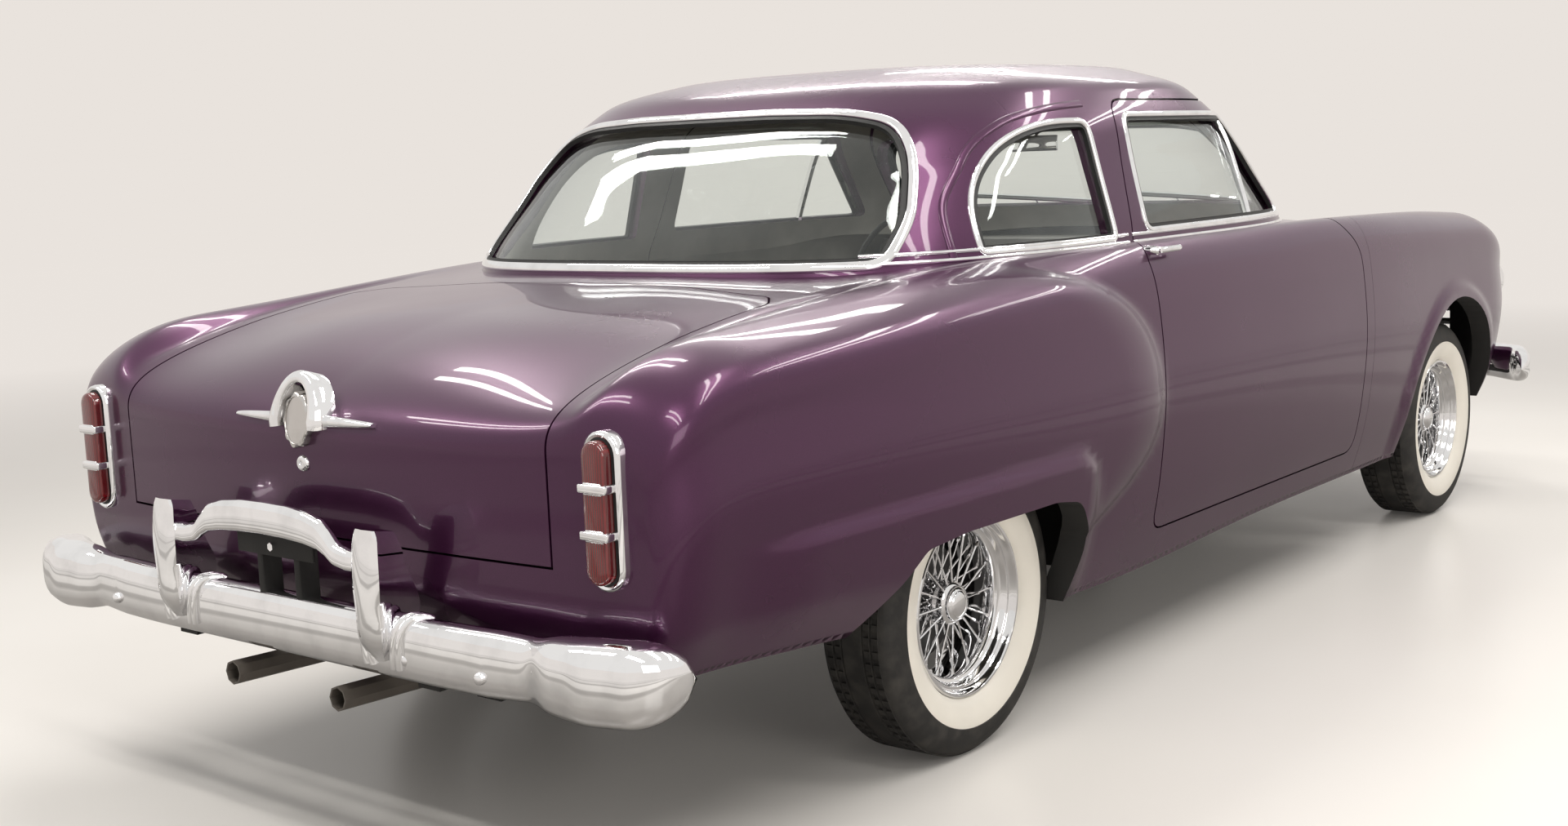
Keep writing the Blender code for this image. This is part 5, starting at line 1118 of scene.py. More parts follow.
class Surface:
    """A smooth surface that lends its normals to what is cut from it."""

    def __init__(self, bm: bmesh.types.BMesh) -> None:
        """Keep the mesh's corners, faces and normals.

        Args:
            bm: The uncut surface, left as it is.
        """
        flat = bm.copy()
        bmesh.ops.triangulate(flat, faces=flat.faces)
        flat.normal_update()
        flat.verts.index_update()
        self.corners = np.array([v.co for v in flat.verts])
        self.faces = np.array([[v.index for v in f.verts] for f in flat.faces])
        cross = np.cross(self.corners[self.faces[:, 1]] - self.corners[self.faces[:, 0]],
                         self.corners[self.faces[:, 2]] - self.corners[self.faces[:, 0]])
        total = np.zeros_like(self.corners)
        for k in range(3):
            np.add.at(total, self.faces[:, k], cross)
        self.normals = total / np.maximum(np.linalg.norm(total, axis=1, keepdims=True), 1e-12)
        self.tree = BVHTree.FromBMesh(flat)
        flat.free()

    def near(self, places: np.ndarray) -> tuple[np.ndarray, np.ndarray]:
        """Distance to the surface and its smooth normal at the nearest place.

        Args:
            places: Places with the shape (count, 3).

        Returns:
            Distances and normals.
        """
        found = [self.tree.find_nearest(place) for place in places]
        hits = np.array([hit[0] for hit in found])
        faces = self.faces[[hit[2] for hit in found]]
        a, b, c = (self.corners[faces[:, k]] for k in range(3))
        u, v, w = b - a, c - a, hits - a
        uu, uv, vv = (np.sum(p * q, axis=1) for p, q in ((u, u), (u, v), (v, v)))
        wu, wv = np.sum(w * u, axis=1), np.sum(w * v, axis=1)
        below = np.maximum(uu * vv - uv * uv, 1e-18)
        s, t = (vv * wu - uv * wv) / below, (uu * wv - uv * wu) / below
        mixed = (self.normals[faces[:, 0]] * (1 - s - t)[:, None] + self.normals[faces[:, 1]] * s[:, None]
                 + self.normals[faces[:, 2]] * t[:, None])
        mixed /= np.maximum(np.linalg.norm(mixed, axis=1, keepdims=True), 1e-12)
        return np.array([hit[3] for hit in found]), mixed

    def hit(self, start: Sequence[float], way: Sequence[float]) -> tuple[Vector, Vector]:
        """First place that a ray meets.

        Args:
            start: Where the ray starts.
            way: Its direction.

        Returns:
            The place and the smooth normal there.
        """
        place = self.tree.ray_cast(Vector(start), Vector(way))[0]
        if place is None:
            raise ValueError(f"no surface from {tuple(start)} along {tuple(way)}")
        return place, Vector(self.near(np.array([place]))[1][0])


class Sheet(Enum):
    """The four surfaces that the sheet metal is cut from."""

    LOWER = 0
    CABIN = 1
    HOLLOW = 2
    ROOM = 3


@dataclass
class Panels:
    """Body shell, doors, hood, lid and front fenders."""

    door: tuple = (((-0.790, 0.378), (-0.790, 1.020), (-0.690, 1.120), (-0.560, 1.175), (-0.270, 1.455),
                    (-0.215, 1.482), (0.490, 1.482), (0.545, 1.168), (0.575, 1.070), (0.575, 0.378)),
                   (0.055, 0.12, 0.10, 0.05, 0.05, 0.05, 0.07, 0.05, 0.06, 0.055))
    window: tuple = (((-0.475, 1.150), (0.473, 1.150), (0.455, 1.440), (-0.205, 1.440)), (0.02, 0.028, 0.035, 0.05))
    rear_arch: tuple = (((1.020, -0.3), (1.020, 0.455), (1.085, 0.550), (1.200, 0.568), (1.560, 0.568),
                         (1.705, 0.556), (1.930, 0.370), (1.930, -0.3)), (0, 0.05, 0.08, 0.2, 0.2, 0.05, 0.03, 0))
    front_arch: tuple = (-1.690, 0.345, 0.470, 0.445)
    lid: tuple = (((0.680, 2.8), (0.680, 1.830), (0.625, 1.760), (0.340, 1.702), (0.0, 1.680),
                   (-0.340, 1.702), (-0.625, 1.760), (-0.680, 1.830), (-0.680, 2.8)),
                  (0, 0.05, 0.06, 0.5, 0.5, 0.5, 0.06, 0.05, 0))
    rear_glass: tuple = (0.662, 0.548, 1.126, 1.470)
    shield_glass: tuple = (0.660, 0.585, 1.165, 1.435)
    below: float = -0.3
    side_wall: float = 0.070
    top_wall: float = 0.032
    end_wall: float = 0.035
    roof_wall: float = 0.036
    gap: float = 0.005
    seam: float = 0.0015
    rear_span: Flat = (0.87, 1.9)
    shield_span: Flat = (-1.2, -0.15)
    lamp_hole: float = 0.088
    door_span: Flat = (0.527, 1.437)
    lid_low: float = 0.645
    hood_low: float = 0.800
    hood_half: float = 0.600
    hood_rear: float = -0.985
    cowl_half: float = 0.624
    cowl_rear: float = -0.860
    beyond: float = 1.9
    rows: int = 84
    stations: int = 130

    def outlines(self) -> dict[str, list[Flat]]:
        """Draw every opening and shut line in side view, from above or seen along the car.

        Returns:
            Closed outlines by name.
        """
        quarter = [(0.645, 1.136)]
        for i in range(25):
            angle = 0.5 * math.pi * i / 24
            quarter.append((0.715 + 0.440 * math.cos(angle) ** 0.92, 1.136 + 0.290 * math.sin(angle) ** 0.92))
        quarter = rounded(quarter + [(0.645, 1.426)], [0.02, 0.03] + [0.0] * 24 + [0.03])
        y, z, half, high = self.front_arch
        front_arch = [(y - half, self.below), (y + half, self.below)]
        angles = [math.pi * (1 - i / 32) for i in range(33)]
        front_arch[1:1] = [(y + half * math.cos(angle), z + high * math.sin(angle)) for angle in angles]
        return {"door": rounded(*self.door), "window": rounded(*self.window), "quarter": quarter,
                "rear_arch": rounded(*self.rear_arch), "front_arch": front_arch,
                "lid": rounded(*self.lid),
                "rear": self.end_window(*self.rear_glass), "shield": self.end_window(*self.shield_glass)}

    @staticmethod
    def end_window(half: float, head_half: float, sill: float, head: float) -> list[Flat]:
        """Draw the opening of the windshield or the rear window, seen along the car.

        Args:
            half: Half width at the sill.
            head_half: Half width at the head.
            sill: Height of the sill.
            head: Height of the head.

        Returns:
            The closed outline.
        """
        rise = head - sill
        right = [(half, sill), (half + 0.004, sill + 0.25 * rise),
                 (0.5 * (half + head_half) + 0.012, sill + 0.66 * rise), (head_half, head - 0.10 * rise),
                 (0.78 * head_half, head - 0.02 * rise), (0.4 * head_half, head)]
        return rounded(right + [(-x, z) for x, z in reversed(right)],
                       (0.03, 3.0, 1.5, 0.30, 1.5, 4.0, 4.0, 1.5, 0.30, 1.5, 3.0, 0.03), 9)

    def build(self) -> dict[Sheet, Surface]:
        """Cut the panels, smooth them and hand them to the frame.

        Returns:
            The four surfaces, for trim and glass.
        """
        outer = FORM.lower(Wall(), self.rows, self.stations)
        cabin = FORM.cabin(0.0, 0.0, 72, 44)
        inner = FORM.lower(Wall(self.side_wall, self.top_wall, self.end_wall, 0.3), 34, 60)
        room = FORM.cabin(self.roof_wall, 3 * self.top_wall, 40, 24)
        surfaces = {sheet: Surface(bm) for sheet, bm in zip(Sheet, (outer, cabin, inner, room))}
        skin, top, hollow, space = (as_object(bm) for bm in (outer, cabin, inner, room))
        carve(skin, top, "UNION")
        carve(hollow, space, "UNION")
        carve(skin, hollow, "DIFFERENCE")
        discard(top, hollow, space)
        lines = self.outlines()
        cuts = [plug(lines[key], "X", -2.0, 2.0) for key in ("window", "quarter", "rear_arch", "front_arch")]
        cuts.append(plug(lines["rear"], "Y", *self.rear_span))
        cuts.append(plug(lines["shield"], "Y", *self.shield_span))
        cuts.append(plug([(-0.64, 0.50), (0.64, 0.50), (0.64, 0.69), (-0.64, 0.69)], "Y", -2.75, -2.15))
        for side in Side:
            bm = turned([(0.0, -0.3), (self.lamp_hole, -0.3), (self.lamp_hole, 0.3), (0.0, 0.3)], 40)
            cuts.append(as_object(aimed(bm, 90, (side.value * 0.750, -2.450, 0.790))))
        for cut in cuts:
            carve(skin, cut, "DIFFERENCE")
            discard(cut)
        self.split(skin, lines, surfaces)
        return surfaces

    def split(self, skin: bpy.types.Object, lines: dict[str, list[Flat]], surfaces: dict[Sheet, Surface]) -> None:
        """Part the moving panels and the front fenders from the shell.

        Args:
            skin: The hollow sheet metal.
            lines: The shut lines.
            surfaces: The surfaces that give the normals.
        """
        whole = linked("work", skin.data.copy())
        holes = []
        for side in Side:
            low, high = sorted(side.value * x for x in self.door_span)
            self.panel(whole, plug(lines["door"], "X", low, high), "door_" + side.word, side.door, surfaces)
            low, high = sorted((side.value * 0.500, side.value * 1.5))
            holes.append(plug(grown(lines["door"], self.gap), "X", low, high))
        ahead, behind = -2.75, 2.8
        half, rear = self.hood_half, self.hood_rear
        hood = rounded([(-half, ahead), (half, ahead), (half, rear), (-half, rear)], (0, 0, 0.06, 0.06))
        for outline, low, node, body in ((lines["lid"], self.lid_low, "trunk_lid", Body.TRUNK),
                                         (hood, self.hood_low, "hood", Body.HOOD)):
            self.panel(whole, plug(outline, "Z", low, FORM.roof_z), node, body, surfaces)
            holes.append(plug(grown(outline, self.gap), "Z", low - self.gap, self.beyond))
        for hole in holes:
            carve(skin, hole, "DIFFERENCE")
            discard(hole)
        wide = self.door_span[1]
        for side in Side:
            outline = [(self.seam, ahead), (wide, ahead), (wide, self.cowl_rear), (self.cowl_half, self.cowl_rear),
                       (self.cowl_half, rear), (self.seam, rear)]
            outline = [(side.value * x, y) for x, y in outline]
            piece = plug(outline, "Z", self.below, self.beyond)
            self.panel(skin, piece, "front_fender_" + side.word, Body.CAR, surfaces)
        inner, start, cowl = self.cowl_half - self.seam, self.cowl_rear + self.seam, rear + self.seam
        rest = [(-wide, start), (-wide, behind), (wide, behind), (wide, start), (inner, start), (inner, cowl),
                (-inner, cowl), (-inner, start)]
        self.panel(skin, plug(rest, "Z", self.below, self.beyond), "body_shell", Body.CAR, surfaces)
        discard(skin, whole)

    def panel(self, source: bpy.types.Object, cutter: bpy.types.Object, node: str, body: Body,
              surfaces: dict[Sheet, Surface]) -> None:
        """Keep what lies inside a cutter as one panel.

        Args:
            source: The sheet metal.
            cutter: The panel's extent, discarded here.
            node: The node that it stands for.
            body: The body that it rides on.
            surfaces: The surfaces that give the normals.
        """
        bm = common(source, cutter)
        bmesh.ops.remove_doubles(bm, verts=bm.verts, dist=2e-5)
        bmesh.ops.dissolve_degenerate(bm, edges=bm.edges, dist=1e-5)
        normals = self.smoothed(bm, surfaces)
        piece(node + "_panel", bm, body, (PAINT, HEADLINER, UNDERCOAT), (node,), normals=normals)

    def smoothed(self, bm: bmesh.types.BMesh, surfaces: dict[Sheet, Surface]) -> np.ndarray:
        """Give faces the normals of the surface that they lie on, and their finish.

        Args:
            bm: The cut panel.
            surfaces: The surfaces.

        Returns:
            One normal for each face corner.
        """
        bm.normal_update()
        bm.verts.index_update()
        bm.faces.index_update()
        corners = np.array([v.co for v in bm.verts])
        faces = list(bm.faces)
        middles = np.array([f.calc_center_median() for f in faces])
        flat = np.array([f.normal for f in faces])
        owner = np.full(len(faces), -1)
        best = np.full(len(faces), 0.0006)
        lent = {}
        for sheet, surface in surfaces.items():
            flip = -1.0 if sheet in (Sheet.HOLLOW, Sheet.ROOM) else 1.0
            distance, normal = surface.near(middles)
            agree = np.sum(normal * flip * flat, axis=1) > 0.80
            take = agree & (distance < best)
            owner[take] = sheet.value
            best[take] = distance[take]
            lent[sheet.value] = surface.near(corners)[1] * flip
        out = []
        for face, own in zip(faces, owner):
            inside = own in (Sheet.HOLLOW.value, Sheet.ROOM.value)
            middle = middles[face.index]
            room = -0.95 < middle[1] < 1.62 and middle[2] > 0.42
            arch = own < 0 and middle[2] < 0.80 and 0.55 < abs(middle[0]) and abs(face.normal.x) < 0.5
            near_wheel = abs(middle[1] + 1.69) < 0.49 or 1.0 < middle[1] < 1.95
            face.material_index = (1 if room else 2) if inside else (2 if arch and near_wheel else 0)
            for vert in face.verts:
                out.append(lent[own][vert.index] if own >= 0 else flat[face.index])
        return np.array(out)


@dataclass
class Glazing:
    """All window glass, set below the skin."""

    inset: float = 0.016
    thick: float = 0.006
    clear: float = 0.001

    def build(self, panels: Panels) -> None:
        """Cut each pane from a thin shell under the cabin's skin.

        Args:
            panels: The panels whose openings the panes fill.
        """
        lines = panels.outlines()
        outer = FORM.cabin(self.inset, 0.0, 72, 44)
        inner = FORM.cabin(self.inset + self.thick, 0.01, 72, 44)
        surfaces = {Sheet.CABIN: Surface(outer), Sheet.ROOM: Surface(inner)}
        shell, core = as_object(outer), as_object(inner)
        carve(shell, core, "DIFFERENCE")
        discard(core)
        panes = [("rear_glass", "rear", "Y", *panels.rear_span, Body.CAR),
                 ("windshield_glass", "shield", "Y", *panels.shield_span, Body.CAR)]
        for side in Side:
            low, high = sorted((0.3 * side.value, 1.2 * side.value))
            panes.append(("door_glass_" + side.word, "window", "X", low, high, side.door))
            panes.append(("quarter_glass_" + side.word, "quarter", "X", low, high, Body.CAR))
        for node, line, axis, low, high, body in panes:
            bm = common(shell, plug(grown(lines[line], -self.clear), axis, low, high))
            normals = panels.smoothed(bm, surfaces)
            painted(bm, 0)
            piece(node + "_pane", bm, body, (GLASS,), (node,), normals=normals)
        discard(shell)


def stacked(loops: Sequence[Sequence[Sequence[float]]]) -> bmesh.types.BMesh:
    """Skin closed loops of equal count, from the first to the last, and cap both ends.

    Args:
        loops: Rings of places.

    Returns:
        The closed mesh.
    """
    grid = np.asarray(loops, float)
    return laid(np.concatenate([grid, grid[:, :1]], axis=1), capped=True)


def mirrored(bm: bmesh.types.BMesh) -> bmesh.types.BMesh:
    """The same mesh at the car's other side, with its normals outwards."""
    bmesh.ops.transform(bm, matrix=Matrix.Scale(-1, 4, (1, 0, 0)), verts=bm.verts)
    bmesh.ops.recalc_face_normals(bm, faces=bm.faces)
    return bm


def rod(start: Sequence[float], stop: Sequence[float], radius: float, sides: int = 10,
        end: float | None = None) -> bmesh.types.BMesh:
    """A round bar between two places, tapered where end is given.

    Args:
        start: First end.
        stop: Second end.
        radius: Radius at the first end.
        sides: Facets.
        end: Radius at the second end.

    Returns:
        The bar.
    """
    start, stop = Vector(start), Vector(stop)
    way = stop - start
    bm = bmesh.new()
    turn = Vector((0, 0, 1)).rotation_difference(way).to_matrix().to_4x4()
    bmesh.ops.create_cone(bm, cap_ends=True, segments=sides, radius1=radius, radius2=radius if end is None else end,
                          depth=way.length, matrix=Matrix.Translation((start + stop) / 2) @ turn)
    return bm


def block(low: Sequence[float], high: Sequence[float], edge: float, steps: int = 3) -> bmesh.types.BMesh:
    """A block with rounded edges.

    Args:
        low: Its lowest corner.
        high: Its highest corner.
        edge: Radius of the edges.
        steps: Chords to an edge.

    Returns:
        The block.
    """
    bm = bmesh.new()
    low, high = Vector(low), Vector(high)
    bmesh.ops.create_cube(bm, size=1.0)
    bmesh.ops.scale(bm, vec=high - low, verts=bm.verts)
    bmesh.ops.translate(bm, vec=(low + high) / 2, verts=bm.verts)
    bmesh.ops.bevel(bm, geom=bm.edges[:] + bm.verts[:], offset=edge, offset_type="OFFSET", affect="EDGES",
                    segments=steps, profile=0.5, material=-1)
    return bm


def half_round(half: float, high: float, sunk: float = 0.004) -> list[Flat]:
    """Profile of a half-round moulding whose back is sunk into what carries it."""
    top = [(half * math.cos(a), high * math.sin(a)) for a in np.linspace(0.0, math.pi, 9)]
    return top + [(-half, -sunk), (half, -sunk)]


def pill(x: float, half: float, low: float, high: float, y: float, steps: int = 14) -> list[tuple]:
    """Upright loop with round ends at one y."""
    top = [(x + half * math.cos(a), y, high - half + half * math.sin(a)) for a in np.linspace(0, math.pi, steps)]
    return top + [(x + half * math.cos(a), y, low + half + half * math.sin(a))
                  for a in np.linspace(math.pi, 2 * math.pi, steps)]


@dataclass
class WireWheel:
    """Whitewall tyre on a wire wheel."""

    front_y: float = -1.740
    rear_y: float = 1.359
    front_x: float = 0.762
    rear_x: float = 0.771
    hub_z: float = 0.345
    tyre: tuple = ((0.203, 0.069), (0.212, 0.074), (0.216, 0.083), (0.232, 0.093), (0.250, 0.099), (0.264, 0.1015),
                   (0.2775, 0.1005), (0.279, 0.1020), (0.290, 0.1012), (0.306, 0.0985), (0.320, 0.0935),
                   (0.331, 0.0865), (0.3385, 0.0780), (0.3418, 0.0700))
    ribs: tuple = (0.0700, 0.0470, 0.0255)
    groove: float = 0.0055
    tread: float = 0.3450
    rim: tuple = ((0.2100, 0.0715), (0.2118, 0.0770), (0.2085, 0.0815), (0.2035, 0.0815), (0.2000, 0.0770),
                  (0.1985, 0.0690), (0.1940, 0.0640), (0.1880, 0.0640), (0.1850, 0.0610), (0.1835, 0.0510),
                  (0.1790, 0.0460), (0.1730, 0.0450), (0.1700, 0.0410), (0.1680, 0.0250), (0.1660, 0.0100),
                  (0.1660, -0.0300), (0.1860, -0.0560), (0.2030, -0.0780), (0.2100, -0.0730), (0.1900, -0.0520),
                  (0.1720, -0.0290), (0.1720, 0.0100), (0.1760, 0.0330), (0.1930, 0.0540), (0.2040, 0.0640),
                  (0.2100, 0.0715))
    hub: tuple = ((0.0, -0.076), (0.052, -0.076), (0.052, -0.040), (0.044, -0.034), (0.040, -0.020), (0.040, -0.008),
                  (0.047, -0.004), (0.050, 0.002), (0.050, 0.012), (0.046, 0.017), (0.046, 0.026), (0.0495, 0.029),
                  (0.0495, 0.036), (0.045, 0.040), (0.0415, 0.0415), (0.0415, 0.047), (0.039, 0.051), (0.033, 0.0545),
                  (0.0315, 0.0535), (0.030, 0.0555), (0.020, 0.0590), (0.010, 0.0605), (0.0, 0.0610))
    drum: tuple = ((0.0, -0.096), (0.136, -0.096), (0.140, -0.090), (0.140, -0.048), (0.128, -0.043), (0.0, -0.040))
    white: Flat = (0.2125, 0.2772)
    block_turn: float = 5.0
    spokes: int = 16
    laces: tuple = ((0.0, 0.034, 0.046, 0.028, 0.1685), (0.30, -0.016, 0.040, -0.004, 0.1665),
                    (-0.30, -0.012, 0.040, -0.014, 0.1665))
    wire: float = 0.0027
    nuts: int = 20
    nut_at: float = 0.0485

    def tyre_mesh(self) -> bmesh.types.BMesh:
        """Turn the tyre about the origin with ribs, grooves and cut shoulders.

        Returns:
            The tyre, with the side wall in its second finish.
        """
        tread = []
        for i, x in enumerate(self.ribs):
            tread += [(self.tread - self.groove, x + 0.003), (self.tread, x)] if i else [(self.tread, x)]
            if i + 1 < len(self.ribs):
                edge = self.ribs[i + 1] + 0.006
                tread += [(self.tread, edge), (self.tread - self.groove, edge - 0.003)]
        half = list(self.tyre) + tread
        profile = half + [(r, -x) for r, x in reversed(half)]
        bm = turned(profile, 144)
        shoulders = []
        for face in bm.faces:
            centre = face.calc_center_median()
            radius = math.hypot(centre.y, centre.z)
            turn = math.degrees(math.atan2(centre.z, centre.y)) % self.block_turn
            if radius > self.tread - 0.0015 and turn < self.block_turn / 2 and abs(centre.x) > 0.03:
                shoulders.append(face)
            face.material_index = 1 if self.white[0] < radius < self.white[1] and abs(centre.x) > 0.074 else 0
        made = bmesh.ops.inset_individual(bm, faces=shoulders, thickness=0.0016, depth=-0.0045)
        for face in made["faces"]:
            face.material_index = 0
        return bm

    def wheel_mesh(self) -> bmesh.types.BMesh:
        """Turn rim and hub and lace three sets of spokes between them.

        Returns:
            The wheel, with the drum in its second finish.
        """
        parts = [painted(turned(self.rim, 96), 0), painted(turned(self.hub, 48), 0), painted(turned(self.drum, 48), 1)]
        for k in range(self.spokes):
            start = 2 * math.pi * k / self.spokes
            for lean, root_x, root_r, tip_x, reach in self.laces:
                turn = start + (math.pi / self.spokes if lean else 0.0)
                root = (root_x, root_r * math.cos(turn), root_r * math.sin(turn))
                tip = (tip_x, reach * math.cos(turn + lean), reach * math.sin(turn + lean))
                parts.append(rod(root, tip, self.wire, 8))
                near = Vector(tip).lerp(Vector(root), 0.10)
                parts.append(rod(tip, near, 1.9 * self.wire, 6, 1.4 * self.wire))
        for c, s in compass(self.nuts):
            spot = (self.nut_at * c, self.nut_at * s)
            parts.append(rod((0.0295, *spot), (0.0355, *spot), 0.0035, 6))
        return merged(parts)

    def build(self) -> None:
        """Build all four wheels."""
        for axle, x, y in (("front", self.front_x, self.front_y), ("rear", self.rear_x, self.rear_y)):
            for side in Side:
                word = f"{axle}_{side.word}"
                for kind, bm, looks in (("tyre", self.tyre_mesh(), (RUBBER, WHITEWALL)),
                                        ("wire_wheel", self.wheel_mesh(), (WHEEL_CHROME, STEEL))):
                    if side is Side.RIGHT:
                        mirrored(bm)
                    bmesh.ops.translate(bm, vec=(side.value * x, y, self.hub_z), verts=bm.verts)
                    fitted(f"{kind}_{word}", bm, f"{word}_wheel", looks, 40)


@dataclass
class Bumpers:
    """Chrome bars, guards and the casting between the rear guards."""

    rear_y: float = 2.573
    front_y: float = -2.606
    z: float = 0.472
    half_y: float = 0.032
    half_z: float = 0.062
    reach: float = 0.988
    guard_x: float = 0.335
    guard_half: float = 0.034
    guard_out: float = 0.065
    guard_low: float = 0.450
    guard_top: float = 0.708
    arch_z: float = 0.640
    arch_rise: float = 0.056
    rear_wrap: float = 0.190
    front_wrap: float = 0.380
    bolt: tuple = ((0.0, 0.0075), (0.006, 0.0065), (0.0105, 0.003), (0.0125, -0.002), (0.0125, -0.010), (0.0, -0.010))
    bolts_at: tuple = ((0.395, 0.456), (0.600, 0.452), (-0.395, 0.456), (-0.600, 0.452))
    rear_bar: tuple = ((0.0, 0.0, 1.0, 1.0), (0.50, 0.0, 1.0, 1.0), (0.62, 0.05, 1.0, 1.0), (0.715, 0.10, 0.98, 0.94),
                       (0.765, 0.13, 1.40, 1.12), (0.85, 0.19, 1.72, 1.22), (0.93, 0.33, 1.78, 1.22),
                       (0.985, 0.56, 1.74, 1.20), (1.0, 0.70, 1.7, 1.18))
    front_bar: tuple = ((0.0, 0.0, 1.0, 1.0), (0.50, 0.0, 1.0, 1.0), (0.62, 0.10, 1.0, 1.0), (0.80, 0.25, 1.1, 1.05),
                        (0.93, 0.50, 1.1, 1.1), (0.985, 0.75, 1.05, 1.05), (1.0, 1.0, 1.0, 1.0))
    guard: tuple = ((0.0, 0.23, 0.66, 0.35), (0.10, 0.08, 0.92, 0.74), (0.34, -0.60, 1.09, 0.91),
                    (0.60, -0.30, 1.08, 1.05), (0.86, -0.02, 1.0, 1.0), (1.0, 0.10, 0.92, 0.92))
    casting: tuple = ((0.0, 1.0, 1.0), (0.22, 0.98, 1.0), (0.42, 0.88, 0.97), (0.55, 0.72, 0.90), (0.63, 0.42, 0.72),
                      (0.69, 0.12, 0.62), (0.80, 0.0, 0.60), (1.0, 0.0, 0.60))

    def bar(self, table: tuple, y: float, wrap: float) -> bmesh.types.BMesh:
        """Sweep a bumper bar round the corners.

        Args:
            table: Shares of the reach, of the wrap, and of the half depth and height.
            y: Place of its middle.
            wrap: How far its ends reach back.

        Returns:
            The bar.
        """
        ahead = math.copysign(1.0, y)
        rows = np.array(table)
        inner, outer = np.linspace(0.0, 0.60, 16), np.linspace(0.61, 1.0, 44)
        reach = np.concatenate([inner, outer])
        other = np.stack([np.interp(reach, rows[:, 0], rows[:, k]) for k in (1, 2, 3)], axis=1)
        kernel = np.array([1, 2, 3, 2, 1]) / 9.0
        for k in range(3):
            padded = np.pad(other[:, k], 2, mode="edge")
            other[2:-2, k] = np.convolve(padded, kernel, "valid")[2:-2]
        tip = np.clip((reach - 0.92) / 0.08, 0.0, 1.0) ** 2.2
        other[:, 1:] *= np.maximum(1.0 - tip, 0.0)[:, None] ** 0.5 + 0.02
        loops = []
        for share, (back, depth, height) in zip(reach, other):
            turn = math.radians(75) * back ** 1.2
            swell = 0.8 * max(depth - 1.0, 0.0) * self.half_y
            loop = []
            for c, s in compass(28):
                out = depth * self.half_y * math.copysign(abs(c) ** (0.80 if c > 0 else 0.55), c)
                up = height * self.half_z * math.copysign(abs(s) ** 0.72, s)
                loop.append((share * self.reach + swell * math.sin(turn) + out * math.sin(turn),
                             y + ahead * (swell * math.cos(turn) - wrap * back + out * math.cos(turn)), self.z + up))
            loops.append(loop)
        right = [[(-x, yy, z) for x, yy, z in loop] for loop in loops[:0:-1]]
        return stacked(right + loops)

    def guards(self, bar_y: float) -> list[bmesh.types.BMesh]:
        """Stand the two blades on a bar.

        Args:
            bar_y: Place of the bar along the car.

        Returns:
            The blades.
        """
        ahead = math.copysign(self.guard_out, bar_y)
        rows = np.array(self.guard)
        made = []
        for centre in (self.guard_x, -self.guard_x):
            loops = []
            for up in np.linspace(0.0, 1.0, 26):
                behind, before, wide = spline(rows[:, 0], rows[:, 1:], np.array([up]))[0]
                half = wide * self.guard_half * (1.06 - 0.20 * max(0.0, (up - 0.92) / 0.08) ** 2)
                back, front = bar_y + ahead * behind, bar_y + ahead * before
                depth = front - back
                plan = [(half * 0.90, back), (half * 0.93, back + 0.45 * depth), (half * 1.03, back + 0.76 * depth),
                        (half * 1.06, back + 0.90 * depth), (half * 0.88, back + 0.965 * depth), (half * 0.45, front),
                        (0.0, front + 0.004 * math.copysign(1, bar_y))]
                plan += [(-x, y) for x, y in reversed(plan[:-1])]
                z = self.guard_low + up * (self.guard_top - self.guard_low)
                loops.append([(centre + x, y, z + (0.010 * (y - front) / depth if up > 0.9 else 0.0)) for x, y in plan])
            made.append(stacked(loops))
        return made

    def strap(self, centre: float, side: float, apart: float) -> bmesh.types.BMesh:
        """Lay one rib of a guard's strap over the rear bar.

        Args:
            centre: Place of the guard across the car.
            side: Side of the guard, 1 or -1.
            apart: Distance from the rib next to the guard.

        Returns:
            The rib.
        """
        share = np.linspace(0.0, 1.0, 12)
        turn = np.radians(-25.0 + 150.0 * share)
        cosine, sine = np.cos(turn), np.sin(turn)
        across = centre + side * (0.9 * self.guard_half + apart + 0.040 * share ** 1.4)
        out = (self.half_y + 0.002) * np.sign(cosine) * np.abs(cosine) ** 0.80
        up = (self.half_z + 0.002) * np.sign(sine) * np.abs(sine) ** 0.72
        path = np.stack([across, self.rear_y + out, self.z + up], axis=1)
        return swept(path, np.tile((side, 0.0, 0.0), (len(path), 1)), round_bar(0.009, 10), False)

    def arch(self) -> bmesh.types.BMesh:
        """Sweep the stepped casting from guard to guard.

        Returns:
            The casting.
        """
        y = self.rear_y + 0.7 * self.guard_out
        rows = np.array(self.casting)
        loops = []
        for share in np.linspace(-1.0, 1.0, 81):
            rise, height = (np.interp(abs(share), rows[:, 0], rows[:, k]) for k in (1, 2))
            loop = []
            for c, s in compass(20):
                loop.append((share * self.guard_x, y + 0.014 * math.copysign(abs(c) ** 0.8, c) - 0.004 * s,
                             self.arch_z + rise * self.arch_rise + height * 0.032 * math.copysign(abs(s) ** 0.6, s)))
            loops.append(loop)
        return stacked(loops)

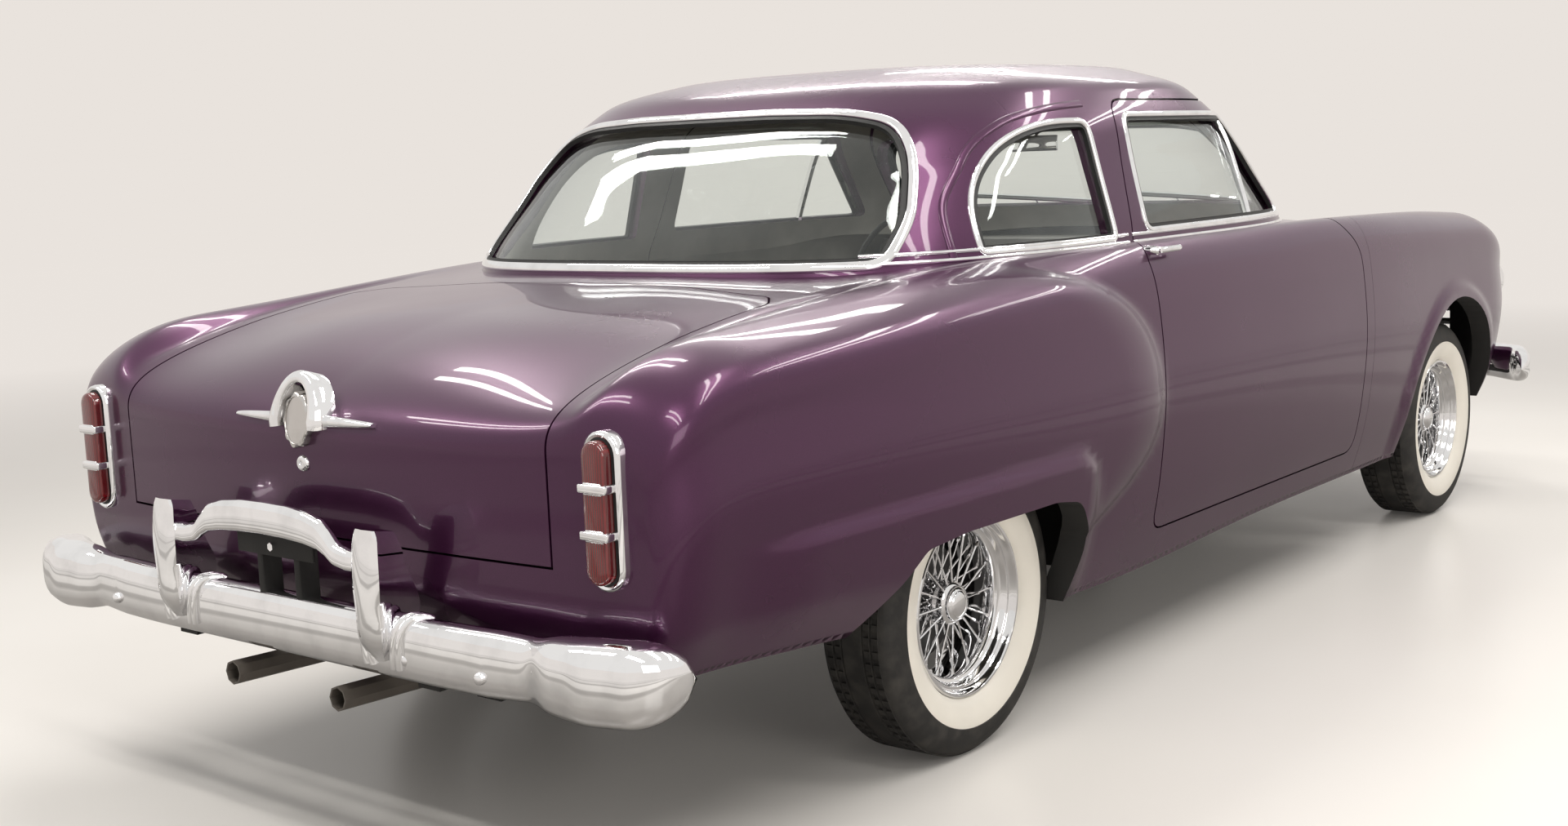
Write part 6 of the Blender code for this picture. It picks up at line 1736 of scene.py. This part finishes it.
    def build(self) -> None:
        """Build both bumpers."""
        y = self.rear_y
        parts = [self.bar(self.rear_bar, y, self.rear_wrap), self.arch()] + self.guards(y)
        parts += [aimed(turned(self.bolt, 20), 90, (x, y + self.half_y - 0.003, z)) for x, z in self.bolts_at]
        parts += [self.strap(x, side, apart) for x in (self.guard_x, -self.guard_x) for side in (1.0, -1.0)
                  for apart in (0.0, 0.017)]
        bracket = [painted(block((-0.125, y + 0.016, 0.612), (0.125, y + 0.024, 0.656), 0.003), 1)]
        bracket += [painted(block((x - 0.009, y - 0.03, 0.500), (x + 0.009, y + 0.018, self.arch_z), 0.003), 1)
                    for x in (-0.061, 0.061)]
        bracket.append(painted(rod((0, y + 0.02, 0.634), (0, y + 0.034, 0.634), 0.009, 6), 0))
        whole = merged([painted(part, 0) for part in parts] + bracket)
        fitted("rear_bumper", whole, Body.CAR, (CHROME, UNDERCOAT), 45)
        front = [self.bar(self.front_bar, self.front_y, self.front_wrap)] + self.guards(self.front_y)
        fitted("front_bumper", merged(front), Body.CAR, (CHROME,), 45)


@dataclass
class TailLamps:
    """Pill-shaped lamps with a chrome bezel and two bands over the lens."""

    x: float = 0.820
    half: float = 0.040
    low: float = 0.618
    high: float = 0.902
    bezel_y: float = 2.485
    lens_y: float = 2.507
    bands: tuple = (0.36, 0.66)

    def build(self) -> None:
        """Build both lamps."""
        for side in Side:
            x = side.value * self.x
            rim, lens = self.bezel_y, self.lens_y
            bezel = ((0.005, 2.34), (0.0045, rim - 0.010), (0.0030, rim - 0.003), (-0.002, rim),
                     (-0.0075, rim - 0.003), (-0.0085, rim - 0.014), (-0.0085, rim - 0.020))
            gasket = ((-0.007, 2.45), (-0.007, rim - 0.002), (-0.0125, rim - 0.001))
            dome = ((-0.0115, 2.45), (-0.0115, lens - 0.010), (-0.0125, lens - 0.006),
                    (-0.0150, lens - 0.003), (-0.0190, lens - 0.001), (-0.0260, lens))
            parts = [painted(stacked([pill(x, self.half + d, self.low - d, self.high + d, y) for d, y in profile]), k)
                     for k, profile in enumerate((bezel, gasket, dome))]
            reach = self.half - 0.006
            for share in self.bands:
                z = self.low + share * (self.high - self.low)
                parts.append(painted(block((x - reach, rim - 0.012, z - 0.0085),
                                           (x + reach, lens + 0.004, z + 0.0085), 0.004, 4), 0))
                parts.append(painted(block((x - 0.022, lens - 0.010, z - 0.0115),
                                           (x + 0.022, lens + 0.0015, z + 0.0115), 0.003, 3), 0))
            fitted(f"tail_lamp_{side.word}", merged(parts), Body.CAR, (CHROME, SEAL, RED))


@dataclass
class LidTrim:
    """Arch ornament with wings, and the lock below it."""

    face_y: float = 2.520
    z: float = 0.880
    half: float = 0.222
    arch_half: float = 0.078
    arch_high: float = 0.100
    band: float = 0.028
    lean: float = 0.30
    medal_half: float = 0.041
    medal_high: float = 0.056
    medal: tuple = ((1.0, -0.040), (1.0, 0.004), (0.96, 0.008), (0.86, 0.0095), (0.84, 0.007), (0.66, 0.0075),
                    (0.30, 0.0105))
    arch_profile: tuple = ((1.0, -0.040), (1.0, 0.002), (0.86, 0.0085), (0.55, 0.0120), (0.0, 0.0125),
                           (-0.55, 0.0095), (-0.80, 0.0070), (-0.86, 0.0030), (-1.0, 0.001), (-1.0, -0.040))
    lock_z: float = 0.790
    lock: tuple = ((0.0, 0.004), (0.004, 0.004), (0.0055, 0.0075), (0.010, 0.0085), (0.0135, 0.0075), (0.0165, 0.004),
                   (0.0175, -0.006), (0.0, -0.006))

    def build(self, lower: Surface) -> None:
        """Build the ornament and the lock.

        Args:
            lower: The lower body's skin.
        """
        parts = []
        for sign in (1, -1):
            loops = []
            for share in np.linspace(0.0, 1.0, 16):
                x = sign * (self.arch_half - 0.012 + share * (self.half - self.arch_half + 0.012))
                high = 0.0085 * (1 - share) ** 0.7 + 0.0045
                skin = lower.hit((x, 3.0, self.z), (0, -1, 0))[0].y
                y = skin + 0.010 * (1 - 0.6 * share)
                loops.append([(x, y + 0.010 * c, self.z + high * s) for c, s in compass(12)])
            parts.append(stacked(loops))
        middle = (self.arch_half - self.band / 2, self.arch_high - self.band / 2)
        path = []
        for angle in np.linspace(math.radians(-10), math.radians(190), 40):
            x, z = middle[0] * math.cos(angle), self.z + middle[1] * math.sin(angle)
            path.append((x, self.face_y + 0.006 - self.lean * max(z - self.z, 0.0), z))
        half = self.band / 2
        profile = [(half * x, y) for x, y in self.arch_profile]
        parts.append(swept(np.array(path), np.tile((0.0, 1.0, self.lean), (len(path), 1)), profile, False))
        rings = []
        for scale, y in self.medal:
            loop = []
            for angle in np.linspace(0, 2 * math.pi, 72, endpoint=False):
                wave = 1.0 + (0.045 * math.cos(9 * angle) if scale > 0.9 else 0.0)
                x, z = self.medal_half * wave * math.cos(angle), self.medal_high * wave * math.sin(angle)
                slant = 0.12 * self.medal_high * math.sin(angle)
                loop.append((scale * x, self.face_y - 0.006 + y - scale * slant, self.z + scale * z))
            rings.append(loop)
        parts.append(painted(stacked(rings), 1))
        fitted("lid_ornament", merged(parts), Body.TRUNK, (CHROME, MEDAL))
        place, _ = lower.hit((0.0, 3.0, self.lock_z), (0, -1, 0))
        piece("lid_lock", aimed(turned(self.lock, 32), 90, place), Body.TRUNK, (CHROME,), (), 50)


@dataclass
class SkinTrim:
    """Mouldings, seals and beads that follow the skin."""

    cabin: Surface
    bead: tuple = ((1.240, 1.118), (1.232, 1.175), (1.205, 1.245), (1.140, 1.312), (1.080, 1.365), (1.010, 1.405),
                   (0.930, 1.435), (0.850, 1.452), (0.740, 1.466), (0.620, 1.474))

    def along(self, points: Iterable[Sequence[float]], way: Sequence[float]) -> tuple:
        """Places and normals where rays from the points meet the cabin."""
        hits = [self.cabin.hit(point, way) for point in points]
        return np.array([h[0] for h in hits]), np.array([h[1] for h in hits])

    def frame(self, name: str, outline: Sequence[Flat], axis: str, sign: int, body: Body) -> None:
        """Put a chrome moulding and a rubber seal round an opening.

        Args:
            name: The piece's name.
            outline: The opening.
            axis: X for side windows, Y for the end ones.
            sign: Side of the car along that axis.
            body: What it rides on.
        """
        parts = []
        wide = 0.0125 if axis == "Y" else 0.0085
        for grow, half, high, index in ((0.6 * wide, wide, 0.0065, 0), (-0.005, 0.0065, -0.001, 1)):
            flat = dense(grown(outline, grow), 0.02)
            start = [(sign * 2.0, a, b) if axis == "X" else (a, sign * 3.0, b) for a, b in flat]
            way = (-sign, 0, 0) if axis == "X" else (0, -sign, 0)
            place, normal = self.along(start, way)
            parts.append(painted(swept(place, normal, half_round(half, high, 0.012), True), index))
        piece(name, merged(parts), body, (CHROME, SEAL), (), 50)

    def belt(self) -> None:
        """Run the double chrome line along the belt."""
        for side in Side:
            s = side.value
            spans = (("belt_trim_shell_", Body.CAR, np.linspace(1.425, 0.586, 46)),
                     ("belt_trim_door_", side.door, np.linspace(0.566, -0.520, 50)))
            for name, body, places in spans:
                parts = []
                for z, half in ((1.120, 0.0055), (1.139, 0.0050)):
                    place, normal = self.along([(s * 2.0, y, z) for y in places], (-s, 0, 0))
                    parts.append(swept(place, normal, half_round(half, 0.0055), False))
                piece(name + side.word, merged(parts), body, (CHROME,), (), 50)

    def beads(self) -> None:
        """Lay the painted beads round the quarter windows."""
        for side in Side:
            s = side.value
            smooth = spline(np.arange(len(self.bead)), np.array(self.bead), np.linspace(0, len(self.bead) - 1, 60))
            place, normal = self.along([(s * 2.0, y, z) for y, z in smooth], (-s, 0, 0))
            bead = swept(place, normal, half_round(0.011, 0.0045, 0.003), False)
            piece("quarter_beads_" + side.word, bead, Body.CAR, (PAINT,), (), 60)

    def vents(self) -> None:
        """Stand the bar between door glass and vent glass."""
        for side in Side:
            s = side.value
            flat = [(-0.205 + 0.020 * t, 1.146 + 0.300 * (1 - t)) for t in np.linspace(0, 1, 16)]
            place, normal = self.along([(s * 2.0, y, z) for y, z in flat], (-s, 0, 0))
            bar = swept(place - 0.010 * normal, normal, half_round(0.0080, 0.0090, 0.010), False)
            piece("vent_divider_" + side.word, bar, side.door, (CHROME,), (), 50)

    def build(self, lines: dict[str, list[Flat]]) -> None:
        """Build all trim that follows the skin.

        Args:
            lines: The openings.
        """
        self.frame("rear_window_moulding", lines["rear"], "Y", 1, Body.CAR)
        self.frame("windshield_moulding", lines["shield"], "Y", -1, Body.CAR)
        for side in Side:
            self.frame("quarter_moulding_" + side.word, lines["quarter"], "X", side.value, Body.CAR)
            self.frame("door_window_moulding_" + side.word, lines["window"], "X", side.value, side.door)
        self.belt()
        self.beads()
        self.vents()


@dataclass
class Handles:
    """Door handles with a push button."""

    y: float = 0.500
    z: float = 1.098
    half: float = 0.062
    reach: float = 0.016

    def build(self, lower: Surface) -> None:
        """Build both handles.

        Args:
            lower: The lower body's skin.
        """
        for side in Side:
            s = side.value
            skin = abs(lower.hit((s * 2.0, self.y, self.z - 0.03), (-s, 0, 0))[0].x)
            out = skin + self.reach
            shape = [(skin - 0.004, 1.0), (out - 0.004, 0.92), (out, 0.75), (out, 0.3), (out, -0.3), (out, -0.8),
                     (out - 0.003, -1.0)]
            path = np.array([(s * x, self.y + t * self.half, self.z) for x, t in shape])
            grip = swept(path, np.tile((0.0, 0.0, 1.0), (len(path), 1)), round_bar(0.0075, 12, 1.15), False)
            foot = self.y + 0.86 * self.half
            base, button = (rod((s * (skin - 0.03), foot, self.z), (s * (out + lift), foot, self.z), radius, 20, end)
                            for lift, radius, end in ((-0.006, 0.013, 0.011), (0.006, 0.0075, 0.0068)))
            fitted(f"door_handle_{side.word}", merged([grip, base, button]), side.door, (CHROME,))


@dataclass
class FrontEnd:
    """Grille bars, headlamps and wipers."""

    lamp_x: float = 0.750
    lamp_y: float = -2.459
    lamp_z: float = 0.790
    radius: float = 0.0877
    half: float = 0.6397
    low: float = 0.516
    high: float = 0.674
    grille_y: float = -2.4325
    blades: tuple = ((0.02, 0.46), (-0.52, -0.08))

    def build(self, cabin: Surface) -> None:
        """Build the front end.

        Args:
            cabin: The cabin's skin, which the wipers lie on.
        """
        rim = [(0.0, -0.040), (self.radius, -0.040), (self.radius, 0.034), (self.radius - 0.002, 0.043), (0.082, 0.048),
               (0.078, 0.046), (0.0755, 0.040), (0.0755, 0.030), (0.0, 0.030)]
        lens = [(0.0760, 0.026), (0.0755, 0.040), (0.068, 0.048), (0.052, 0.056), (0.030, 0.062), (0.0, 0.064)]
        for side in Side:
            lamp = merged([painted(turned(rim, 64), 0), painted(turned(lens, 64), 1)])
            aimed(lamp, -90, (side.value * self.lamp_x, self.lamp_y, self.lamp_z))
            fitted(f"headlamp_{side.word}", lamp, Body.CAR, (CHROME, LAMP_GLASS))
        self.grille()
        self.wipers(cabin)

    def bowed(self, x: float) -> float:
        """Place along the car of the grille's bars, which follow the nose's bow."""
        return self.grille_y - FORM.nose_bow * (1 - (x / FORM.half) ** 2)

    def grille(self) -> None:
        """Lay the long bars and stand the short ones."""
        xs = np.linspace(-self.half, self.half, 41)
        bars = []
        for z in np.linspace(self.low, self.high, 4):
            path = np.array([(x, self.bowed(x), z) for x in xs])
            bars.append(swept(path, np.tile((0.0, -1.0, 0.0), (len(xs), 1)), round_bar(0.0150, 14, 0.95), False))
        for x in 0.9 * self.half * np.linspace(-1.0, 1.0, 9):
            y = self.bowed(x)
            bars.append(block((x - 0.005, y - 0.010, self.low), (x + 0.005, y + 0.010, self.high), 0.003, 2))
        fitted("grille", merged(bars), Body.CAR, (CHROME,))

    def wipers(self, cabin: Surface) -> None:
        """Lay blades and arms on the windshield.

        Args:
            cabin: The cabin's skin.
        """
        parts = []
        for start, stop in self.blades:
            hits = [cabin.hit((start + (stop - start) * t, -3.0, 1.172 + 0.030 * t), (0, 1, 0))
                    for t in np.linspace(0, 1, 14)]
            place, normal = (np.array([hit[k] for hit in hits]) for k in (0, 1))
            holder = [(0.004, -0.003), (0.004, 0.003), (-0.004, 0.003), (-0.004, -0.003)]
            rubber = [(0.0035, -0.004), (0.002, 0.008), (-0.002, 0.008), (-0.0035, -0.004)]
            parts.append(painted(swept(place + 0.010 * normal, normal, holder, False), 0))
            parts.append(painted(swept(place, normal, rubber, False), 1))
            middle = place[7] + 0.014 * normal[7]
            foot = cabin.hit((0.5 * (start + stop), -3.0, 1.130), (0, 1, 0))[0]
            parts.append(painted(rod(foot, middle, 0.0045, 10, 0.003), 0))
            pivot = rod(foot + Vector((0, 0.02, 0)), foot + Vector((0, -0.012, 0.012)), 0.013, 20, 0.010)
            parts.append(painted(pivot, 0))
        piece("wipers", merged(parts), Body.CAR, (CHROME, SEAL), (), 40)


@dataclass
class Cabin:
    """Benches, dash dials, steering wheel and mirror."""

    half: float = 0.585
    cell: float = 0.014
    frames: int = 20
    cap: float = 0.022
    pressure: float = 4.0
    channels: int = 10
    channel: float = 0.010
    back_lean: float = 0.17
    welt: float = 0.004
    wheel_at: tuple = (0.380, -0.200, 0.985)
    tilt: float = 26.0
    dials_at: tuple = ((0.300, 0.058), (0.460, 0.058), (-0.300, 0.045))
    dials_y: float = -0.548
    dials_z: float = 0.960

    def pad(self, low: Sequence[float], high: Sequence[float], lean: float, panels: int) -> bmesh.types.BMesh:
        """Blow up one seat pad and sew its channels.

        Args:
            low: Its lowest corner.
            high: Its highest corner.
            lean: How far it leans back to the metre.
            panels: Sewn panels across it.

        Returns:
            The pad.
        """
        bm = block([a + 0.010 for a in low], [b - 0.010 for b in high], 0.030, 3)
        thing = linked("pad", frozen_mesh("pad", bm))
        remesh = thing.modifiers.new("cells", "REMESH")
        remesh.mode = "VOXEL"
        remesh.voxel_size = self.cell
        solid = bpy.data.meshes.new_from_object(thing.evaluated_get(bpy.context.evaluated_depsgraph_get()))
        thing.modifiers.clear()
        thing.data = solid
        before = np.array([v.co for v in solid.vertices])
        cloth = thing.modifiers.new("cloth", "CLOTH")
        cloth.settings.use_pressure = True
        cloth.settings.uniform_pressure_force = self.pressure
        cloth.settings.effector_weights.gravity = 0.0
        cloth.settings.quality = 4
        scene = bpy.context.scene
        for number in range(1, self.frames + 1):
            scene.frame_set(number)
        blown = thing.evaluated_get(bpy.context.evaluated_depsgraph_get()).to_mesh()
        after = np.array([v.co for v in blown.vertices])
        scene.frame_set(1)
        thing.modifiers.clear()
        move = after - before
        length = np.linalg.norm(move, axis=1, keepdims=True)
        before = before + move * np.minimum(1.0, self.cap / np.maximum(length, 1e-9))
        normals = np.array([v.normal for v in solid.vertices])
        share = ((before[:, 0] - low[0]) / (high[0] - low[0]) * panels) % 1.0
        seam = np.exp(-(np.minimum(share, 1.0 - share) / 0.055) ** 2)
        inner = eased((np.minimum(before[:, 0] - low[0], high[0] - before[:, 0]) - 0.03) / 0.02)
        before = before - normals * (self.channel * seam * inner)[:, None]
        welt = np.exp(-((before[:, 2] - (high[2] - 0.030)) / 0.006) ** 2)
        before = before - normals * (self.welt * welt * (high[2] - low[2] < 0.3))[:, None]
        before[:, 1] += lean * (before[:, 2] - low[2])
        room = np.array((0.001, 0.001 + abs(lean) * 0.5, 0.001))
        before = np.clip(before, np.array(low) - 0.001, np.array(high) + room)
        bm = bmesh.new()
        bm.from_mesh(solid)
        for vert in bm.verts:
            vert.co = before[vert.index]
        discard(thing)
        return bm

    def seats(self) -> None:
        """Build both benches."""
        rows = (("front_seat", ((0.036, 0.520), (0.420, 0.598)), ((0.462, 0.585), (0.560, 1.012)),
                 ((0.080, 0.560), (0.3455, 0.430))),
                ("rear_seat", ((0.704, 1.080), (0.480, 0.640)), ((1.020, 1.130), (0.600, 1.012)),
                 ((0.740, 0.845), (0.3455, 0.500))))
        for node, cushion_at, back_at, (py, pz) in rows:
            parts = []
            for (ys, zs), lean in ((cushion_at, 0.0), (back_at, self.back_lean)):
                pad = self.pad((-self.half, ys[0], zs[0]), (self.half, ys[1], zs[1]), lean, self.channels)
                parts.append(painted(pad, 0))
            for x in (0.36, -0.36):
                parts.append(painted(block((x - 0.20, py[0], pz[0]), (x + 0.20, py[1], pz[1]), 0.01), 1))
            made = fitted(node, merged(parts), Body.CAR, (UPHOLSTERY, CARPET), 60)
            smooth = made.modifiers.new("smooth", "SUBSURF")
            smooth.levels = smooth.render_levels = 1

    def wheel(self) -> None:
        """Build the steering wheel with its horn ring."""
        def ring(radius: float, thick: float, x: float) -> bmesh.types.BMesh:
            """A round ring about the column."""
            loop = [(radius + thick * c, x + thick * s) for c, s in compass(12)]
            return turned(loop + loop[:1], 72)

        parts = [painted(ring(0.215, 0.0105, 0.0), 0), painted(ring(0.105, 0.0035, 0.012), 1)]
        hub = [(0.0, -0.014), (0.032, -0.014), (0.034, 0.004), (0.030, 0.014), (0.018, 0.018), (0.0, 0.0195)]
        parts.append(painted(turned(hub, 40), 1))
        for k in range(3):
            angle = math.radians(90 + 120 * k)
            tip = (0.0, 0.212 * math.sin(angle), 0.212 * math.cos(angle))
            parts.append(painted(rod((0, 0, 0), tip, 0.0075, 12, 0.0058), 0))
        whole = merged(parts)
        axis = Vector((0, math.cos(math.radians(self.tilt)), math.sin(math.radians(self.tilt))))
        turn = Vector((1, 0, 0)).rotation_difference(axis).to_matrix().to_4x4()
        bmesh.ops.transform(whole, matrix=Matrix.Translation(self.wheel_at) @ turn, verts=whole.verts)
        fitted("steering_wheel", whole, Body.STEERING, (BLACK_TRIM, CHROME), 40)

    def dials(self) -> None:
        """Set two round dials and the mirror."""
        parts = []
        for x, radius in self.dials_at:
            rim = [(0.0, -0.02), (radius, -0.02), (radius, 0.010), (radius - 0.004, 0.014), (radius - 0.009, 0.009),
                   (radius - 0.010, 0.005), (0.0, 0.005)]
            bm = turned(rim, 48)
            for face in bm.faces:
                centre = face.calc_center_median()
                inside = centre.x > 0.004 and math.hypot(centre.y, centre.z) < radius - 0.0095
                face.material_index = 1 if inside else 0
            marks = [rod((0.007, 0, 0), (0.007, -0.5 * radius, 0.5 * radius), 0.0018, 6, 0.0008)]
            reach = 0.8 * (radius - 0.01)
            for angle in np.radians(np.linspace(30, 330, 12)):
                y, z = reach * math.sin(angle), -reach * math.cos(angle)
                marks.append(rod((0.0052, y, z), (0.0052, 1.15 * y, 1.15 * z), 0.0012, 4))
            whole = merged([bm] + [painted(mark, 2) for mark in marks])
            parts.append(aimed(whole, 90, (x, self.dials_y, self.dials_z)))
        piece("dash_dials", merged(parts), Body.CAR, (CHROME, DIAL, BLACK_TRIM), (), 40)
        mirror = [painted(block((-0.085, -0.395, 1.355), (0.085, -0.383, 1.405), 0.005), 0),
                  painted(rod((0.0, -0.392, 1.400), (0.0, -0.470, 1.450), 0.005, 12, 0.008), 0)]
        piece("mirror", merged(mirror), Body.CAR, (CHROME,), (), 40)

    def build(self) -> None:
        """Build the cabin's pieces."""
        self.seats()
        self.wheel()
        self.dials()


@dataclass
class Studio:
    """Floor, lamps, world and camera."""

    place: tuple = (-3.0398, 4.7009, 1.3719)
    yaw: float = 140.975
    pitch: float = -8.145
    roll: float = -2.249
    lens: float = 41.25
    world_strengths: Flat = (0.42, 0.90)
    floor_reach: float = 26.0
    floor_bend: float = 2.0
    wall_high: float = 7.0
    strip_size: Flat = (2.4, 0.13)
    strip_gap: float = 0.34
    strip_z: float = 3.3
    strip_watts: float = 20.0
    fill_watts: float = 55.0

    def camera(self) -> None:
        """Set the camera at the photograph's viewing angle."""
        yaw, pitch, roll = (math.radians(v) for v in (self.yaw, self.pitch, self.roll))
        ahead = Vector((math.sin(yaw) * math.cos(pitch), math.cos(yaw) * math.cos(pitch), math.sin(pitch)))
        right = Vector((math.cos(yaw), -math.sin(yaw), 0.0))
        above = right.cross(ahead)
        level = math.cos(roll) * right + math.sin(roll) * above
        head = -math.sin(roll) * right + math.cos(roll) * above
        data = bpy.data.cameras.new("camera")
        data.lens = self.lens
        data.sensor_width = 36.0
        data.clip_end = 200.0
        camera = linked("camera", data)
        turn = Matrix((level, head, -ahead)).transposed().to_4x4()
        camera.matrix_world = Matrix.Translation(self.place) @ turn
        bpy.context.scene.camera = camera

    def world(self) -> None:
        """Light the scene from a pale world, brighter to camera, glossy and transmission rays than to diffuse ones."""
        world = bpy.data.worlds.new("studio")
        world.use_nodes = True
        tree = world.node_tree
        back = tree.nodes["Background"]
        path = tree.nodes.new("ShaderNodeLightPath")
        through, seen = (tree.nodes.new("ShaderNodeMath") for _ in range(2))
        through.operation = seen.operation = "MAXIMUM"
        strength = tree.nodes.new("ShaderNodeMapRange")
        strength.inputs["To Min"].default_value, strength.inputs["To Max"].default_value = self.world_strengths
        back.inputs["Color"].default_value = (0.93, 0.91, 0.88, 1.0)
        for output, socket in ((path.outputs["Is Camera Ray"], through.inputs[0]),
                               (path.outputs["Is Transmission Ray"], through.inputs[1]),
                               (path.outputs["Is Glossy Ray"], seen.inputs[0]),
                               (through.outputs[0], seen.inputs[1]),
                               (seen.outputs[0], strength.inputs["Value"]),
                               (strength.outputs[0], back.inputs["Strength"])):
            tree.links.new(output, socket)
        bpy.context.scene.world = world

    def floor(self) -> None:
        """Lay the pale floor with its wall, which glow where they are seen from 4 m outwards; to glossy rays the floor
        is painted darker near the car and in rings, a painted shade in its reflections.
        """
        reach, bend = self.floor_reach, self.floor_bend
        profile = [(0.0, 0.0), (reach, 0.0)]
        profile += [(reach + bend * math.sin(a), bend - bend * math.cos(a)) for a in np.linspace(0.1, math.pi / 2, 8)]
        profile.append((reach + bend, self.wall_high))
        bm = turned(profile, 64)
        bmesh.ops.rotate(bm, cent=(0, 0, 0), matrix=Matrix.Rotation(-math.pi / 2, 3, "Y"), verts=bm.verts)
        bmesh.ops.reverse_faces(bm, faces=[f for f in bm.faces if f.calc_center_median().dot(f.normal) > 0.05])
        mesh = frozen_mesh("studio_floor", bm)
        floor = linked("studio_floor", mesh)
        graph = Graph("studio_floor")
        cloud = graph.noise(0.8, 3.0).ramp(0.3, 0.7)
        away = graph.node("ShaderNodeVectorMath", {"operation": "LENGTH"}, {0: graph.place((1.0, 1.0, 2.0))}, 1)
        bands = graph.node("ShaderNodeMath", {"operation": "SINE"}, {0: away * 4.2}).ramp(-0.9, -0.3)
        camera, glossy, through = (graph.node("ShaderNodeLightPath", {}, {}, slot) for slot in (0, 3, 6))
        # Painted shade in reflections: glossy rays see the floor blended 80% towards dark grey within about 3.2 m, and
        # in dark rings from 5 m outwards.
        reflected_painted_shade = glossy * (1.0 - away.ramp(3.2, 5.0) * bands) * 0.80
        tone = graph.blend(cloud, (0.86, 0.83, 0.79), (0.89, 0.865, 0.83))
        tone = graph.blend(reflected_painted_shade, tone, (0.16, 0.145, 0.13))
        graph.dress(Base_Color=tone, Roughness=0.30, Specular_IOR_Level=0.35)
        seen = graph.node("ShaderNodeMath", {"operation": "MAXIMUM"}, {0: camera, 1: glossy})
        seen = graph.node("ShaderNodeMath", {"operation": "MAXIMUM"}, {0: seen, 1: through})
        glow = graph.node("ShaderNodeEmission", {}, {"Color": (0.85, 0.80, 0.755, 1.0), "Strength": 0.97})
        share = seen * (away.ramp(4.0, 10.0) * 0.94 + 0.04)
        mixed = graph.node("ShaderNodeMixShader", {}, {0: share, 1: Term(graph, graph.shader.outputs[0]), 2: glow})
        graph.feed(graph.tree.nodes["Material Output"].inputs["Surface"], mixed)
        mesh.materials.append(graph.material)

    def strip(self, name: str, centre: Sequence[float], size: Flat, watts: float, aim: Sequence[float]) -> None:
        """Hang one soft strip lamp.

        Args:
            name: Its name.
            centre: Where it hangs.
            size: Its width and length.
            watts: Its power.
            aim: Where it points.
        """
        data = bpy.data.lights.new(name, "AREA")
        data.shape = "RECTANGLE"
        data.size, data.size_y = size
        data.energy = watts
        data.color = (1.0, 0.97, 0.93)
        lamp = linked(name, data)
        lamp.location = centre
        way = Vector(aim) - Vector(centre)
        lamp.rotation_euler = way.to_track_quat("-Z", "Y").to_euler()

    def build(self) -> None:
        """Set up camera, world, floor and lamps."""
        bpy.context.scene.view_settings.view_transform = "Standard"
        self.camera()
        self.world()
        self.floor()
        for row, y in enumerate((-3.4, -1.2, 1.0, 3.2)):
            for column, x in enumerate((-2.3, 1.3)):
                for k in range(2):
                    spot = (x, y + self.strip_gap * k)
                    self.strip(f"strip_{row}_{column}_{k}", (*spot, self.strip_z), self.strip_size, self.strip_watts,
                               (*spot, 0.0))
        self.strip("side_fill", (-6.0, 3.5, 2.6), (3.0, 2.0), self.fill_watts, (0.0, 0.5, 0.7))


def dress_nodes() -> None:
    """Give the nodes that stay their own finishes."""
    looks = {"chassis_frame": UNDERCOAT, "floor_pan": UNDERCOAT, "engine_block": IRON, "fuel_tank": UNDERCOAT,
             "rear_axle": STEEL, "knuckle_left": STEEL, "knuckle_right": STEEL, "exhaust_left": EXHAUST,
             "exhaust_right": EXHAUST, "dashboard": GREY_PAINT, "rear_shelf": SHELF}
    for name, look in looks.items():
        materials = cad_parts[name].data.materials
        materials.clear()
        materials.append(look.material())


def main() -> None:
    """Build every sub-assembly in order and report it."""
    logging.basicConfig(level=logging.INFO, format="%(name)s: %(message)s")
    Studio().build()
    dress_nodes()
    panels = Panels()
    surfaces = panels.build()
    Glazing().build(panels)
    WireWheel().build()
    Bumpers().build()
    TailLamps().build()
    LidTrim().build(surfaces[Sheet.LOWER])
    SkinTrim(surfaces[Sheet.CABIN]).build(panels.outlines())
    Handles().build(surfaces[Sheet.LOWER])
    FrontEnd().build(surfaces[Sheet.CABIN])
    Cabin().build()


if __name__ == "__main__":
    main()
